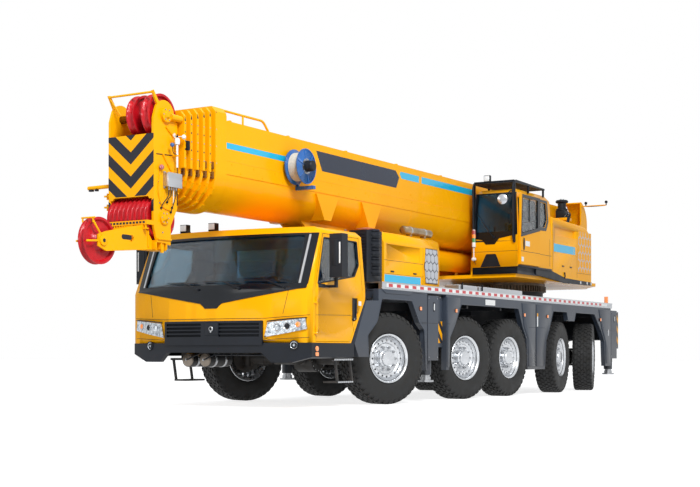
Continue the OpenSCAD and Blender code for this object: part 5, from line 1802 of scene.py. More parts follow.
@dataclass
class Carrier:
    """Deck edge with its tape, fenders with lips, lamps and seams, and the rear of the frame."""

    shop: Shop
    half: float = 1.5
    fender: float = 1.498
    axles: tuple[float, ...] = (0.0, -2.44, -4.09, -6.39, -8.04)
    tail: float = -9.74
    lamps: tuple[float, ...] = (-0.767, -1.946, -4.647, -5.699, -8.474)
    block: float = 0.12
    pitch: float = 0.24

    def build(self) -> None:
        """Models both sides and the rear."""
        for side in Side:
            self.deck_edge(side)
            self.fender_trim(side)
        self.deck_top()
        self.rear()

    def put(self, name: str, parts: list, side: Side, node: str, slot: str) -> None:
        """Mounts parts modelled for the left side on either side.

        Args:
            name: the piece's name without its side.
            parts: the parts as they are on the left.
            side: where they go.
            node: construction piece whose body carries them.
            slot: the record's material slot.
        """
        if side is Side.RIGHT:
            parts = [self.shop.reflect(part) for part in parts]
        self.shop.mount(f"{name}_{side.word}", parts, self.shop.body_of(node), slot)

    def deck_edge(self, side: Side) -> None:
        """Lays the white and red tape along the deck's silver edge, between its rolled lips."""
        shop = self.shop
        y = self.half
        tape = shop.box((-8.87, 0.27), (y - 0.001, y + 0.0012), (1.693, 1.747), WHITE_FILM)
        red = shop.row(
            shop.box((0.09, 0.09 + self.block), (y - 0.0005, y + 0.0018), (1.697, 1.743), RED_FILM),
            37, (-self.pitch, 0, 0)
        )
        self.put("deck_tape", [tape, red], side, "deck", "bright")
        lips = [
            shop.box(
                (-9.178, 0.398), (y - 0.004, y + 0.004), (1.7545, 1.7645), ALUMINIUM_AND_PAINTED_REFLECTION, 0.003
            ),
            shop.box((-9.178, 0.398), (y - 0.004, y + 0.004), (1.662, 1.676), ALUMINIUM_AND_PAINTED_REFLECTION, 0.003)
        ]
        bolt = shop.rod((0.3, y - 0.001, 1.684), (0.3, y + 0.004, 1.684), 0.007, ZINC_PLATE, 6)
        lips.append(shop.row(bolt, 19, (-0.5, 0, 0)))
        self.put("deck_lips", lips, side, "deck", "bright")

    def arch(self, points: Sequence[Pair]) -> bpy.types.Object:
        """Runs the rolled lip of a wheel arch along its outline."""
        return self.shop.pipe(
            [(x, self.fender - 0.007, z) for x, z in points], 0.011, CHASSIS_ENAMEL, 0.03, 2
        )

    def fender_trim(self, side: Side) -> None:
        """Models arch lips, folds, seams, lamps and labels of one side."""
        shop = self.shop
        a1, a2, a3, a4, a5 = self.axles
        y = self.fender
        lips = [
            self.arch(
                [
                    (a1 + 0.78, 0.69), (a1 + 0.8, 1.0), (a1 + 0.53, 1.2), (a1 + 0.4, 1.525),
                    (a1 - 0.5, 1.525), (a1 - 0.74, 1.2), (a1 - 0.9, 1.09), (a1 - 0.95, 0.49)
                ]
            ),
            self.arch(
                [
                    (a2 + 0.725, 0.49), (a2 + 0.69, 0.98), (a2 + 0.5, 1.2), (a2 + 0.28, 1.525),
                    (a3 - 0.32, 1.525), (a3 - 0.51, 1.2), (a3 - 0.69, 0.98), (a3 - 0.725, 0.455)
                ]
            ),
            self.arch(
                [
                    (a4 + 0.79, 0.455), (a4 + 0.72, 0.98), (a4 + 0.56, 1.2), (a4 + 0.38, 1.525),
                    (a4 - 0.29, 1.525), (a4 - 0.36, 1.36), (a4 - 0.69, 1.36), (a4 - 0.76, 1.525),
                    (a5 - 0.12, 1.525), (a5 - 0.5, 1.2), (a5 - 0.7, 0.98), (a5 - 0.75, 0.49)
                ]
            )
        ]
        shell = (y - 0.004, y + 0.012)
        # Pressed panels: over wheel 1, between wheel arches and at the rear
        for outline in (
            [(0.3, 1.6), (-0.42, 1.6), (-0.52, 1.64), (-0.9, 1.64), (-0.9, 1.655), (0.42, 1.655)],
            [
                (-1.645, 0.52), (-1.72, 0.52), (-1.745, 1.0), (-1.93, 1.2), (-2.1, 1.5),
                (-2.1, 1.62), (-1.645, 1.62)
            ],
            [(-4.85, 0.5), (-5.15, 0.5), (-5.15, 1.62), (-4.55, 1.62), (-4.64, 1.22), (-4.82, 1.0)],
            [
                (-5.2, 0.5), (-5.565, 0.5), (-5.64, 0.99), (-5.79, 1.2), (-5.9, 1.4), (-5.9, 1.62),
                (-5.2, 1.62)
            ],
            [
                (-8.83, 0.53), (-9.09, 0.53), (-9.09, 1.62), (-8.4, 1.62), (-8.58, 1.23),
                (-8.78, 0.99)
            ]
        ):
            lips.append(shop.plate(outline, Normal.Y, shell, CHASSIS_ENAMEL, 0.008, 2))
        self.put("fender_pressings", lips, side, "fenders", "fender")
        seams = []
        for low, high in (
            (-1.74, -1.645), (-0.98, -0.8), (-5.14, -4.83), (-5.6, -5.21), (-9.08, -8.82)
        ):
            seams.append(
                shop.box((low, high), (y + 0.010, y + 0.0127), (1.197, 1.203), MOULDED_BLACK)
            )
        for x in (-5.178, -0.985):
            seams.append(
                shop.box(
                    (x - 0.004, x + 0.004), (y - 0.002, y + 0.0015), (0.5, 1.62), MOULDED_BLACK
                )
            )
        self.put("fender_seams", seams, side, "fenders", "black")
        lamps = []
        for x in self.lamps:
            face = y + (0.0 if x > -1.0 else 0.011)
            lamps.append(
                shop.box(
                    (x - 0.036, x + 0.036), (face - 0.002, face + 0.006), (1.38, 1.446),
                    MOULDED_BLACK, 0.003
                )
            )
            lamps.append(
                shop.box(
                    (x - 0.029, x + 0.029), (face + 0.003, face + 0.014), (1.386, 1.44), AMBER_LENS,
                    0.004
                )
            )
        self.put("fender_lamps", lamps, side, "fenders", "bright")
        labels = [shop.box((-3.44, -3.06), (y - 0.001, y + 0.0015), (1.54, 1.63), WHITE_FILM),
                  shop.box((-5.26, -5.21), (y + 0.011, y + 0.0132), (1.22, 1.46), WHITE_FILM),
                  shop.box((-5.26, -5.21), (y + 0.0125, y + 0.0138), (1.4, 1.46), CRANE_ENAMEL),
                  shop.box((-8.96, -8.93), (y + 0.011, y + 0.0132), (1.1, 1.22), WHITE_FILM)]
        self.put("fender_blank_labels", labels, side, "fenders", "bright")

    def deck_top(self) -> None:
        """Models tread strips, lids and rails on the deck."""
        shop = self.shop
        z = 1.765
        parts = []
        for sign in (-1, 1):
            for x0, x1 in ((-2.91, -2.22), (-4.75, -2.97)):
                y = sorted_pair(sign * 1.17, sign * 1.42)
                parts.append(
                    shop.box(
                        (x0 + 0.01, x1 - 0.01), (y[0] + 0.008, y[1] - 0.008),
                        (z + 0.071, z + 0.078), WHITE_FILM, 0.003
                    )
                )
                grip = shop.box(
                    (x1 - 0.12, x1 - 0.1), (sign * 1.43 - 0.012, sign * 1.43 + 0.012),
                    (z + 0.0, z + 0.11), MOULDED_BLACK, 0.005
                )
                parts.append(grip)
        tread = shop.box(
            (-6.0, -5.96), (-1.46, -1.4), (z - 0.001, z + 0.004), ALUMINIUM_AND_PAINTED_REFLECTION, 0.001
        )
        for sign in (0, 1):
            strip = shop.copy(tread, Matrix.Translation((0.0, 2.86 * sign, 0.0)))
            parts.append(shop.row(strip, 50, (-0.062, 0, 0)))
        bpy.data.objects.remove(tread)
        for x in (-2.1, -9.0):
            parts.append(
                shop.box(
                    (x - 0.1, x + 0.1), (-0.85, 0.85), (z - 0.001, z + 0.02), CHASSIS_ENAMEL, 0.004
                )
            )
        shop.mount("deck_fittings", parts, shop.body_of("deck"), "bright")

    def rear(self) -> None:
        """Models the rear cross member's lamps, blank plate, reflectors and the towing pin."""
        shop = self.shop
        x = self.tail + 0.04
        parts = [shop.box((x - 0.006, x + 0.001), (-0.26, 0.26), (1.46, 1.6), WHITE_FILM, 0.002),
                 shop.rod((x - 0.02, 0, 0.8), (x - 0.02, 0, 1.06), 0.025, GROUND_STEEL, 24, 0.004)]
        for sign in (-1, 1):
            for k, lens in enumerate((RED_LENS, AMBER_LENS, CLEAR_LENS)):
                y = sign * (0.95 + 0.1 * k)
                parts.append(
                    shop.box(
                        (self.tail - 0.0, self.tail + 0.01), (y - 0.042, y + 0.042), (1.463, 1.547),
                        lens, 0.004
                    )
                )
            foot = shop.lathe(
                [(0.0, 0.0), (0.05, 0.0), (0.05, 0.012), (0.0, 0.014)],
                (self.tail + 0.075, sign * 1.2, 1.65), (0, 0, 1), MOULDED_BLACK, 28
            )
            parts.append(foot)
            parts.append(
                shop.rod(
                    (x - 0.004, sign * 0.6, 1.53), (x + 0.001, sign * 0.6, 1.53), 0.035, RED_LENS,
                    28
                )
            )
        shop.mount("rear_lamps", parts, shop.body_of("lamps"), "bright")


@dataclass
class Outriggers:
    """Covers of the four outriggers: hazard stripes, sight window, seams and blank labels."""

    shop: Shop
    middles: Pair = (-1.305, -9.43)
    pitch: float = 0.14
    cover: float = 1.498
    back_face: float = 1.439

    def build(self) -> None:
        """Dresses each outrigger's cover."""
        for name, middle in (("front", self.middles[0]), ("rear", self.middles[1])):
            for side in Side:
                self.dress_cover(name, middle + side.value * self.pitch, side)

    def dress_cover(self, name: str, x: float, side: Side) -> None:
        """Dresses one cover.

        Args:
            name: front or rear.
            x: middle of its beam.
            side: side of the machine, which also tells which end of the cover is set back.
        """
        shop = self.shop
        body = shop.body_of(f"outrigger_beam_{name}_{side.word}")

        def span(u: Pair) -> Pair:
            """Limits along X, mirrored with the side."""
            return sorted_pair(x + side.value * u[0], x + side.value * u[1])

        def across(low: float, high: float) -> Pair:
            """Limits along Y, mirrored with the side."""
            return sorted_pair(side.value * low, side.value * high)

        tall = (0.9, 1.235) if name == "front" else (0.87, 1.58)
        stripes = self.stripes(span((-0.432, -0.192)), tall, side)
        shop.mount(f"hazard_stripes_{name}_{side.word}", stripes, body, "yellow")
        trim = [
            shop.box(
                span((-0.165, 0.14)),
                across(self.cover - 0.002, self.cover + 0.0008),
                (1.197, 1.203), MOULDED_BLACK
            ),
            shop.box(
                span((-0.07, -0.02)),
                across(self.cover - 0.002, self.cover + 0.006),
                (1.38, 1.52), MOULDED_BLACK, 0.004
            )
        ]
        bright = [
            shop.box(
                span((-0.06, -0.03)),
                across(self.cover + 0.002, self.cover + 0.0075),
                (1.40, 1.5), WHITE_FILM, 0.002
            )
        ]
        if name == "front":
            bright.append(
                shop.box(
                    span((-0.29, -0.2)),
                    across(self.back_face - 0.001, self.back_face + 0.0014),
                    (1.25, 1.5), WHITE_FILM
                )
            )
        bolt = [
            shop.rod(
                (x + side.value * u, side.value * self.cover, z),
                (x + side.value * u, side.value * (self.cover + 0.006), z),
                0.009, ZINC_PLATE, 6
            )
            for u in (-0.15, 0.13)
            for z in (0.68, 1.58)
        ]
        shop.mount(f"cover_trim_{name}_{side.word}", trim, body, "black")
        shop.mount(f"cover_labels_{name}_{side.word}", bright + bolt, body, "bright")

    def stripes(self, x: Pair, z: Pair, side: Side) -> list[bpy.types.Object]:
        """Lays a yellow film with leaning dark bands on a set-back face.

        Args:
            x: its ends.
            z: its foot and top.
            side: side of the machine.

        Returns:
            Film and bands.
        """
        shop = self.shop
        face = side.value * self.back_face
        proud = side.value * 0.0012

        def depth(outer: float) -> Pair:
            """Limits along X of a plate on the cover's face."""
            return sorted_pair(face - proud * 0.3, face + proud * outer)

        parts = [shop.box(x, depth(1.0), z, CRANE_ENAMEL)]
        window = [(x[0], z[0]), (x[1], z[0]), (x[1], z[1]), (x[0], z[1])]
        band, lean = 0.11, 0.3
        foot = z[0] - lean
        while foot < z[1]:
            outline = clipped(
                [
                    (x[0], foot), (x[1], foot + lean * side.value),
                    (x[1], foot + lean * side.value + band), (x[0], foot + band)
                ],
                window
            )
            if len(outline) > 2:
                parts.append(shop.plate(outline, Normal.Y, depth(1.6), HAZARD_BLACK_AND_PAINTED_SHADE))
            foot += 2 * band
        return parts


@dataclass
class Underside:
    """What shows below the frame: drive shafts, brake chambers, steering cylinders and lines."""

    shop: Shop
    axles: tuple[float, ...] = (0.0, -2.44, -4.09, -6.39, -8.04)
    hub: float = 0.665
    casing: float = 0.265

    def build(self) -> None:
        """Models the pieces on every axle and between them."""
        shop = self.shop
        parts = []
        for front, rear in zip(self.axles, self.axles[1:]):
            start, end = front - self.casing, rear + self.casing
            parts.append(
                shop.rod(
                    (start - 0.1, 0, self.hub), (end + 0.1, 0, self.hub), 0.046, AXLE_CASTING, 24
                )
            )
            for x, turn in ((start, -1), (end, 1)):
                parts.append(
                    shop.rod(
                        (x, 0, self.hub), (x + turn * 0.03, 0, self.hub), 0.082, AXLE_CASTING, 24,
                        0.004
                    )
                )
                parts.append(
                    shop.rod(
                        (x + turn * 0.03, 0, self.hub), (x + turn * 0.1, 0, self.hub), 0.05,
                        AXLE_CASTING, 12, 0.006, 0.062
                    )
                )
        for x in self.axles:
            for sign in (-1, 1):
                y = sign * 0.56
                parts.append(
                    shop.rod(
                        (x + 0.12, y, self.hub + 0.05), (x + 0.3, y, self.hub + 0.05), 0.082,
                        AXLE_CASTING, 28, 0.012
                    )
                )
                parts.append(
                    shop.lathe(
                        [(0.08, 0.0), (0.09, 0.004), (0.09, 0.016), (0.08, 0.02)],
                        (x + 0.2, y, self.hub + 0.05), (1, 0, 0), ZINC_PLATE, 28
                    )
                )
                parts.append(
                    shop.rod(
                        (x + 0.05, y, self.hub + 0.05), (x + 0.13, y, self.hub + 0.05), 0.014,
                        GROUND_STEEL, 12
                    )
                )
                parts.append(
                    shop.pipe(
                        [
                            (x + 0.3, y, self.hub + 0.06),
                            (x + 0.36, y - sign * 0.06, self.hub + 0.16),
                            (x + 0.3, sign * 0.44, self.hub + 0.34)
                        ],
                        0.01, MOULDED_BLACK, 0.06, 1
                    )
                )
                bolt = shop.rod(
                    (x + 0.0, sign * 0.166, self.hub + 0.185),
                    (x + 0.0, sign * 0.172, self.hub + 0.185), 0.011, ZINC_PLATE, 6
                )
                parts.append(shop.ring(bolt, 14, (x, 0, self.hub), (0, 1, 0)))
        shop.mount("drive_line", parts, shop.body_of("axle_beams"), "black")
        self.front_tanks()

    def front_tanks(self) -> None:
        """Models bands, drain plugs and lines of the two air tanks under the nose."""
        shop = self.shop
        parts = []
        for y in (-0.69, -0.385):
            for x in (1.7, 1.925):
                parts.append(
                    shop.lathe(
                        [(0.1, -0.02), (0.1045, -0.018), (0.1045, 0.018), (0.1, 0.02)],
                        (x, y, 0.65), (1, 0, 0), ZINC_PLATE, 32
                    )
                )
            parts.append(
                shop.lathe(
                    [(0.0, 0.0), (0.096, 0.0), (0.085, 0.02), (0.05, 0.034), (0.0, 0.038)],
                    (2.058, y, 0.65), (1, 0, 0), TANK_GREY, 36
                )
            )
            parts.append(shop.rod((2.09, y, 0.65), (2.108, y, 0.65), 0.017, ZINC_PLATE, 6))
            parts.append(
                shop.pipe(
                    [
                        (2.1, y, 0.65), (2.13, y + 0.05, 0.66), (2.06, y + 0.15, 0.72),
                        (1.9, y + 0.16, 0.76)
                    ],
                    0.009, MOULDED_BLACK, 0.05, 1
                )
            )
        for y in (-0.2, 0.12, 0.2):
            parts.append(
                shop.pipe(
                    [(2.1, y, 0.72), (1.2, y, 0.71), (0.5, y * 0.8, 0.78), (0.35, y * 0.8, 0.86)],
                    0.013, MOULDED_BLACK, 0.1, 1
                )
            )
        shop.mount("front_tank_fittings", parts, shop.body_of("chassis_frame"), "black")


@dataclass
class OperatorCab:
    """The operator's cab on the turntable: surround, guard, wiper, mirror, lights and seat."""

    shop: Shop
    front: float = -4.5
    inner: float = 0.56
    outer: float = 1.45
    knee: float = 2.85
    roof: float = 3.65
    floor: float = 2.27
    back: float = -6.05
    wall: float = 0.04
    door_skin: float = 1.489

    def build(self) -> None:
        """Models and dresses the cab's pieces."""
        self.body = self.shop.body_of("operator_cab")
        self.skins()
        self.front_surround()
        self.side_surround()
        self.wiper_and_mirror()
        self.light_tower()
        self.roof_guard()
        self.inside()

    def face(self, z: float) -> float:
        """X of the cab's front skin at a height."""
        if z < self.knee:
            return self.front + 0.02 * (self.knee - z) / (self.knee - self.floor)
        return self.front - 0.06 * (z - self.knee) / (self.roof - 0.06 - self.knee)

    def flank(self, z: float) -> float:
        """Y of the cab's left skin at a height."""
        return self.outer - 0.05 * max(0.0, z - self.knee) / (self.roof - 0.09 - self.knee)

    def depth(self, m: Vector) -> float:
        """How far a place lies under the nearest skin of the cab, measured square to it."""
        lean = self.outer - self.flank(m.z)
        left, right = self.outer - m.y, m.y - self.inner
        return min(
            self.face(m.z) - m.x, m.x - self.back, self.roof - m.z, m.z - self.floor, left - lean,
            right - lean,
            0.676 * (m.x - self.back) + 0.737 * (self.roof - 0.11 - m.z),
            0.6 * (self.front - 0.06 - m.x) + 0.8 * (self.roof - 0.06 - m.z),
            0.832 * (min(left, right) - 0.05) + 0.555 * (self.roof - 0.09 - m.z)
        )

    def front_plate(
        self, outline: Sequence[Pair], proud: float, thick: float, finish: Finish
    ) -> bpy.types.Object:
        """Lays a plate on the front skin, given its outline in Y and Z on one side of the knee.

        Args:
            outline: its corners.
            proud: how far its outer face stands off.
            thick: its thickness.
            finish: its finish.

        Returns:
            The plate.
        """
        piece = self.shop.plate(outline, Normal.X, (proud - thick, proud), finish)
        for corner in piece.data.vertices:
            corner.co.x += self.face(corner.co.z)
        return piece

    def skins(self) -> None:
        """Dresses shell and door."""
        shop = self.shop
        seat = (-5.76, -5.18)

        def on_seat(m: Vector) -> bool:
            """Tells whether a place is over or under the seat."""
            return seat[0] < m.x < seat[1] and 0.66 < m.y < 1.3

        def in_seat(m: Vector) -> bool:
            """Tells whether a place is on the seat's pads."""
            return on_seat(m) and 2.68 < m.z < 3.36

        def on_door_edge(m: Vector) -> bool:
            """Tells whether a face is in the rim round the door's window."""
            return 1.456 < m.y < 1.488 and -5.32 < m.x < -4.56 and m.z > self.knee - 0.01

        def is_black(m: Vector) -> bool:
            """Tells whether a face is a rubber, a frame or the seat's stand."""
            outside = not self.floor - 0.0005 <= m.z <= self.roof + 0.0005
            screen_frame = m.x > self.front + 0.004 and m.z > 2.69
            return outside or screen_frame or on_seat(m) and 2.32 < m.z < 3.5

        shop.repaint(
            "operator_cab",
            [
                (in_seat, SEAT_CLOTH), (is_black, MOULDED_BLACK),
                (lambda m: self.depth(m) > self.wall - 0.008, CAB_LINING),
                (
                    lambda m: self.knee < m.z < self.roof - 0.12 and self.depth(m) > 0.009,
                    MOULDED_BLACK
                )
            ],
            CRANE_ENAMEL, "yellow"
        )
        shop.repaint("operator_door", [
            (lambda m: 1.4668 < m.y < 1.4758 and m.z > self.knee - 0.01, SIDE_GLASS),
            (on_door_edge, MOULDED_BLACK),
            (lambda m: m.y < 1.4545, MOULDED_BLACK)], CRANE_ENAMEL, "yellow")

    def front_surround(self) -> None:
        """Models the black frame round the windscreen and the black foot of the front."""
        shop = self.shop
        knee, top = self.knee + 0.001, self.roof - 0.062
        y0, y1 = self.inner, self.outer
        frame = self.front_plate(
            [(y0 + 0.012, knee), (y1 - 0.012, knee), (y1 - 0.055, top), (y0 + 0.055, top)],
            0.006, 0.006, GLOSS_BLACK
        )
        hole = [
            (y0 + 0.082, knee + 0.042), (y1 - 0.082, knee + 0.042), (y1 - 0.107, self.roof - 0.082),
            (y0 + 0.107, self.roof - 0.082)
        ]
        shop.cut(
            frame, shop.plate(hole, Normal.X, (self.front - 0.2, self.front + 0.1), GLOSS_BLACK)
        )
        point = [
            (y0 + 0.012, knee), (y0 + 0.012, 2.785), (0.76, 2.755), (0.835, 2.672), (1.005, 2.672),
            (1.09, 2.775), (y1 - 0.012, 2.832), (y1 - 0.012, knee)
        ]
        parts = [
            frame,
            self.front_plate(point, 0.006, 0.006, GLOSS_BLACK),
            self.front_plate(
                [
                    (0.835, 2.485), (0.85, 2.5), (1.02, 2.5), (1.035, 2.485), (1.125, 2.272),
                    (0.735, 2.272)
                ],
                0.005, 0.005, MOULDED_BLACK
            ),
            shop.pipe(
                [(self.face(2.545) + 0.0005, y0, 2.545), (self.face(2.545) + 0.0005, y1, 2.545)],
                0.003, MOULDED_BLACK, sides=1
            )
        ]
        shop.mount("operator_front_surround", parts, self.body, "black")

    def leaned(self, piece: bpy.types.Object) -> bpy.types.Object:
        """Leans a flat piece of the left flank in with the skin above the knee."""
        for corner in piece.data.vertices:
            corner.co.y += self.flank(corner.co.z) - self.outer
        return piece

    def side_surround(self) -> None:
        """Models the side windows' black frames and rubbers, the door's handle and blank labels."""
        shop = self.shop
        skin = self.door_skin
        pane = [(-4.57, 2.85), (-4.62, 3.5), (-5.3, 3.5), (-5.3, 2.99)]
        door = shop.plate(
            [(-4.542, 2.79), (-4.6, 3.545), (-5.395, 3.545), (-5.395, 2.955)],
            Normal.Y, (skin - 0.001, skin + 0.005), GLOSS_BLACK
        )
        shop.cut(
            door,
            shop.plate(
                [
                    (x - 0.008 if x > -5 else x + 0.008, z + (0.008 if z < 3.2 else -0.008))
                    for x, z in pane
                ],
                Normal.Y, (skin - 0.1, skin + 0.1), GLOSS_BLACK
            )
        )
        sash = [
            shop.pipe(
                [(-4.6, skin - 0.012, 3.03), (-5.3, skin - 0.012, 3.13)],
                0.009, GLOSS_BLACK, sides=1
            ),
            shop.box(
                (-4.955, -4.935), (skin - 0.016, skin - 0.006), (3.08, 3.5), MOULDED_BLACK, 0.003
            )
        ]
        handle = shop.plate(
            [
                (-4.655, 2.56), (-4.68, 2.57), (-4.695, 2.62), (-4.695, 2.72), (-4.68, 2.77),
                (-4.655, 2.78), (-4.64, 2.72), (-4.64, 2.62)
            ],
            Normal.Y, (skin - 0.004, skin + 0.012), MOULDED_BLACK, 0.004
        )
        label = shop.box((-4.93, -4.74), (skin - 0.001, skin + 0.0012), (2.64, 2.73), WHITE_FILM)
        small = shop.box((-4.66, -4.57), (skin - 0.001, skin + 0.0012), (2.36, 2.44), WHITE_FILM)
        seam = shop.box(
            (-5.4, -4.536), (skin - 0.002, skin + 0.0008), (2.538, 2.545), MOULDED_BLACK
        )
        shop.mount(
            "operator_door_trim", [door, *sash, handle, label, small, seam],
            shop.body_of("operator_door"), "black"
        )
        rear = shop.plate(
            [(-5.425, 2.975), (-5.425, 3.56), (-5.935, 3.555), (-5.935, 3.17), (-5.8, 2.99)],
            Normal.Y, (self.outer - 0.001, self.outer + 0.004), GLOSS_BLACK
        )
        glass = [
            (-5.512, 3.038), (-5.512, 3.508), (-5.868, 3.508), (-5.868, 3.192), (-5.756, 3.052)
        ]
        shop.cut(
            rear,
            shop.plate(
                [(x - 0.006, z) for x, z in glass], Normal.Y, (self.outer - 0.2, self.outer + 0.1),
                GLOSS_BLACK
            )
        )
        parts = [
            self.leaned(rear),
            shop.box(
                (-6.048, -5.41), (self.outer - 0.002, self.outer + 0.0008), (2.538, 2.545),
                MOULDED_BLACK
            ),
            shop.box(
                (-5.952, -5.945), (self.outer - 0.002, self.outer + 0.0008), (2.345, 2.85),
                MOULDED_BLACK
            ),
            shop.box(
                (-6.0, -4.5), (self.outer - 0.05, self.outer + 0.03), (2.262, 2.296), MOULDED_BLACK,
                0.006
            )
        ]
        shop.mount("operator_side_trim", parts, self.body, "black")

    def wiper_and_mirror(self) -> None:
        """Models the long wiper and the round mirror on its arm."""
        shop = self.shop

        def on_face(y: float, z: float, proud: float) -> Triple:
            """A place that stands off the front skin."""
            return (self.face(z) + proud, y, z)

        wiper = [
            shop.rod(
                on_face(0.985, 2.8, 0.0), on_face(0.985, 2.8, 0.045), 0.02, MOULDED_BLACK, 16, 0.004
            ),
            shop.pipe(
                [on_face(0.985, 2.8, 0.036), on_face(0.86, 2.95, 0.03), on_face(0.76, 3.08, 0.02)],
                0.008, MOULDED_BLACK, 0.03, 2
            ),
            shop.pipe(
                [on_face(0.9, 2.9, 0.006), on_face(0.67, 3.21, 0.006)],
                0.008, MOULDED_BLACK, sides=1
            )
        ]
        shop.mount("operator_wiper", wiper, self.body, "black")
        arm = [(-4.5, 1.385, 3.6), (-4.35, 1.37, 3.58), (-4.32, 1.3, 3.52)]
        mirror = [
            shop.pipe(arm, 0.009, MOULDED_BLACK, 0.04, 2),
            shop.lathe(
                [
                    (0.0, -0.025), (0.06, -0.02), (0.098, 0.0), (0.1, 0.008), (0.092, 0.01),
                    (0.0, 0.01)
                ],
                (-4.33, 1.23, 3.44), (1.0, 0.3, 0.0), MOULDED_BLACK, 40
            ),
            shop.lathe(
                [(0.0, 0.0), (0.091, 0.0), (0.088, 0.012), (0.05, 0.022), (0.0, 0.025)],
                (-4.33, 1.23, 3.44), (1.0, 0.3, 0.0), GROUND_STEEL, 40
            )
        ]
        shop.mount("operator_mirror", mirror, self.body, "black")

    def light_tower(self) -> None:
        """Models the load light tower: red, amber, green and white on a stem with a round foot."""
        shop = self.shop
        x, y = -4.425, 0.63
        parts = []
        for low, high, finish in (
            (2.86, 2.93, RED_LENS), (2.79, 2.857, AMBER_LENS), (2.72, 2.787, GREEN_LENS),
            (2.63, 2.717, WHITE_FILM)
        ):
            parts.append(shop.rod((x, y, low), (x, y, high), 0.034, finish, 28, 0.004))
            parts.append(
                shop.rod((x, y, low - 0.004), (x, y, low + 0.001), 0.032, MOULDED_BLACK, 28)
            )
        parts.append(shop.rod((x, y, 2.93), (x, y, 2.945), 0.03, WHITE_FILM, 28, 0.006, 0.018))
        parts.append(shop.rod((x, y, 2.44), (x, y, 2.63), 0.011, WHITE_FILM, 16))
        parts.append(
            shop.lathe(
                [
                    (0.0, -0.03), (0.03, -0.03), (0.045, -0.012), (0.045, 0.006), (0.03, 0.025),
                    (0.0, 0.03)
                ],
                (x, y, 2.42), (0, 0, 1), WHITE_FILM, 28
            )
        )
        parts.append(
            shop.box(
                (self.face(2.41) - 0.002, x + 0.01), (y - 0.02, y + 0.02), (2.395, 2.407),
                ZINC_PLATE, 0.002
            )
        )
        parts.append(
            shop.pipe(
                [(self.face(2.33), y + 0.01, 2.33), (x - 0.02, y + 0.02, 2.34), (x, y, 2.4)],
                0.006, MOULDED_BLACK, 0.02, 1
            )
        )
        shop.mount("light_tower", parts, self.body, "bright")

    def roof_guard(self) -> None:
        """Models the tubes of the guard over roof and windscreen, and the work lamp on it."""
        shop = self.shop
        top = self.roof + 0.115
        low, high = self.inner + 0.06, self.outer - 0.06
        parts = []
        for y in (low, high):
            parts.append(
                shop.pipe(
                    [
                        (-5.82, y, top - 0.01), (-4.5, y, top + 0.02), (-4.41, y, top - 0.07),
                        (-4.42, y, 2.76), (-4.47, y, 2.69)
                    ],
                    0.017, MOULDED_BLACK, 0.07, 2
                )
            )
        for x, z in (
            (-4.47, top + 0.014), (-5.0, top + 0.005), (-5.5, top - 0.002), (-5.81, top - 0.01)
        ):
            parts.append(shop.rod((x, low, z), (x, high, z), 0.014, MOULDED_BLACK, 12))
        mesh = shop.box((-4.50, -4.496), (low, high), (top - 0.004, top + 0.004), MOULDED_BLACK)
        parts.append(shop.row(mesh, 26, (-0.05, 0, -0.0007)))
        parts.append(
            shop.pipe(
                [
                    (-4.43, high - 0.012, 3.58), (-4.425, high - 0.012, 2.78),
                    (-4.43, high + 0.02, 2.71)
                ],
                0.011, MOULDED_BLACK, 0.03, 2
            )
        )
        shop.mount("operator_roof_guard", parts, self.body, "black")
        lamp = [shop.box((-4.52, -4.45), (0.81, 0.93), (3.785, 3.9), MOULDED_BLACK, 0.01),
                shop.box((-4.452, -4.446), (0.82, 0.92), (3.795, 3.89), CLEAR_LENS, 0.003),
                shop.box((-4.5, -4.47), (0.85, 0.89), (3.76, 3.79), ZINC_PLATE, 0.003)]
        for y in (0.856, 0.886):
            lamp.append(
                shop.box((-4.4475, -4.4445), (y - 0.001, y + 0.001), (3.795, 3.89), ZINC_PLATE)
            )
        shop.mount("operator_work_lamp", lamp, self.body, "bright")

    def inside(self) -> None:
        """Lays the seat's cushions and models armrests with levers and the display."""
        shop = self.shop
        x, y, z = -5.45, 0.985, 2.7
        shop.cushion(
            "operator_cushion", self.body, (x - 0.2, x + 0.26), (y - 0.25, y + 0.25),
            (z + 0.07, z + 0.18), 0.7
        )
        shop.cushion(
            "operator_back", self.body, (x - 0.315, x - 0.165), (y - 0.245, y + 0.245),
            (z + 0.12, z + 0.66), 0.75
        )
        parts = []
        for side in (-1, 1):
            out = y + side * 0.31
            parts.append(
                shop.box(
                    (x - 0.18, x + 0.3), (out - 0.05, out + 0.05), (z + 0.12, z + 0.24),
                    MOULDED_BLACK, 0.02
                )
            )
            parts.append(
                shop.rod(
                    (x + 0.22, out, z + 0.24), (x + 0.24, out, z + 0.36), 0.012, MOULDED_BLACK, 12,
                    tip=0.02
                )
            )
        parts.append(
            shop.rod((-4.72, 1.24, self.floor + 0.03), (-4.72, 1.24, 2.9), 0.022, MOULDED_BLACK, 14)
        )
        parts.append(shop.box((-4.76, -4.72), (1.1, 1.36), (2.86, 3.06), GLOSS_BLACK, 0.012))
        shop.mount("operator_controls", parts, self.body, "black")


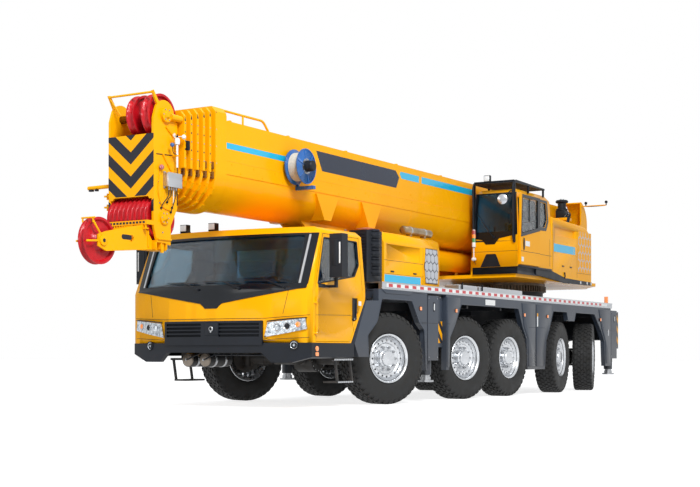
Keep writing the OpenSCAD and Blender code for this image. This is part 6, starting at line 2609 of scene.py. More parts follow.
@dataclass
class Superstructure:
    """Housing and turntable: recess, films, hexagons, skirt, swivel, camera arm and winch rope."""

    shop: Shop
    skin: float = 1.45
    low: float = 2.148
    foot_pin: Pair = (-8.9, 3.42)

    def build(self) -> None:
        """Models and dresses the pieces."""
        self.body = self.shop.body_of("turntable_frame")
        self.housing()
        self.skirts()
        self.honeycomb()
        self.hose_drum()
        self.camera_arm()
        self.winch_rope()

    def housing(self) -> None:
        """Dresses the housing: rounded edges, the recess, film and panel gaps."""
        shop = self.shop
        piece = shop.repaint("machinery_housing", [], CRANE_ENAMEL, "yellow")
        shop.soften(
            piece, lambda m: abs(m.y) > self.skin - 0.002 and m.z > self.low + 0.05, 0.05, 4
        )
        shop.cut(
            piece,
            shop.box(
                (-7.22, -6.19), (self.skin - 0.03, self.skin + 0.05), (2.95, 3.1), CRANE_ENAMEL,
                0.012
            )
        )
        parts = [
            shop.box(
                (-7.16, -6.15), (self.skin - 0.001, self.skin + 0.0012), (2.64, 2.79), CYAN_FILM
            ),
            shop.box(
                (-7.235, -7.175), (self.skin - 0.001, self.skin + 0.0012), (2.64, 2.79), CYAN_FILM
            )
        ]
        shop.mount("housing_film", parts, self.body, "blue")
        gaps = []
        for sign in (-1, 1):
            y = (self.skin - 0.002, self.skin + 0.0007) if sign > 0 else (
                -self.skin - 0.0007, -self.skin + 0.002
            )
            for x in (-7.335, -6.1 if sign > 0 else -5.3):
                gaps.append(shop.box((x - 0.003, x + 0.003), y, (2.2, 3.16), MOULDED_BLACK))
            gaps.append(shop.box((-8.1, -7.335), y, (2.297, 2.303), MOULDED_BLACK))
            for x in (-6.6, -7.0):
                outer = (self.skin - 0.001, self.skin + 0.012) if sign > 0 else (
                    -self.skin - 0.012, -self.skin + 0.001
                )
                gaps.append(
                    shop.box((x - 0.05, x + 0.05), outer, (2.38, 2.4), MOULDED_BLACK, 0.004)
                )
        grille = shop.box(
            (-7.9, -7.45), (-self.skin - 0.004, -self.skin + 0.002), (2.5, 2.512), MOULDED_BLACK
        )
        gaps.append(shop.row(grille, 20, (0, 0, 0.03)))
        shop.mount("housing_panel_gaps", gaps, self.body, "black")

    def skirts(self) -> None:
        """Models the black skirt under cab and housing, its hook and the rear marker labels."""
        shop = self.shop
        y = self.skin
        parts = [
            shop.plate(
                [
                    (-5.3, 2.268), (-6.06, 2.268), (-6.3, 2.235), (-6.72, 2.17), (-8.14, 2.15),
                    (-8.14, 2.09), (-6.8, 2.075), (-6.35, 2.1), (-5.3, 2.16)
                ],
                Normal.Y, (y - 0.045, y + 0.004), MOULDED_BLACK, 0.003
            ),
            shop.pipe(
                [(-6.67, y + 0.002, 2.16), (-6.67, y + 0.02, 2.2), (-6.67, y + 0.012, 2.25)],
                0.012, MOULDED_BLACK, 0.01, 2
            ),
            shop.box((-6.69, -6.65), (y - 0.002, y + 0.02), (2.25, 2.275), MOULDED_BLACK, 0.004)
        ]
        shop.mount("turntable_skirt", parts, self.body, "black")
        plain = [
            shop.box((x, x + 0.05), (y + 0.003, y + 0.005), (2.098, 2.145), WHITE_FILM)
            for x in (-7.55, -7.9, -8.12)
        ]
        shop.mount("turntable_blank_labels", plain, self.body, "bright")

    def honeycomb(self) -> None:
        """Lays the printed pattern of upright hexagons on the housing's rear part."""
        shop = self.shop
        window = [(-8.1, 2.33), (-7.4, 2.33), (-7.4, 3.12), (-8.1, 3.12)]
        parts = []
        for outer, inner in zip(
            hexagons(window, (0.15, 0.2), 0.0), hexagons(window, (0.15, 0.2), 0.012)
        ):
            parts.append(
                shop.plate(outer, Normal.Y, (self.skin - 0.001, self.skin + 0.0010), HEX_GREY)
            )
            parts.append(
                shop.plate(inner, Normal.Y, (self.skin - 0.001, self.skin + 0.0018), CRANE_ENAMEL)
            )
        shop.mount("housing_hexagons", parts, self.body, "yellow")

    def hose_drum(self) -> None:
        """Models the valve block and swivel that stand on the left side plate, with their hoses."""
        shop = self.shop
        x, y = -8.43, 0.7
        parts = [
            shop.box((x - 0.13, x + 0.13), (0.54, 0.86), (3.44, 3.5), CRANE_ENAMEL, 0.006),
            shop.box((x - 0.1, x + 0.1), (y - 0.1, y + 0.1), (3.5, 3.66), MOULDED_BLACK, 0.012),
            shop.lathe(
                [
                    (0.0, 0.0), (0.115, 0.0), (0.115, 0.03), (0.085, 0.045), (0.085, 0.14),
                    (0.125, 0.16), (0.13, 0.185), (0.11, 0.21), (0.0, 0.215)
                ],
                (x, y, 3.66), (0, 0, 1), MOULDED_BLACK, 40
            ),
            shop.rod((x, y, 3.87), (x, y, 3.895), 0.045, ZINC_PLATE, 20, 0.004)
        ]
        for k in range(4):
            start = (x + 0.08 - 0.05 * k, y + 0.1, 3.53 + 0.03 * k)
            parts.append(
                shop.pipe(
                    [
                        start, (start[0] + 0.02, y + 0.17, 3.5 + 0.03 * k),
                        (x + 0.2 - 0.03 * k, y + 0.18, 3.36), (x + 0.28 - 0.05 * k, y + 0.1, 3.18)
                    ],
                    0.013, MOULDED_BLACK, 0.06, 1
                )
            )
            parts.append(
                shop.rod(
                    (start[0], y + 0.085, start[2]), (start[0], y + 0.115, start[2]), 0.018,
                    ZINC_PLATE, 6
                )
            )
        shop.mount("swivel_block", parts, self.body, "black")
        fittings = []
        for k, (fx, fz) in enumerate(((-8.62, 3.6), (-8.7, 3.63), (-9.02, 3.6), (-8.95, 3.66))):
            fittings.append(
                shop.rod(
                    (fx, 0.528, fz - 0.08), (fx, 0.528, fz + 0.05), 0.02, CRANE_ENAMEL, 16, 0.004
                )
            )
            fittings.append(
                shop.rod(
                    (fx, 0.528, fz + 0.05), (fx, 0.528, fz + 0.07), 0.026,
                    ZINC_PLATE if k % 2 else CRANE_ENAMEL, 6, 0.003
                )
            )
        cap_x, cap_z = self.foot_pin
        for sign in (-1, 1):
            bolt = shop.rod(
                (cap_x + 0.1, sign * 0.575, cap_z), (cap_x + 0.1, sign * 0.588, cap_z), 0.012,
                ZINC_PLATE, 6
            )
            fittings.append(shop.ring(bolt, 10, (cap_x, 0, cap_z), (0, 1, 0)))
        shop.mount("foot_pin_fittings", fittings, self.body, "yellow")

    def camera_arm(self) -> None:
        """Models the two small cameras on the arm at the left wing."""
        shop = self.shop
        x, z = -9.056, 3.792
        parts = []
        for y in (0.98, 1.42):
            parts.append(shop.rod((x, y, z), (x, y, z + 0.045), 0.012, MOULDED_BLACK, 12))
            parts.append(
                shop.lathe(
                    [
                        (0.0, -0.03), (0.018, -0.028), (0.03, -0.01), (0.032, 0.008), (0.02, 0.024),
                        (0.0, 0.03)
                    ],
                    (x, y, z + 0.065), (0, 0, 1), MOULDED_BLACK, 20
                )
            )
        parts.append(
            shop.pipe(
                [
                    (x, 0.99, z - 0.01), (x + 0.02, 1.1, z - 0.018), (x, 1.25, z - 0.014),
                    (x, 1.4, z - 0.01)
                ],
                0.005, MOULDED_BLACK, 0.05, 1
            )
        )
        shop.mount("wing_cameras", parts, self.body, "black")

    def winch_rope(self) -> None:
        """Winds rope on the hoist drum."""
        shop = self.shop
        turns, half, radius, rope = 26, 0.318, 0.176, 0.0115
        profile = [(0.15, -half)]
        for k in range(turns):
            y = -half + (2 * k + 1) * half / turns
            profile += [
                (radius, y - half / turns * 0.98), (radius + rope * 0.8, y - half / turns * 0.5),
                (radius + rope, y), (radius + rope * 0.8, y + half / turns * 0.5)
            ]
        profile += [(radius, half), (0.15, half)]
        x = self.foot_pin[0] + 0.15
        z = 2.085 + 0.085 + 0.225
        shop.mount(
            "hoist_rope",
            [shop.lathe(profile, (x, 0, z), (0, 1, 0), ROPE_GREY, 48)],
            self.body, "steel"
        )


@dataclass
class Boom:
    """The telescopic boom: films, seams, bolts, wear pads in the collars, rails, pipe and rope."""

    shop: Shop
    half: float = 0.46
    nose: float = 3.01
    pitch: float = 0.112
    collar: float = 0.045
    shrink: float = 0.03
    plate_shrink: float = 0.013
    top: float = 3.8
    axis_z: float = 3.1
    sections: int = 6

    def build(self) -> None:
        """Models the pieces of base and sections."""
        self.body = self.shop.body_of("boom_base")
        for side in Side:
            self.films(side)
        self.seams()
        for k in range(self.sections):
            self.collar_fittings(k)
        self.top_fittings()
        self.foot_fittings()

    def films(self, side: Side) -> None:
        """Lays cyan bands and the blank dark name panel on one side."""
        shop = self.shop
        y = (self.half - 0.001, self.half + 0.0012)
        proud = (self.half - 0.001, self.half + 0.0018)
        parts = [
            shop.plate(
                [(2.765, 3.435), (1.0, 3.435), (0.98, 3.514), (2.765, 3.514)],
                Normal.Y, y, CYAN_FILM
            ),
            shop.plate(
                [(-2.03, 3.7), (-2.0, 3.66), (-2.06, 3.59), (-2.66, 3.59), (-2.66, 3.7)],
                Normal.Y, y, CYAN_FILM
            ),
            shop.plate(
                [(-2.76, 3.7), (-2.76, 3.59), (-4.72, 3.59), (-4.78, 3.7)], Normal.Y, y, CYAN_FILM
            ),
            shop.plate(
                [(0.52, 3.7), (0.36, 3.42), (-1.88, 3.42), (-1.98, 3.6), (-1.86, 3.7)],
                Normal.Y, proud, CHARCOAL_FILM
            )
        ]
        if side is Side.RIGHT:
            parts = [shop.reflect(part) for part in parts]
        shop.mount("boom_films_" + side.word, parts, self.body, "blue")

    def seams(self) -> None:
        """Models the rows of bolt heads and the weld lines along both sides."""
        shop = self.shop
        parts = []
        for sign in (-1, 1):
            y = sign * self.half
            for z, start, count, step in (
                (3.235, 2.6, 22, 0.5), (3.135, 2.4, 22, 0.5), (3.36, -0.1, 12, 0.38)
            ):
                proud = 0.008 if z < 3.27 else 0.0
                bolt = shop.rod(
                    (start, y + sign * proud, z), (start, y + sign * (proud + 0.005), z), 0.011,
                    CRANE_ENAMEL, 6
                )
                parts.append(shop.row(bolt, count, (-step, 0, 0)))
            weld = shop.pipe(
                [(2.77, y + sign * 0.006, 3.272), (-9.1, y + sign * 0.006, 3.272)],
                0.0045, CRANE_ENAMEL, sides=1
            )
            low = shop.pipe(
                [(2.77, y + sign * 0.004, 3.097), (-9.1, y + sign * 0.004, 3.097)],
                0.0045, CRANE_ENAMEL, sides=1
            )
            parts += [weld, low]
        for x in (0.0, -2.4, -4.8, -7.2):
            ring = [
                (
                    x, -(self.half + 0.001) * math.cos(a),
                    self.axis_z - (self.half + 0.001) * math.sin(a)
                )
                for a in [math.pi * k / 36 for k in range(37)]
            ]
            parts.append(shop.pipe(ring, 0.004, CRANE_ENAMEL, sides=1))
        shop.mount("boom_seams", parts, self.body, "yellow")

    def collar_fittings(self, k: int) -> None:
        """Models wear pads and bolts of one collar, and dark plates on its sides that paint the
        shade in its slots.

        Args:
            k: the section, from the base.
        """
        shop = self.shop
        nose = self.nose + self.pitch * k
        flank = 0.505 - self.plate_shrink * k
        inner = self.half - self.shrink * (k + 1) + 0.002
        crown = self.top - self.shrink * k
        parts, dark = [], []
        for sign in (-1, 1):
            for low in (3.0, 3.125):
                y = sorted_pair(sign * inner, sign * (inner + 0.055))
                dark.append(
                    shop.box((nose - 0.004, nose + 0.03), y, (low, low + 0.09), WEAR_PAD, 0.006)
                )
                for bolt_z in (low + 0.025, low + 0.065):
                    spot = sign * (inner + 0.028)
                    parts.append(
                        shop.rod(
                            (nose + 0.028, spot, bolt_z), (nose + 0.036, spot, bolt_z), 0.009,
                            ZINC_PLATE, 6
                        )
                    )
            skin = sorted_pair(sign * (flank - 0.001), sign * (flank + 0.0012))
            depth = (nose - self.collar + 0.006, nose - 0.008)
            outline = [
                (depth[0], crown + 0.02), (depth[1], crown + 0.02),
                ((depth[0] + depth[1]) / 2 + 0.006, crown + 0.085)
            ]
            # Dark triangle and bars on the collar's side: painted shade of its slots
            dark.append(shop.plate(outline, Normal.Y, (skin[0], skin[1]), HAZARD_BLACK_AND_PAINTED_SHADE))
            for z in (3.3, 3.52):
                dark.append(
                    shop.box(
                        (depth[0] + 0.008, depth[1] - 0.006), (skin[0], skin[1]), (z, z + 0.022),
                        HAZARD_BLACK_AND_PAINTED_SHADE
                    )
                )
            for z in (3.2, 3.42, 3.64):
                parts.append(
                    shop.rod(
                        (nose - 0.022, sign * flank, z), (nose - 0.022, sign * (flank + 0.006), z),
                        0.009, ZINC_PLATE, 6
                    )
                )
        for angle in (-66, -52, -38, -22, -8, 8, 22, 38, 52, 66):
            a = math.radians(angle)
            radius = self.half - self.shrink * k + 0.034
            y, z = radius * math.sin(a), self.axis_z - radius * math.cos(a)
            parts.append(
                shop.rod((nose - 0.001, y, z), (nose + 0.007, y, z), 0.0095, CRANE_ENAMEL, 6)
            )
        node = "boom_base" if k == 0 else f"boom_section_{k}"
        shop.mount(f"collar_pads_{k}", dark, shop.body_of(node), "black")
        shop.mount(f"collar_bolts_{k}", parts, shop.body_of(node), "steel")

    def top_fittings(self) -> None:
        """Models the rail and pipe on the base section, the rope guides and the hoist rope."""
        shop = self.shop
        rail = [
            shop.pipe(
                [(2.86, 0.43, 3.93), (1.83, 0.43, 3.93), (1.7, 0.43, 3.8)],
                0.017, CRANE_ENAMEL, 0.06, 2
            ),
            shop.rod((2.3, 0.43, 3.798), (2.3, 0.43, 3.925), 0.014, CRANE_ENAMEL, 14),
            shop.pipe([(2.78, 0.27, 3.84), (-4.2, 0.27, 3.84)], 0.018, ALUMINIUM_AND_PAINTED_REFLECTION, sides=2)
        ]
        for x in (2.4, 1.0, -0.6, -2.2, -3.8):
            rail.append(
                shop.box((x - 0.02, x + 0.02), (0.235, 0.305), (3.799, 3.864), CRANE_ENAMEL, 0.006)
            )
        shop.mount("boom_top_rail", rail, self.body, "yellow")
        guides = []
        for x in (1.4, -1.6, -4.6, -7.4):
            guides.append(
                shop.lathe(
                    [
                        (0.0, -0.06), (0.03, -0.06), (0.022, -0.045), (0.022, 0.045), (0.03, 0.06),
                        (0.0, 0.06)
                    ],
                    (x, 0.06, 3.855), (0, 1, 0), MOULDED_BLACK, 20
                )
            )
            for y in (-0.01, 0.13):
                guides.append(
                    shop.box(
                        (x - 0.03, x + 0.03), (y - 0.006, y + 0.006), (3.798, 3.88), CRANE_ENAMEL,
                        0.004
                    )
                )
        guides.append(
            shop.pipe(
                [
                    (2.98, 0.06, 3.925), (1.4, 0.06, 3.886), (-1.6, 0.06, 3.885),
                    (-4.6, 0.06, 3.885), (-7.4, 0.06, 3.885), (-8.55, 0.06, 3.83)
                ],
                0.0085, ROPE_GREY, 0.05, 1
            )
        )
        guides.append(shop.box((-8.6, -8.5), (0.0, 0.12), (3.798, 3.845), CRANE_ENAMEL, 0.008))
        shop.mount("hoist_rope_guides", guides, self.body, "steel")

    def foot_fittings(self) -> None:
        """Models pin retainers with their bolts at the lift cylinder's lugs."""
        shop = self.shop
        parts = []
        for sign in (-1, 1):
            out = sign * 0.24
            bolt = shop.rod(
                (-0.4 + 0.085, out, 2.38), (-0.4 + 0.085, out + sign * 0.008, 2.38), 0.01,
                ZINC_PLATE, 6
            )
            parts.append(shop.ring(bolt, 8, (-0.4, 0, 2.38), (0, 1, 0)))
            parts.append(
                shop.lathe(
                    [(0.0, 0.0), (0.058, 0.0), (0.055, 0.01), (0.0, 0.012)],
                    (-0.4, out - sign * 0.002, 2.38), (0, sign, 0), CRANE_ENAMEL, 28
                )
            )
        shop.mount("lift_pin_caps", parts, self.body, "steel")


@dataclass
class BoomHead:
    """The boom head: chevrons, guards, junction box, wind meter, lamps and rods."""

    shop: Shop
    front: float = 4.07
    half: float = 0.364
    top: float = 3.45
    upper_pin: Pair = (3.855, 3.7)
    lower_pin: Pair = (3.88, 2.42)
    nose_pin: Pair = (4.9, 2.07)

    def build(self) -> None:
        """Models the head's pieces."""
        self.body = self.shop.body_of("boom_section_6")
        shop = self.shop

        def on_pin(m: Vector, pin: Pair) -> bool:
            """Tells whether a face is on a pin's end."""
            return math.hypot(m.x - pin[0], m.z - pin[1]) < 0.0502

        shop.repaint(
            "head_sheaves",
            [
                (lambda m: on_pin(m, self.upper_pin) and m.y < -0.05, BRONZE),
                (lambda m: abs(m.y) > self.half + 0.002 and m.x < 4.2, CRANE_ENAMEL)
            ],
            SHEAVE_RED, "sheave", 24.0
        )
        self.chevrons()
        self.sheave_guards()
        self.side_plates()
        self.junction_box()
        self.wind_meter()
        self.lamps()
        self.far_side_rods()
        self.nose_fittings()

    def chevrons(self) -> None:
        """Lays the dark V bands on the front plate and the side plates' edges."""
        shop = self.shop
        rise, thick, period, first = 0.306, 0.152, 0.299, 3.385
        foot = 2.69
        windows = [
            [(-self.half, foot), (self.half, foot), (self.half, self.top), (-self.half, self.top)],
            [
                (-self.half, 2.49), (-self.half + 0.032, 2.49), (-self.half + 0.032, foot),
                (-self.half, foot)
            ],
            [
                (self.half - 0.032, 2.49), (self.half, 2.49), (self.half, foot),
                (self.half - 0.032, foot)
            ]
        ]
        parts = []
        for k in range(5):
            low = first - period * k
            for sign in (-1, 1):
                band = [
                    (0.0, low), (sign * self.half, low + rise),
                    (sign * self.half, low + rise + thick), (0.0, low + thick)
                ]
                for window in windows:
                    outline = clipped(band, window)
                    if len(outline) > 2:
                        parts.append(
                            shop.plate(
                                outline, Normal.X, (self.front - 0.001, self.front + 0.0014),
                                HAZARD_BLACK_AND_PAINTED_SHADE
                            )
                        )
        shop.mount("chevrons", parts, self.body, "black")

    def sheave_guards(self) -> None:
        """Models the comb under the guard, the brace of the upper guard, its end pieces, and dark
        patches that paint the shade in the guard's perforations.
        """
        shop = self.shop
        parts = [
            shop.row(
                shop.box((4.158, 4.194), (-0.33, -0.318), (2.272, 2.32), CRANE_ENAMEL, 0.003),
                17, (0, 0.041, 0)
            ),
            shop.box((4.156, 4.196), (-self.half, self.half), (2.262, 2.276), CRANE_ENAMEL, 0.004),
            shop.pipe([(4.07, -0.352, 3.95), (4.02, -0.2, 3.72)], 0.007, CRANE_ENAMEL, sides=1),
            shop.rod((4.07, 0.362, 3.955), (4.085, 0.372, 3.973), 0.009, CRANE_ENAMEL, 10)
        ]
        for sign in (-1, 1):
            parts.append(
                shop.rod(
                    (4.07, sign * 0.334, 3.955), (4.07, sign * self.half, 3.955), 0.0195,
                    CRANE_ENAMEL, 16, 0.004
                )
            )
        # Dark boxes on the guard: painted shade of its perforations
        hole = shop.box((4.193, 4.1965), (-0.335, -0.30), (2.332, 2.358), HAZARD_BLACK_AND_PAINTED_SHADE)
        parts.append(shop.row(hole, 13, (0, 0.0525, 0)))
        shop.mount("sheave_guards", parts, self.body, "yellow")

    def side_plates(self) -> None:
        """Models gussets, pin retainers, weld seams and bolts on both side plates."""
        shop = self.shop
        parts = []
        for sign in (-1, 1):
            y = sign * self.half
            for (x0, z0), (x1, z1) in (((3.9, 3.21), (3.655, 2.93)), ((3.84, 3.56), (3.66, 3.43))):
                bar = shop.pipe(
                    [(x0, y + sign * 0.008, z0), (x1, y + sign * 0.008, z1)],
                    0.015, CRANE_ENAMEL, sides=1
                )
                parts.append(bar)
            seam = [(4.02, y + sign * 0.002, 3.2), (3.62, y + sign * 0.002, 3.22)]
            parts.append(
                shop.pipe(seam, 0.006, MOULDED_BLACK if sign > 0 else CRANE_ENAMEL, sides=1)
            )
            for pin, reach, circle in (
                (self.upper_pin, 0.04, 0.07), (self.lower_pin, 0.026, 0.062)
            ):
                bolt = shop.rod(
                    (pin[0] + circle, y + sign * reach, pin[1]),
                    (pin[0] + circle, y + sign * (reach + 0.007), pin[1]),
                    0.009, ZINC_PLATE, 6
                )
                parts.append(shop.ring(bolt, 6, (pin[0], 0, pin[1]), (0, 1, 0)))
            for x, z in (
                (3.66, 3.36), (3.66, 2.72), (3.98, 2.86), (3.96, 2.6), (3.7, 2.3), (3.9, 2.24)
            ):
                parts.append(shop.rod((x, y, z), (x, y + sign * 0.007, z), 0.011, ZINC_PLATE, 6))
            parts.append(
                shop.box(
                    (3.74, 4.0), sorted_pair(y, y + sign * 0.02), (2.145, 2.165), CRANE_ENAMEL,
                    0.003
                )
            )
            lip = [(3.615, y + sign * 0.001, 2.6), (3.615, y + sign * 0.001, 3.5)]
            parts.append(shop.pipe(lip, 0.0065, MOULDED_BLACK, sides=1))
        shop.mount("head_side_fittings", parts, self.body, "yellow")

    def junction_box(self) -> None:
        """Models the sheet metal junction box with glands and the leads that leave it."""
        shop = self.shop
        y = self.half
        parts = [
            shop.box((3.63, 3.89), (y + 0.012, y + 0.085), (2.81, 2.98), ALUMINIUM_AND_PAINTED_REFLECTION, 0.006),
            shop.box((3.625, 3.895), (y + 0.083, y + 0.092), (2.805, 2.985), ALUMINIUM_AND_PAINTED_REFLECTION, 0.003)
        ]
        for x in (3.65, 3.87):
            parts.append(
                shop.box(
                    (x - 0.02, x + 0.02), (y - 0.001, y + 0.014), (2.79, 3.0), ZINC_PLATE, 0.002
                )
            )
        for k in range(4):
            x = 3.7 + 0.045 * k
            parts.append(shop.rod((x, y + 0.05, 2.77), (x, y + 0.05, 2.812), 0.011, ZINC_PLATE, 8))
            foot = (x + (0.05, -0.02, 0.03, 0.1)[k], y + 0.012, (2.5, 2.56, 2.62, 2.54)[k])
            parts.append(
                shop.pipe(
                    [
                        (x, y + 0.05, 2.775), (x + 0.01, y + 0.055, 2.69),
                        (foot[0], y + 0.03, foot[2] + 0.05), foot
                    ],
                    0.006, WHITE_FILM if k == 1 else MOULDED_BLACK, 0.05, 1
                )
            )
            parts.append(
                shop.box(
                    (foot[0] - 0.012, foot[0] + 0.012), (y - 0.001, y + 0.02),
                    (foot[2] - 0.012, foot[2] + 0.012), MOULDED_BLACK, 0.003
                )
            )
        parts.append(
            shop.pipe(
                [
                    (3.95, y + 0.012, 3.0), (4.0, y + 0.012, 2.75), (3.93, y + 0.012, 2.55),
                    (3.75, y + 0.01, 2.52)
                ],
                0.006, CRANE_ENAMEL, 0.08, 1
            )
        )
        shop.mount("junction_box", parts, self.body, "bright")

    def wind_meter(self) -> None:
        """Models the wind meter: bracket, white mast, three cups and the blue lamp beside it."""
        shop = self.shop
        x, y, z = 3.7, self.half + 0.07, 3.16
        parts = [
            shop.box(
                (x - 0.02, x + 0.02), (self.half - 0.002, y + 0.02), (3.2, 3.215), CRANE_ENAMEL,
                0.004
            ),
            shop.rod((x, y, z - 0.1), (x, y, z + 0.2), 0.014, WHITE_FILM, 20, 0.003),
            shop.lathe(
                [
                    (0.0, 0.0), (0.03, 0.0), (0.034, 0.02), (0.034, 0.06), (0.026, 0.08),
                    (0.0, 0.085)
                ],
                (x, y, z + 0.19), (0, 0, 1), WHITE_FILM, 28
            ),
            shop.rod((x, y, z + 0.27), (x, y, z + 0.3), 0.012, MOULDED_BLACK, 16)
        ]
        for k in range(3):
            turn = math.radians(20 + 120 * k)
            cup = (x + 0.085 * math.cos(turn), y + 0.085 * math.sin(turn), z + 0.29)
            parts.append(shop.rod((x, y, z + 0.29), cup, 0.004, ZINC_PLATE, 8))
            across = (-math.sin(turn), math.cos(turn), 0.0)
            parts.append(
                shop.lathe(
                    [
                        (0.0, -0.028), (0.016, -0.024), (0.026, -0.01), (0.03, 0.0), (0.026, 0.0),
                        (0.018, -0.016), (0.0, -0.022)
                    ],
                    cup, across, WHITE_FILM, 20
                )
            )
        ball = (x + 0.11, y + 0.01, z + 0.17)
        parts.append(
            shop.lathe(
                [(0.0, -0.028), (0.02, -0.02), (0.028, 0.0), (0.02, 0.02), (0.0, 0.028)],
                ball, (0, 0, 1), REEL_BLUE, 20
            )
        )
        parts.append(
            shop.pipe(
                [(x, y, z + 0.06), (x + 0.09, y + 0.01, z + 0.07), (x + 0.11, y + 0.01, z + 0.15)],
                0.005, MOULDED_BLACK, 0.03, 1
            )
        )
        shop.mount("wind_meter", parts, self.body, "bright")

    def lamps(self) -> None:
        """Models the red position lamps at the head's sides and the camera by the last collar."""
        shop = self.shop
        parts = []
        for sign in (-1, 1):
            x, y, z = 3.955, sign * (self.half + 0.03), 3.04
            parts.append(
                shop.rod(
                    (x, sign * (self.half - 0.002), z), (x, y, z), 0.018, MOULDED_BLACK, 16, 0.003
                )
            )
            parts.append(
                shop.lathe(
                    [
                        (0.0, -0.02), (0.026, -0.018), (0.034, 0.0), (0.03, 0.016), (0.018, 0.028),
                        (0.0, 0.032)
                    ],
                    (x, y, z), (0, sign, 0), RED_LENS, 28
                )
            )
        parts.append(shop.box((3.49, 3.54), (0.44, 0.475), (3.3, 3.42), MOULDED_BLACK, 0.008))
        parts.append(shop.rod((3.515, 0.38, 3.36), (3.515, 0.45, 3.36), 0.012, CRANE_ENAMEL, 12))
        shop.mount("position_lamps", parts, self.body, "sheave")

    def far_side_rods(self) -> None:
        """Models the tube and the two brackets that stand out of the right side plate."""
        shop = self.shop
        y = -self.half
        parts = [
            shop.pipe(
                [(3.95, y + 0.002, 2.86), (3.98, y - 0.42, 2.85)], 0.026, CRANE_ENAMEL, sides=2
            ),
            shop.box((3.96, 4.0), (y - 0.4, y - 0.34), (2.805, 2.83), MOULDED_BLACK, 0.004),
            shop.box((3.96, 4.0), (y - 0.3, y - 0.26), (2.805, 2.83), MOULDED_BLACK, 0.004),
            shop.box((3.86, 4.02), (y - 0.012, y + 0.001), (2.78, 3.3), CRANE_ENAMEL, 0.004)
        ]
        for z in (2.72, 2.58):
            parts.append(
                shop.box((3.9, 3.98), (y - 0.16, y + 0.002), (z, z + 0.022), CRANE_ENAMEL, 0.004)
            )
            parts.append(
                shop.rod(
                    (3.94, y - 0.13, z - 0.03), (3.94, y - 0.13, z + 0.05), 0.014, CRANE_ENAMEL, 14,
                    0.003
                )
            )
        parts.append(
            shop.rod((3.94, y - 0.06, 2.5), (3.94, y - 0.06, 2.78), 0.009, CRANE_ENAMEL, 12)
        )
        parts.append(
            shop.rod(
                (self.upper_pin[0] + 0.12, y, 3.66), (self.upper_pin[0] + 0.12, y - 0.05, 3.66),
                0.018, CRANE_ENAMEL, 14, 0.004
            )
        )
        shop.mount("far_side_rods", parts, self.body, "yellow")

    def nose_fittings(self) -> None:
        """Models the nose sheave's rope guards, hub caps, the arm's ribs, and a dark plate that
        paints the shade in the arm's oblong hole.
        """
        shop = self.shop
        x, z = self.nose_pin
        outer, inner = 0.292, 0.108
        parts = []
        for y in (outer - 0.011, inner + 0.011):
            parts.append(
                shop.rod(
                    (x + 0.04, y, z - 0.005), (x + 0.265, y, z - 0.02), 0.013, CRANE_ENAMEL, 14,
                    0.004
                )
            )
            parts.append(
                shop.rod(
                    (x + 0.02, y, z + 0.06), (x + 0.16, y, z + 0.225), 0.013, CRANE_ENAMEL, 14,
                    0.004
                )
            )
        parts.append(
            shop.rod(
                (x + 0.16, inner - 0.005, z + 0.257), (x + 0.16, outer + 0.02, z + 0.257), 0.011,
                CRANE_ENAMEL, 14, 0.003
            )
        )
        for y in (outer - 0.011, inner + 0.011):
            parts.append(
                shop.rod((x + 0.155, y, z + 0.2), (x + 0.16, y, z + 0.257), 0.01, CRANE_ENAMEL, 12)
            )
        for y0, y1 in ((outer, outer + 0.02), (inner, inner - 0.02)):
            parts.append(shop.rod((x, y0, z), (x, y1, z), 0.062, CRANE_ENAMEL, 32, 0.005))
        parts.append(
            shop.box((4.08, 4.1), (outer - 0.001, outer + 0.012), (2.05, 2.28), CRANE_ENAMEL, 0.003)
        )
        for x0 in (3.8, 3.9, 4.0):
            parts.append(
                shop.box(
                    (x0, x0 + 0.018), (outer - 0.002, self.half - 0.004), (2.03, 2.112),
                    CRANE_ENAMEL, 0.002
                )
            )
        parts.append(
            shop.rod(
                (3.86, outer + 0.03, 1.99), (3.86, outer + 0.03, 2.12), 0.024, CRANE_ENAMEL, 18,
                0.004
            )
        )
        shop.mount("nose_fittings", parts, self.body, "yellow")
        # Dark oval plate on the arm: painted shade of its oblong hole
        oval = [
            (x0 + 0.03 * math.cos(math.radians(a)), 2.14 + 0.03 * math.sin(math.radians(a)))
            for x0, angles in ((4.545, range(-90, 91, 15)), (4.42, range(90, 271, 15)))
            for a in angles
        ]
        dark = [shop.plate(oval, Normal.Y, (outer - 0.002, outer + 0.0012), HAZARD_BLACK_AND_PAINTED_SHADE)]
        for y0, y1 in ((outer + 0.018, outer + 0.022), (inner - 0.018, inner - 0.022)):
            dark.append(shop.rod((x, y0, z), (x, y1, z), 0.026, HAZARD_BLACK_AND_PAINTED_SHADE, 6))
        shop.mount("nose_dark_fittings", dark, self.body, "black")


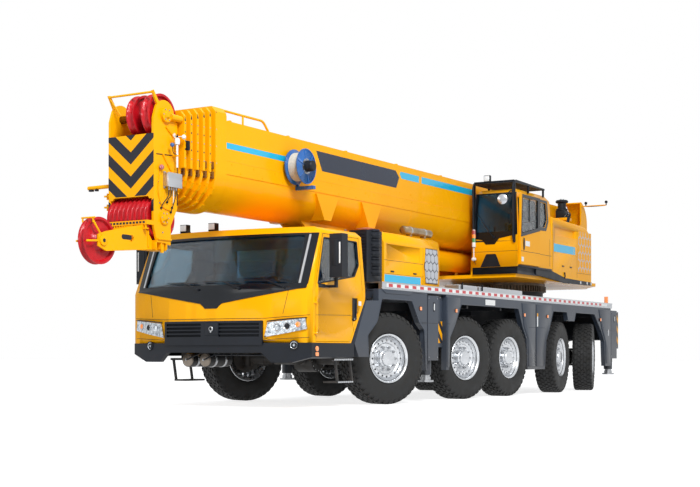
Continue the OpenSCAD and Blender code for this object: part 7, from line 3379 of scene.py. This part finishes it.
@dataclass
class HoseReel:
    """The blue reel on the base section's left, wound with pale hose, and its spring motor."""

    shop: Shop
    centre: Pair = (1.18, 3.37)
    inner: float = 0.52
    width: float = 0.19

    def build(self) -> None:
        """Models and dresses the reel's pieces."""
        shop = self.shop
        x, z = self.centre
        outer = self.inner + self.width

        def radius(m: Vector) -> float:
            """Distance from the reel's axis."""
            return math.hypot(m.x - x, m.z - z)

        shop.repaint(
            "hose_reel",
            [
                (lambda m: m.y > outer + 0.0125 and radius(m) < 0.0705, MOULDED_BLACK),
                (
                    lambda m: self.inner + 0.0125 < m.y < outer - 0.0005 and radius(m) < 0.1405,
                    WHITE_FILM
                )
            ],
            REEL_BLUE, "blue"
        )
        body = shop.body_of("hose_reel")
        turns = 9
        step = (self.width - 0.016) / turns
        profile = [(0.13, self.inner + 0.014)]
        for k in range(turns):
            y = self.inner + 0.014 + step * k
            profile += [
                (0.186, y + 0.001), (0.196, y + step * 0.25), (0.2, y + step * 0.5),
                (0.196, y + step * 0.75)
            ]
        profile += [
            (0.186, self.inner + 0.014 + step * turns - 0.001),
            (0.13, self.inner + 0.014 + step * turns - 0.001)
        ]
        shop.mount(
            "reel_hose", [shop.lathe(profile, (x, 0, z), (0, 1, 0), HOSE_WHITE, 56)], body, "bright"
        )
        parts = []
        for y in (self.inner - 0.004, outer + 0.0075):
            parts.append(
                shop.lathe(
                    [
                        (0.236, 0.0), (0.243, -0.004), (0.249, 0.0), (0.249, 0.006), (0.243, 0.01),
                        (0.236, 0.006)
                    ],
                    (x, y, z), (0, 1, 0), REEL_BLUE, 64
                )
            )
        for k in range(6):
            turn = math.radians(60 * k + 15)
            parts.append(
                shop.rod(
                    (x + 0.07 * math.cos(turn), outer + 0.013, z + 0.07 * math.sin(turn)),
                    (x + 0.23 * math.cos(turn), outer + 0.013, z + 0.23 * math.sin(turn)),
                    0.008, REEL_BLUE, 10
                )
            )
        shop.mount("reel_rims", parts, body, "blue")
        motor = [
            shop.lathe(
                [
                    (0.0, 0.0), (0.074, 0.0), (0.08, 0.01), (0.08, 0.05), (0.074, 0.06),
                    (0.074, 0.1), (0.06, 0.118), (0.0, 0.12)
                ],
                (x, outer + 0.013, z), (0, 1, 0), MOULDED_BLACK, 36
            ),
            shop.lathe(
                [(0.0, 0.0), (0.11, 0.0), (0.11, 0.006), (0.0, 0.006)],
                (x, outer + 0.0125, z), (0, 1, 0), ZINC_PLATE, 36
            )
        ]
        bolt = shop.rod(
            (x + 0.093, outer + 0.018, z), (x + 0.093, outer + 0.026, z), 0.007, ZINC_PLATE, 6
        )
        motor.append(shop.ring(bolt, 8, (x, 0, z), (0, 1, 0)))
        shop.mount("reel_motor", motor, body, "black")


@dataclass
class Studio:
    """Plain pale floor, soft light from the front left, and the camera of the photograph."""

    shop: Shop
    camera_place: Triple = (18.5816, 10.5677, 0.7491)
    heading: float = 121.13
    lens: float = 65.97
    rise: float = 0.156
    film_width: float = 36.0
    view_end: float = 400.0
    floor_size: float = 160.0
    floor_glow: float = 0.78
    sky_light: float = 0.62
    aim: Triple = (1.0, 0.0, 1.8)
    key_place: Triple = (14.0, 13.0, 15.0)
    key_size: float = 6.0
    key_watts: float = 4100.0
    fill_place: Triple = (24.0, -6.0, 7.0)
    fill_size: float = 8.0
    fill_watts: float = 500.0

    def build(self) -> None:
        """Makes camera, floor, world and lamps."""
        scene = bpy.context.scene
        scene.view_settings.view_transform = "Standard"
        camera = bpy.data.cameras.new("camera")
        camera.lens = self.lens
        camera.sensor_width = self.film_width
        camera.shift_y = self.rise
        camera.clip_end = self.view_end
        holder = bpy.data.objects.new("camera", camera)
        holder.location = self.camera_place
        holder.rotation_euler = (math.radians(90), 0.0, math.radians(self.heading))
        scene.collection.objects.link(holder)
        scene.camera = holder
        self.floor()
        self.world()
        self.lamp("key", self.key_place, self.key_size, self.key_watts)
        self.lamp("front_fill", self.fill_place, self.fill_size, self.fill_watts)

    def lamp(self, name: str, place: Triple, size: float, watts: float) -> None:
        """Hangs a square soft lamp that looks at the machine's middle.

        Args:
            name: its name.
            place: where it hangs.
            size: its side.
            watts: its power.
        """
        light = bpy.data.lights.new(name, "AREA")
        light.size = size
        light.energy = watts
        holder = bpy.data.objects.new(name, light)
        holder.location = place
        aim = Vector(self.aim) - Vector(place)
        holder.rotation_euler = aim.to_track_quat("-Z", "Y").to_euler()
        bpy.context.scene.collection.objects.link(holder)

    def floor(self) -> None:
        """Lays the floor, white to the camera where nothing shades it."""
        self.shop.clear()
        bpy.ops.mesh.primitive_plane_add(size=self.floor_size, location=(0, 0, -0.001))
        floor = self.shop.settle(bpy.context.object)
        floor.name = "studio_floor"
        made = bpy.data.materials.new("studio_floor_white")
        made.use_nodes = True
        tree = made.node_tree
        shader = tree.nodes["Principled BSDF"]
        place = add_node(tree, "ShaderNodeTexCoord").outputs["Object"]
        faint = add_node(tree, "ShaderNodeTexNoise", {"Vector": place, "Scale": 0.4, "Detail": 2.0})
        tone = add_node(
            tree, "ShaderNodeMix",
            {0: faint.outputs[0], 6: linear("#bfbfbe"), 7: linear("#c6c6c6")},
            data_type="RGBA"
        )
        tree.links.new(tone.outputs[2], shader.inputs["Base Color"])
        shader.inputs["Roughness"].default_value = 0.9
        white = add_node(
            tree, "ShaderNodeEmission", {"Strength": self.direct_view(tree, self.floor_glow)}
        )
        both = add_node(tree, "ShaderNodeAddShader", {0: shader.outputs[0], 1: white.outputs[0]})
        tree.links.new(both.outputs[0], tree.nodes["Material Output"].inputs[0])
        floor.data.materials.append(made)

    def world(self) -> None:
        """Makes an even pale sky: full white to the camera and in mirrors, weaker as light."""
        world = bpy.data.worlds.new("studio")
        bpy.context.scene.world = world
        world.use_nodes = True
        tree = world.node_tree
        tree.nodes.clear()
        light = add_node(
            tree, "ShaderNodeBackground", {"Color": linear("#f2f5f9"), "Strength": self.sky_light}
        )
        shown = add_node(
            tree, "ShaderNodeBackground", {"Color": (1.0, 1.0, 1.0, 1.0), "Strength": 1.0}
        )
        mix = add_node(
            tree, "ShaderNodeMixShader",
            {0: self.direct_view(tree, 1.0), 1: light.outputs[0], 2: shown.outputs[0]}
        )
        add_node(tree, "ShaderNodeOutputWorld", {0: mix.outputs[0]})

    def direct_view(self, tree: bpy.types.NodeTree, strength: float) -> bpy.types.NodeSocket:
        """Adds nodes that give a strength to what camera, mirror or glass shows, and no light.

        Args:
            tree: the floor's or the world's nodes.
            strength: the value given.

        Returns:
            The socket that holds it.
        """
        path = add_node(tree, "ShaderNodeLightPath")
        seen = path.outputs["Is Camera Ray"]
        for name in ("Is Transmission Ray", "Is Glossy Ray"):
            seen = add_node(
                tree, "ShaderNodeMath", {0: seen, 1: path.outputs[name]}, operation="MAXIMUM"
            ).outputs[0]
        return add_node(
            tree, "ShaderNodeMath", {0: seen, 1: strength}, operation="MULTIPLY"
        ).outputs[0]


def main() -> None:
    """Loads the frame, models and dresses every sub-assembly in order and logs how many pieces were
    made.
    """
    logging.basicConfig(level=logging.INFO, format="%(name)s %(message)s")
    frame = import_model()
    shop = Shop(frame)
    for part in (
        Studio(shop), Dressing(shop), Wheels(shop), DriverCab(shop), PowerPack(shop), Carrier(shop),
        Outriggers(shop), Underside(shop), OperatorCab(shop), Superstructure(shop), Boom(shop),
        BoomHead(shop), HoseReel(shop)
    ):
        LOG.info("building %s", type(part).__name__)
        part.build()
    LOG.info("%d pieces", shop.count)


if __name__ == "__main__":
    main()
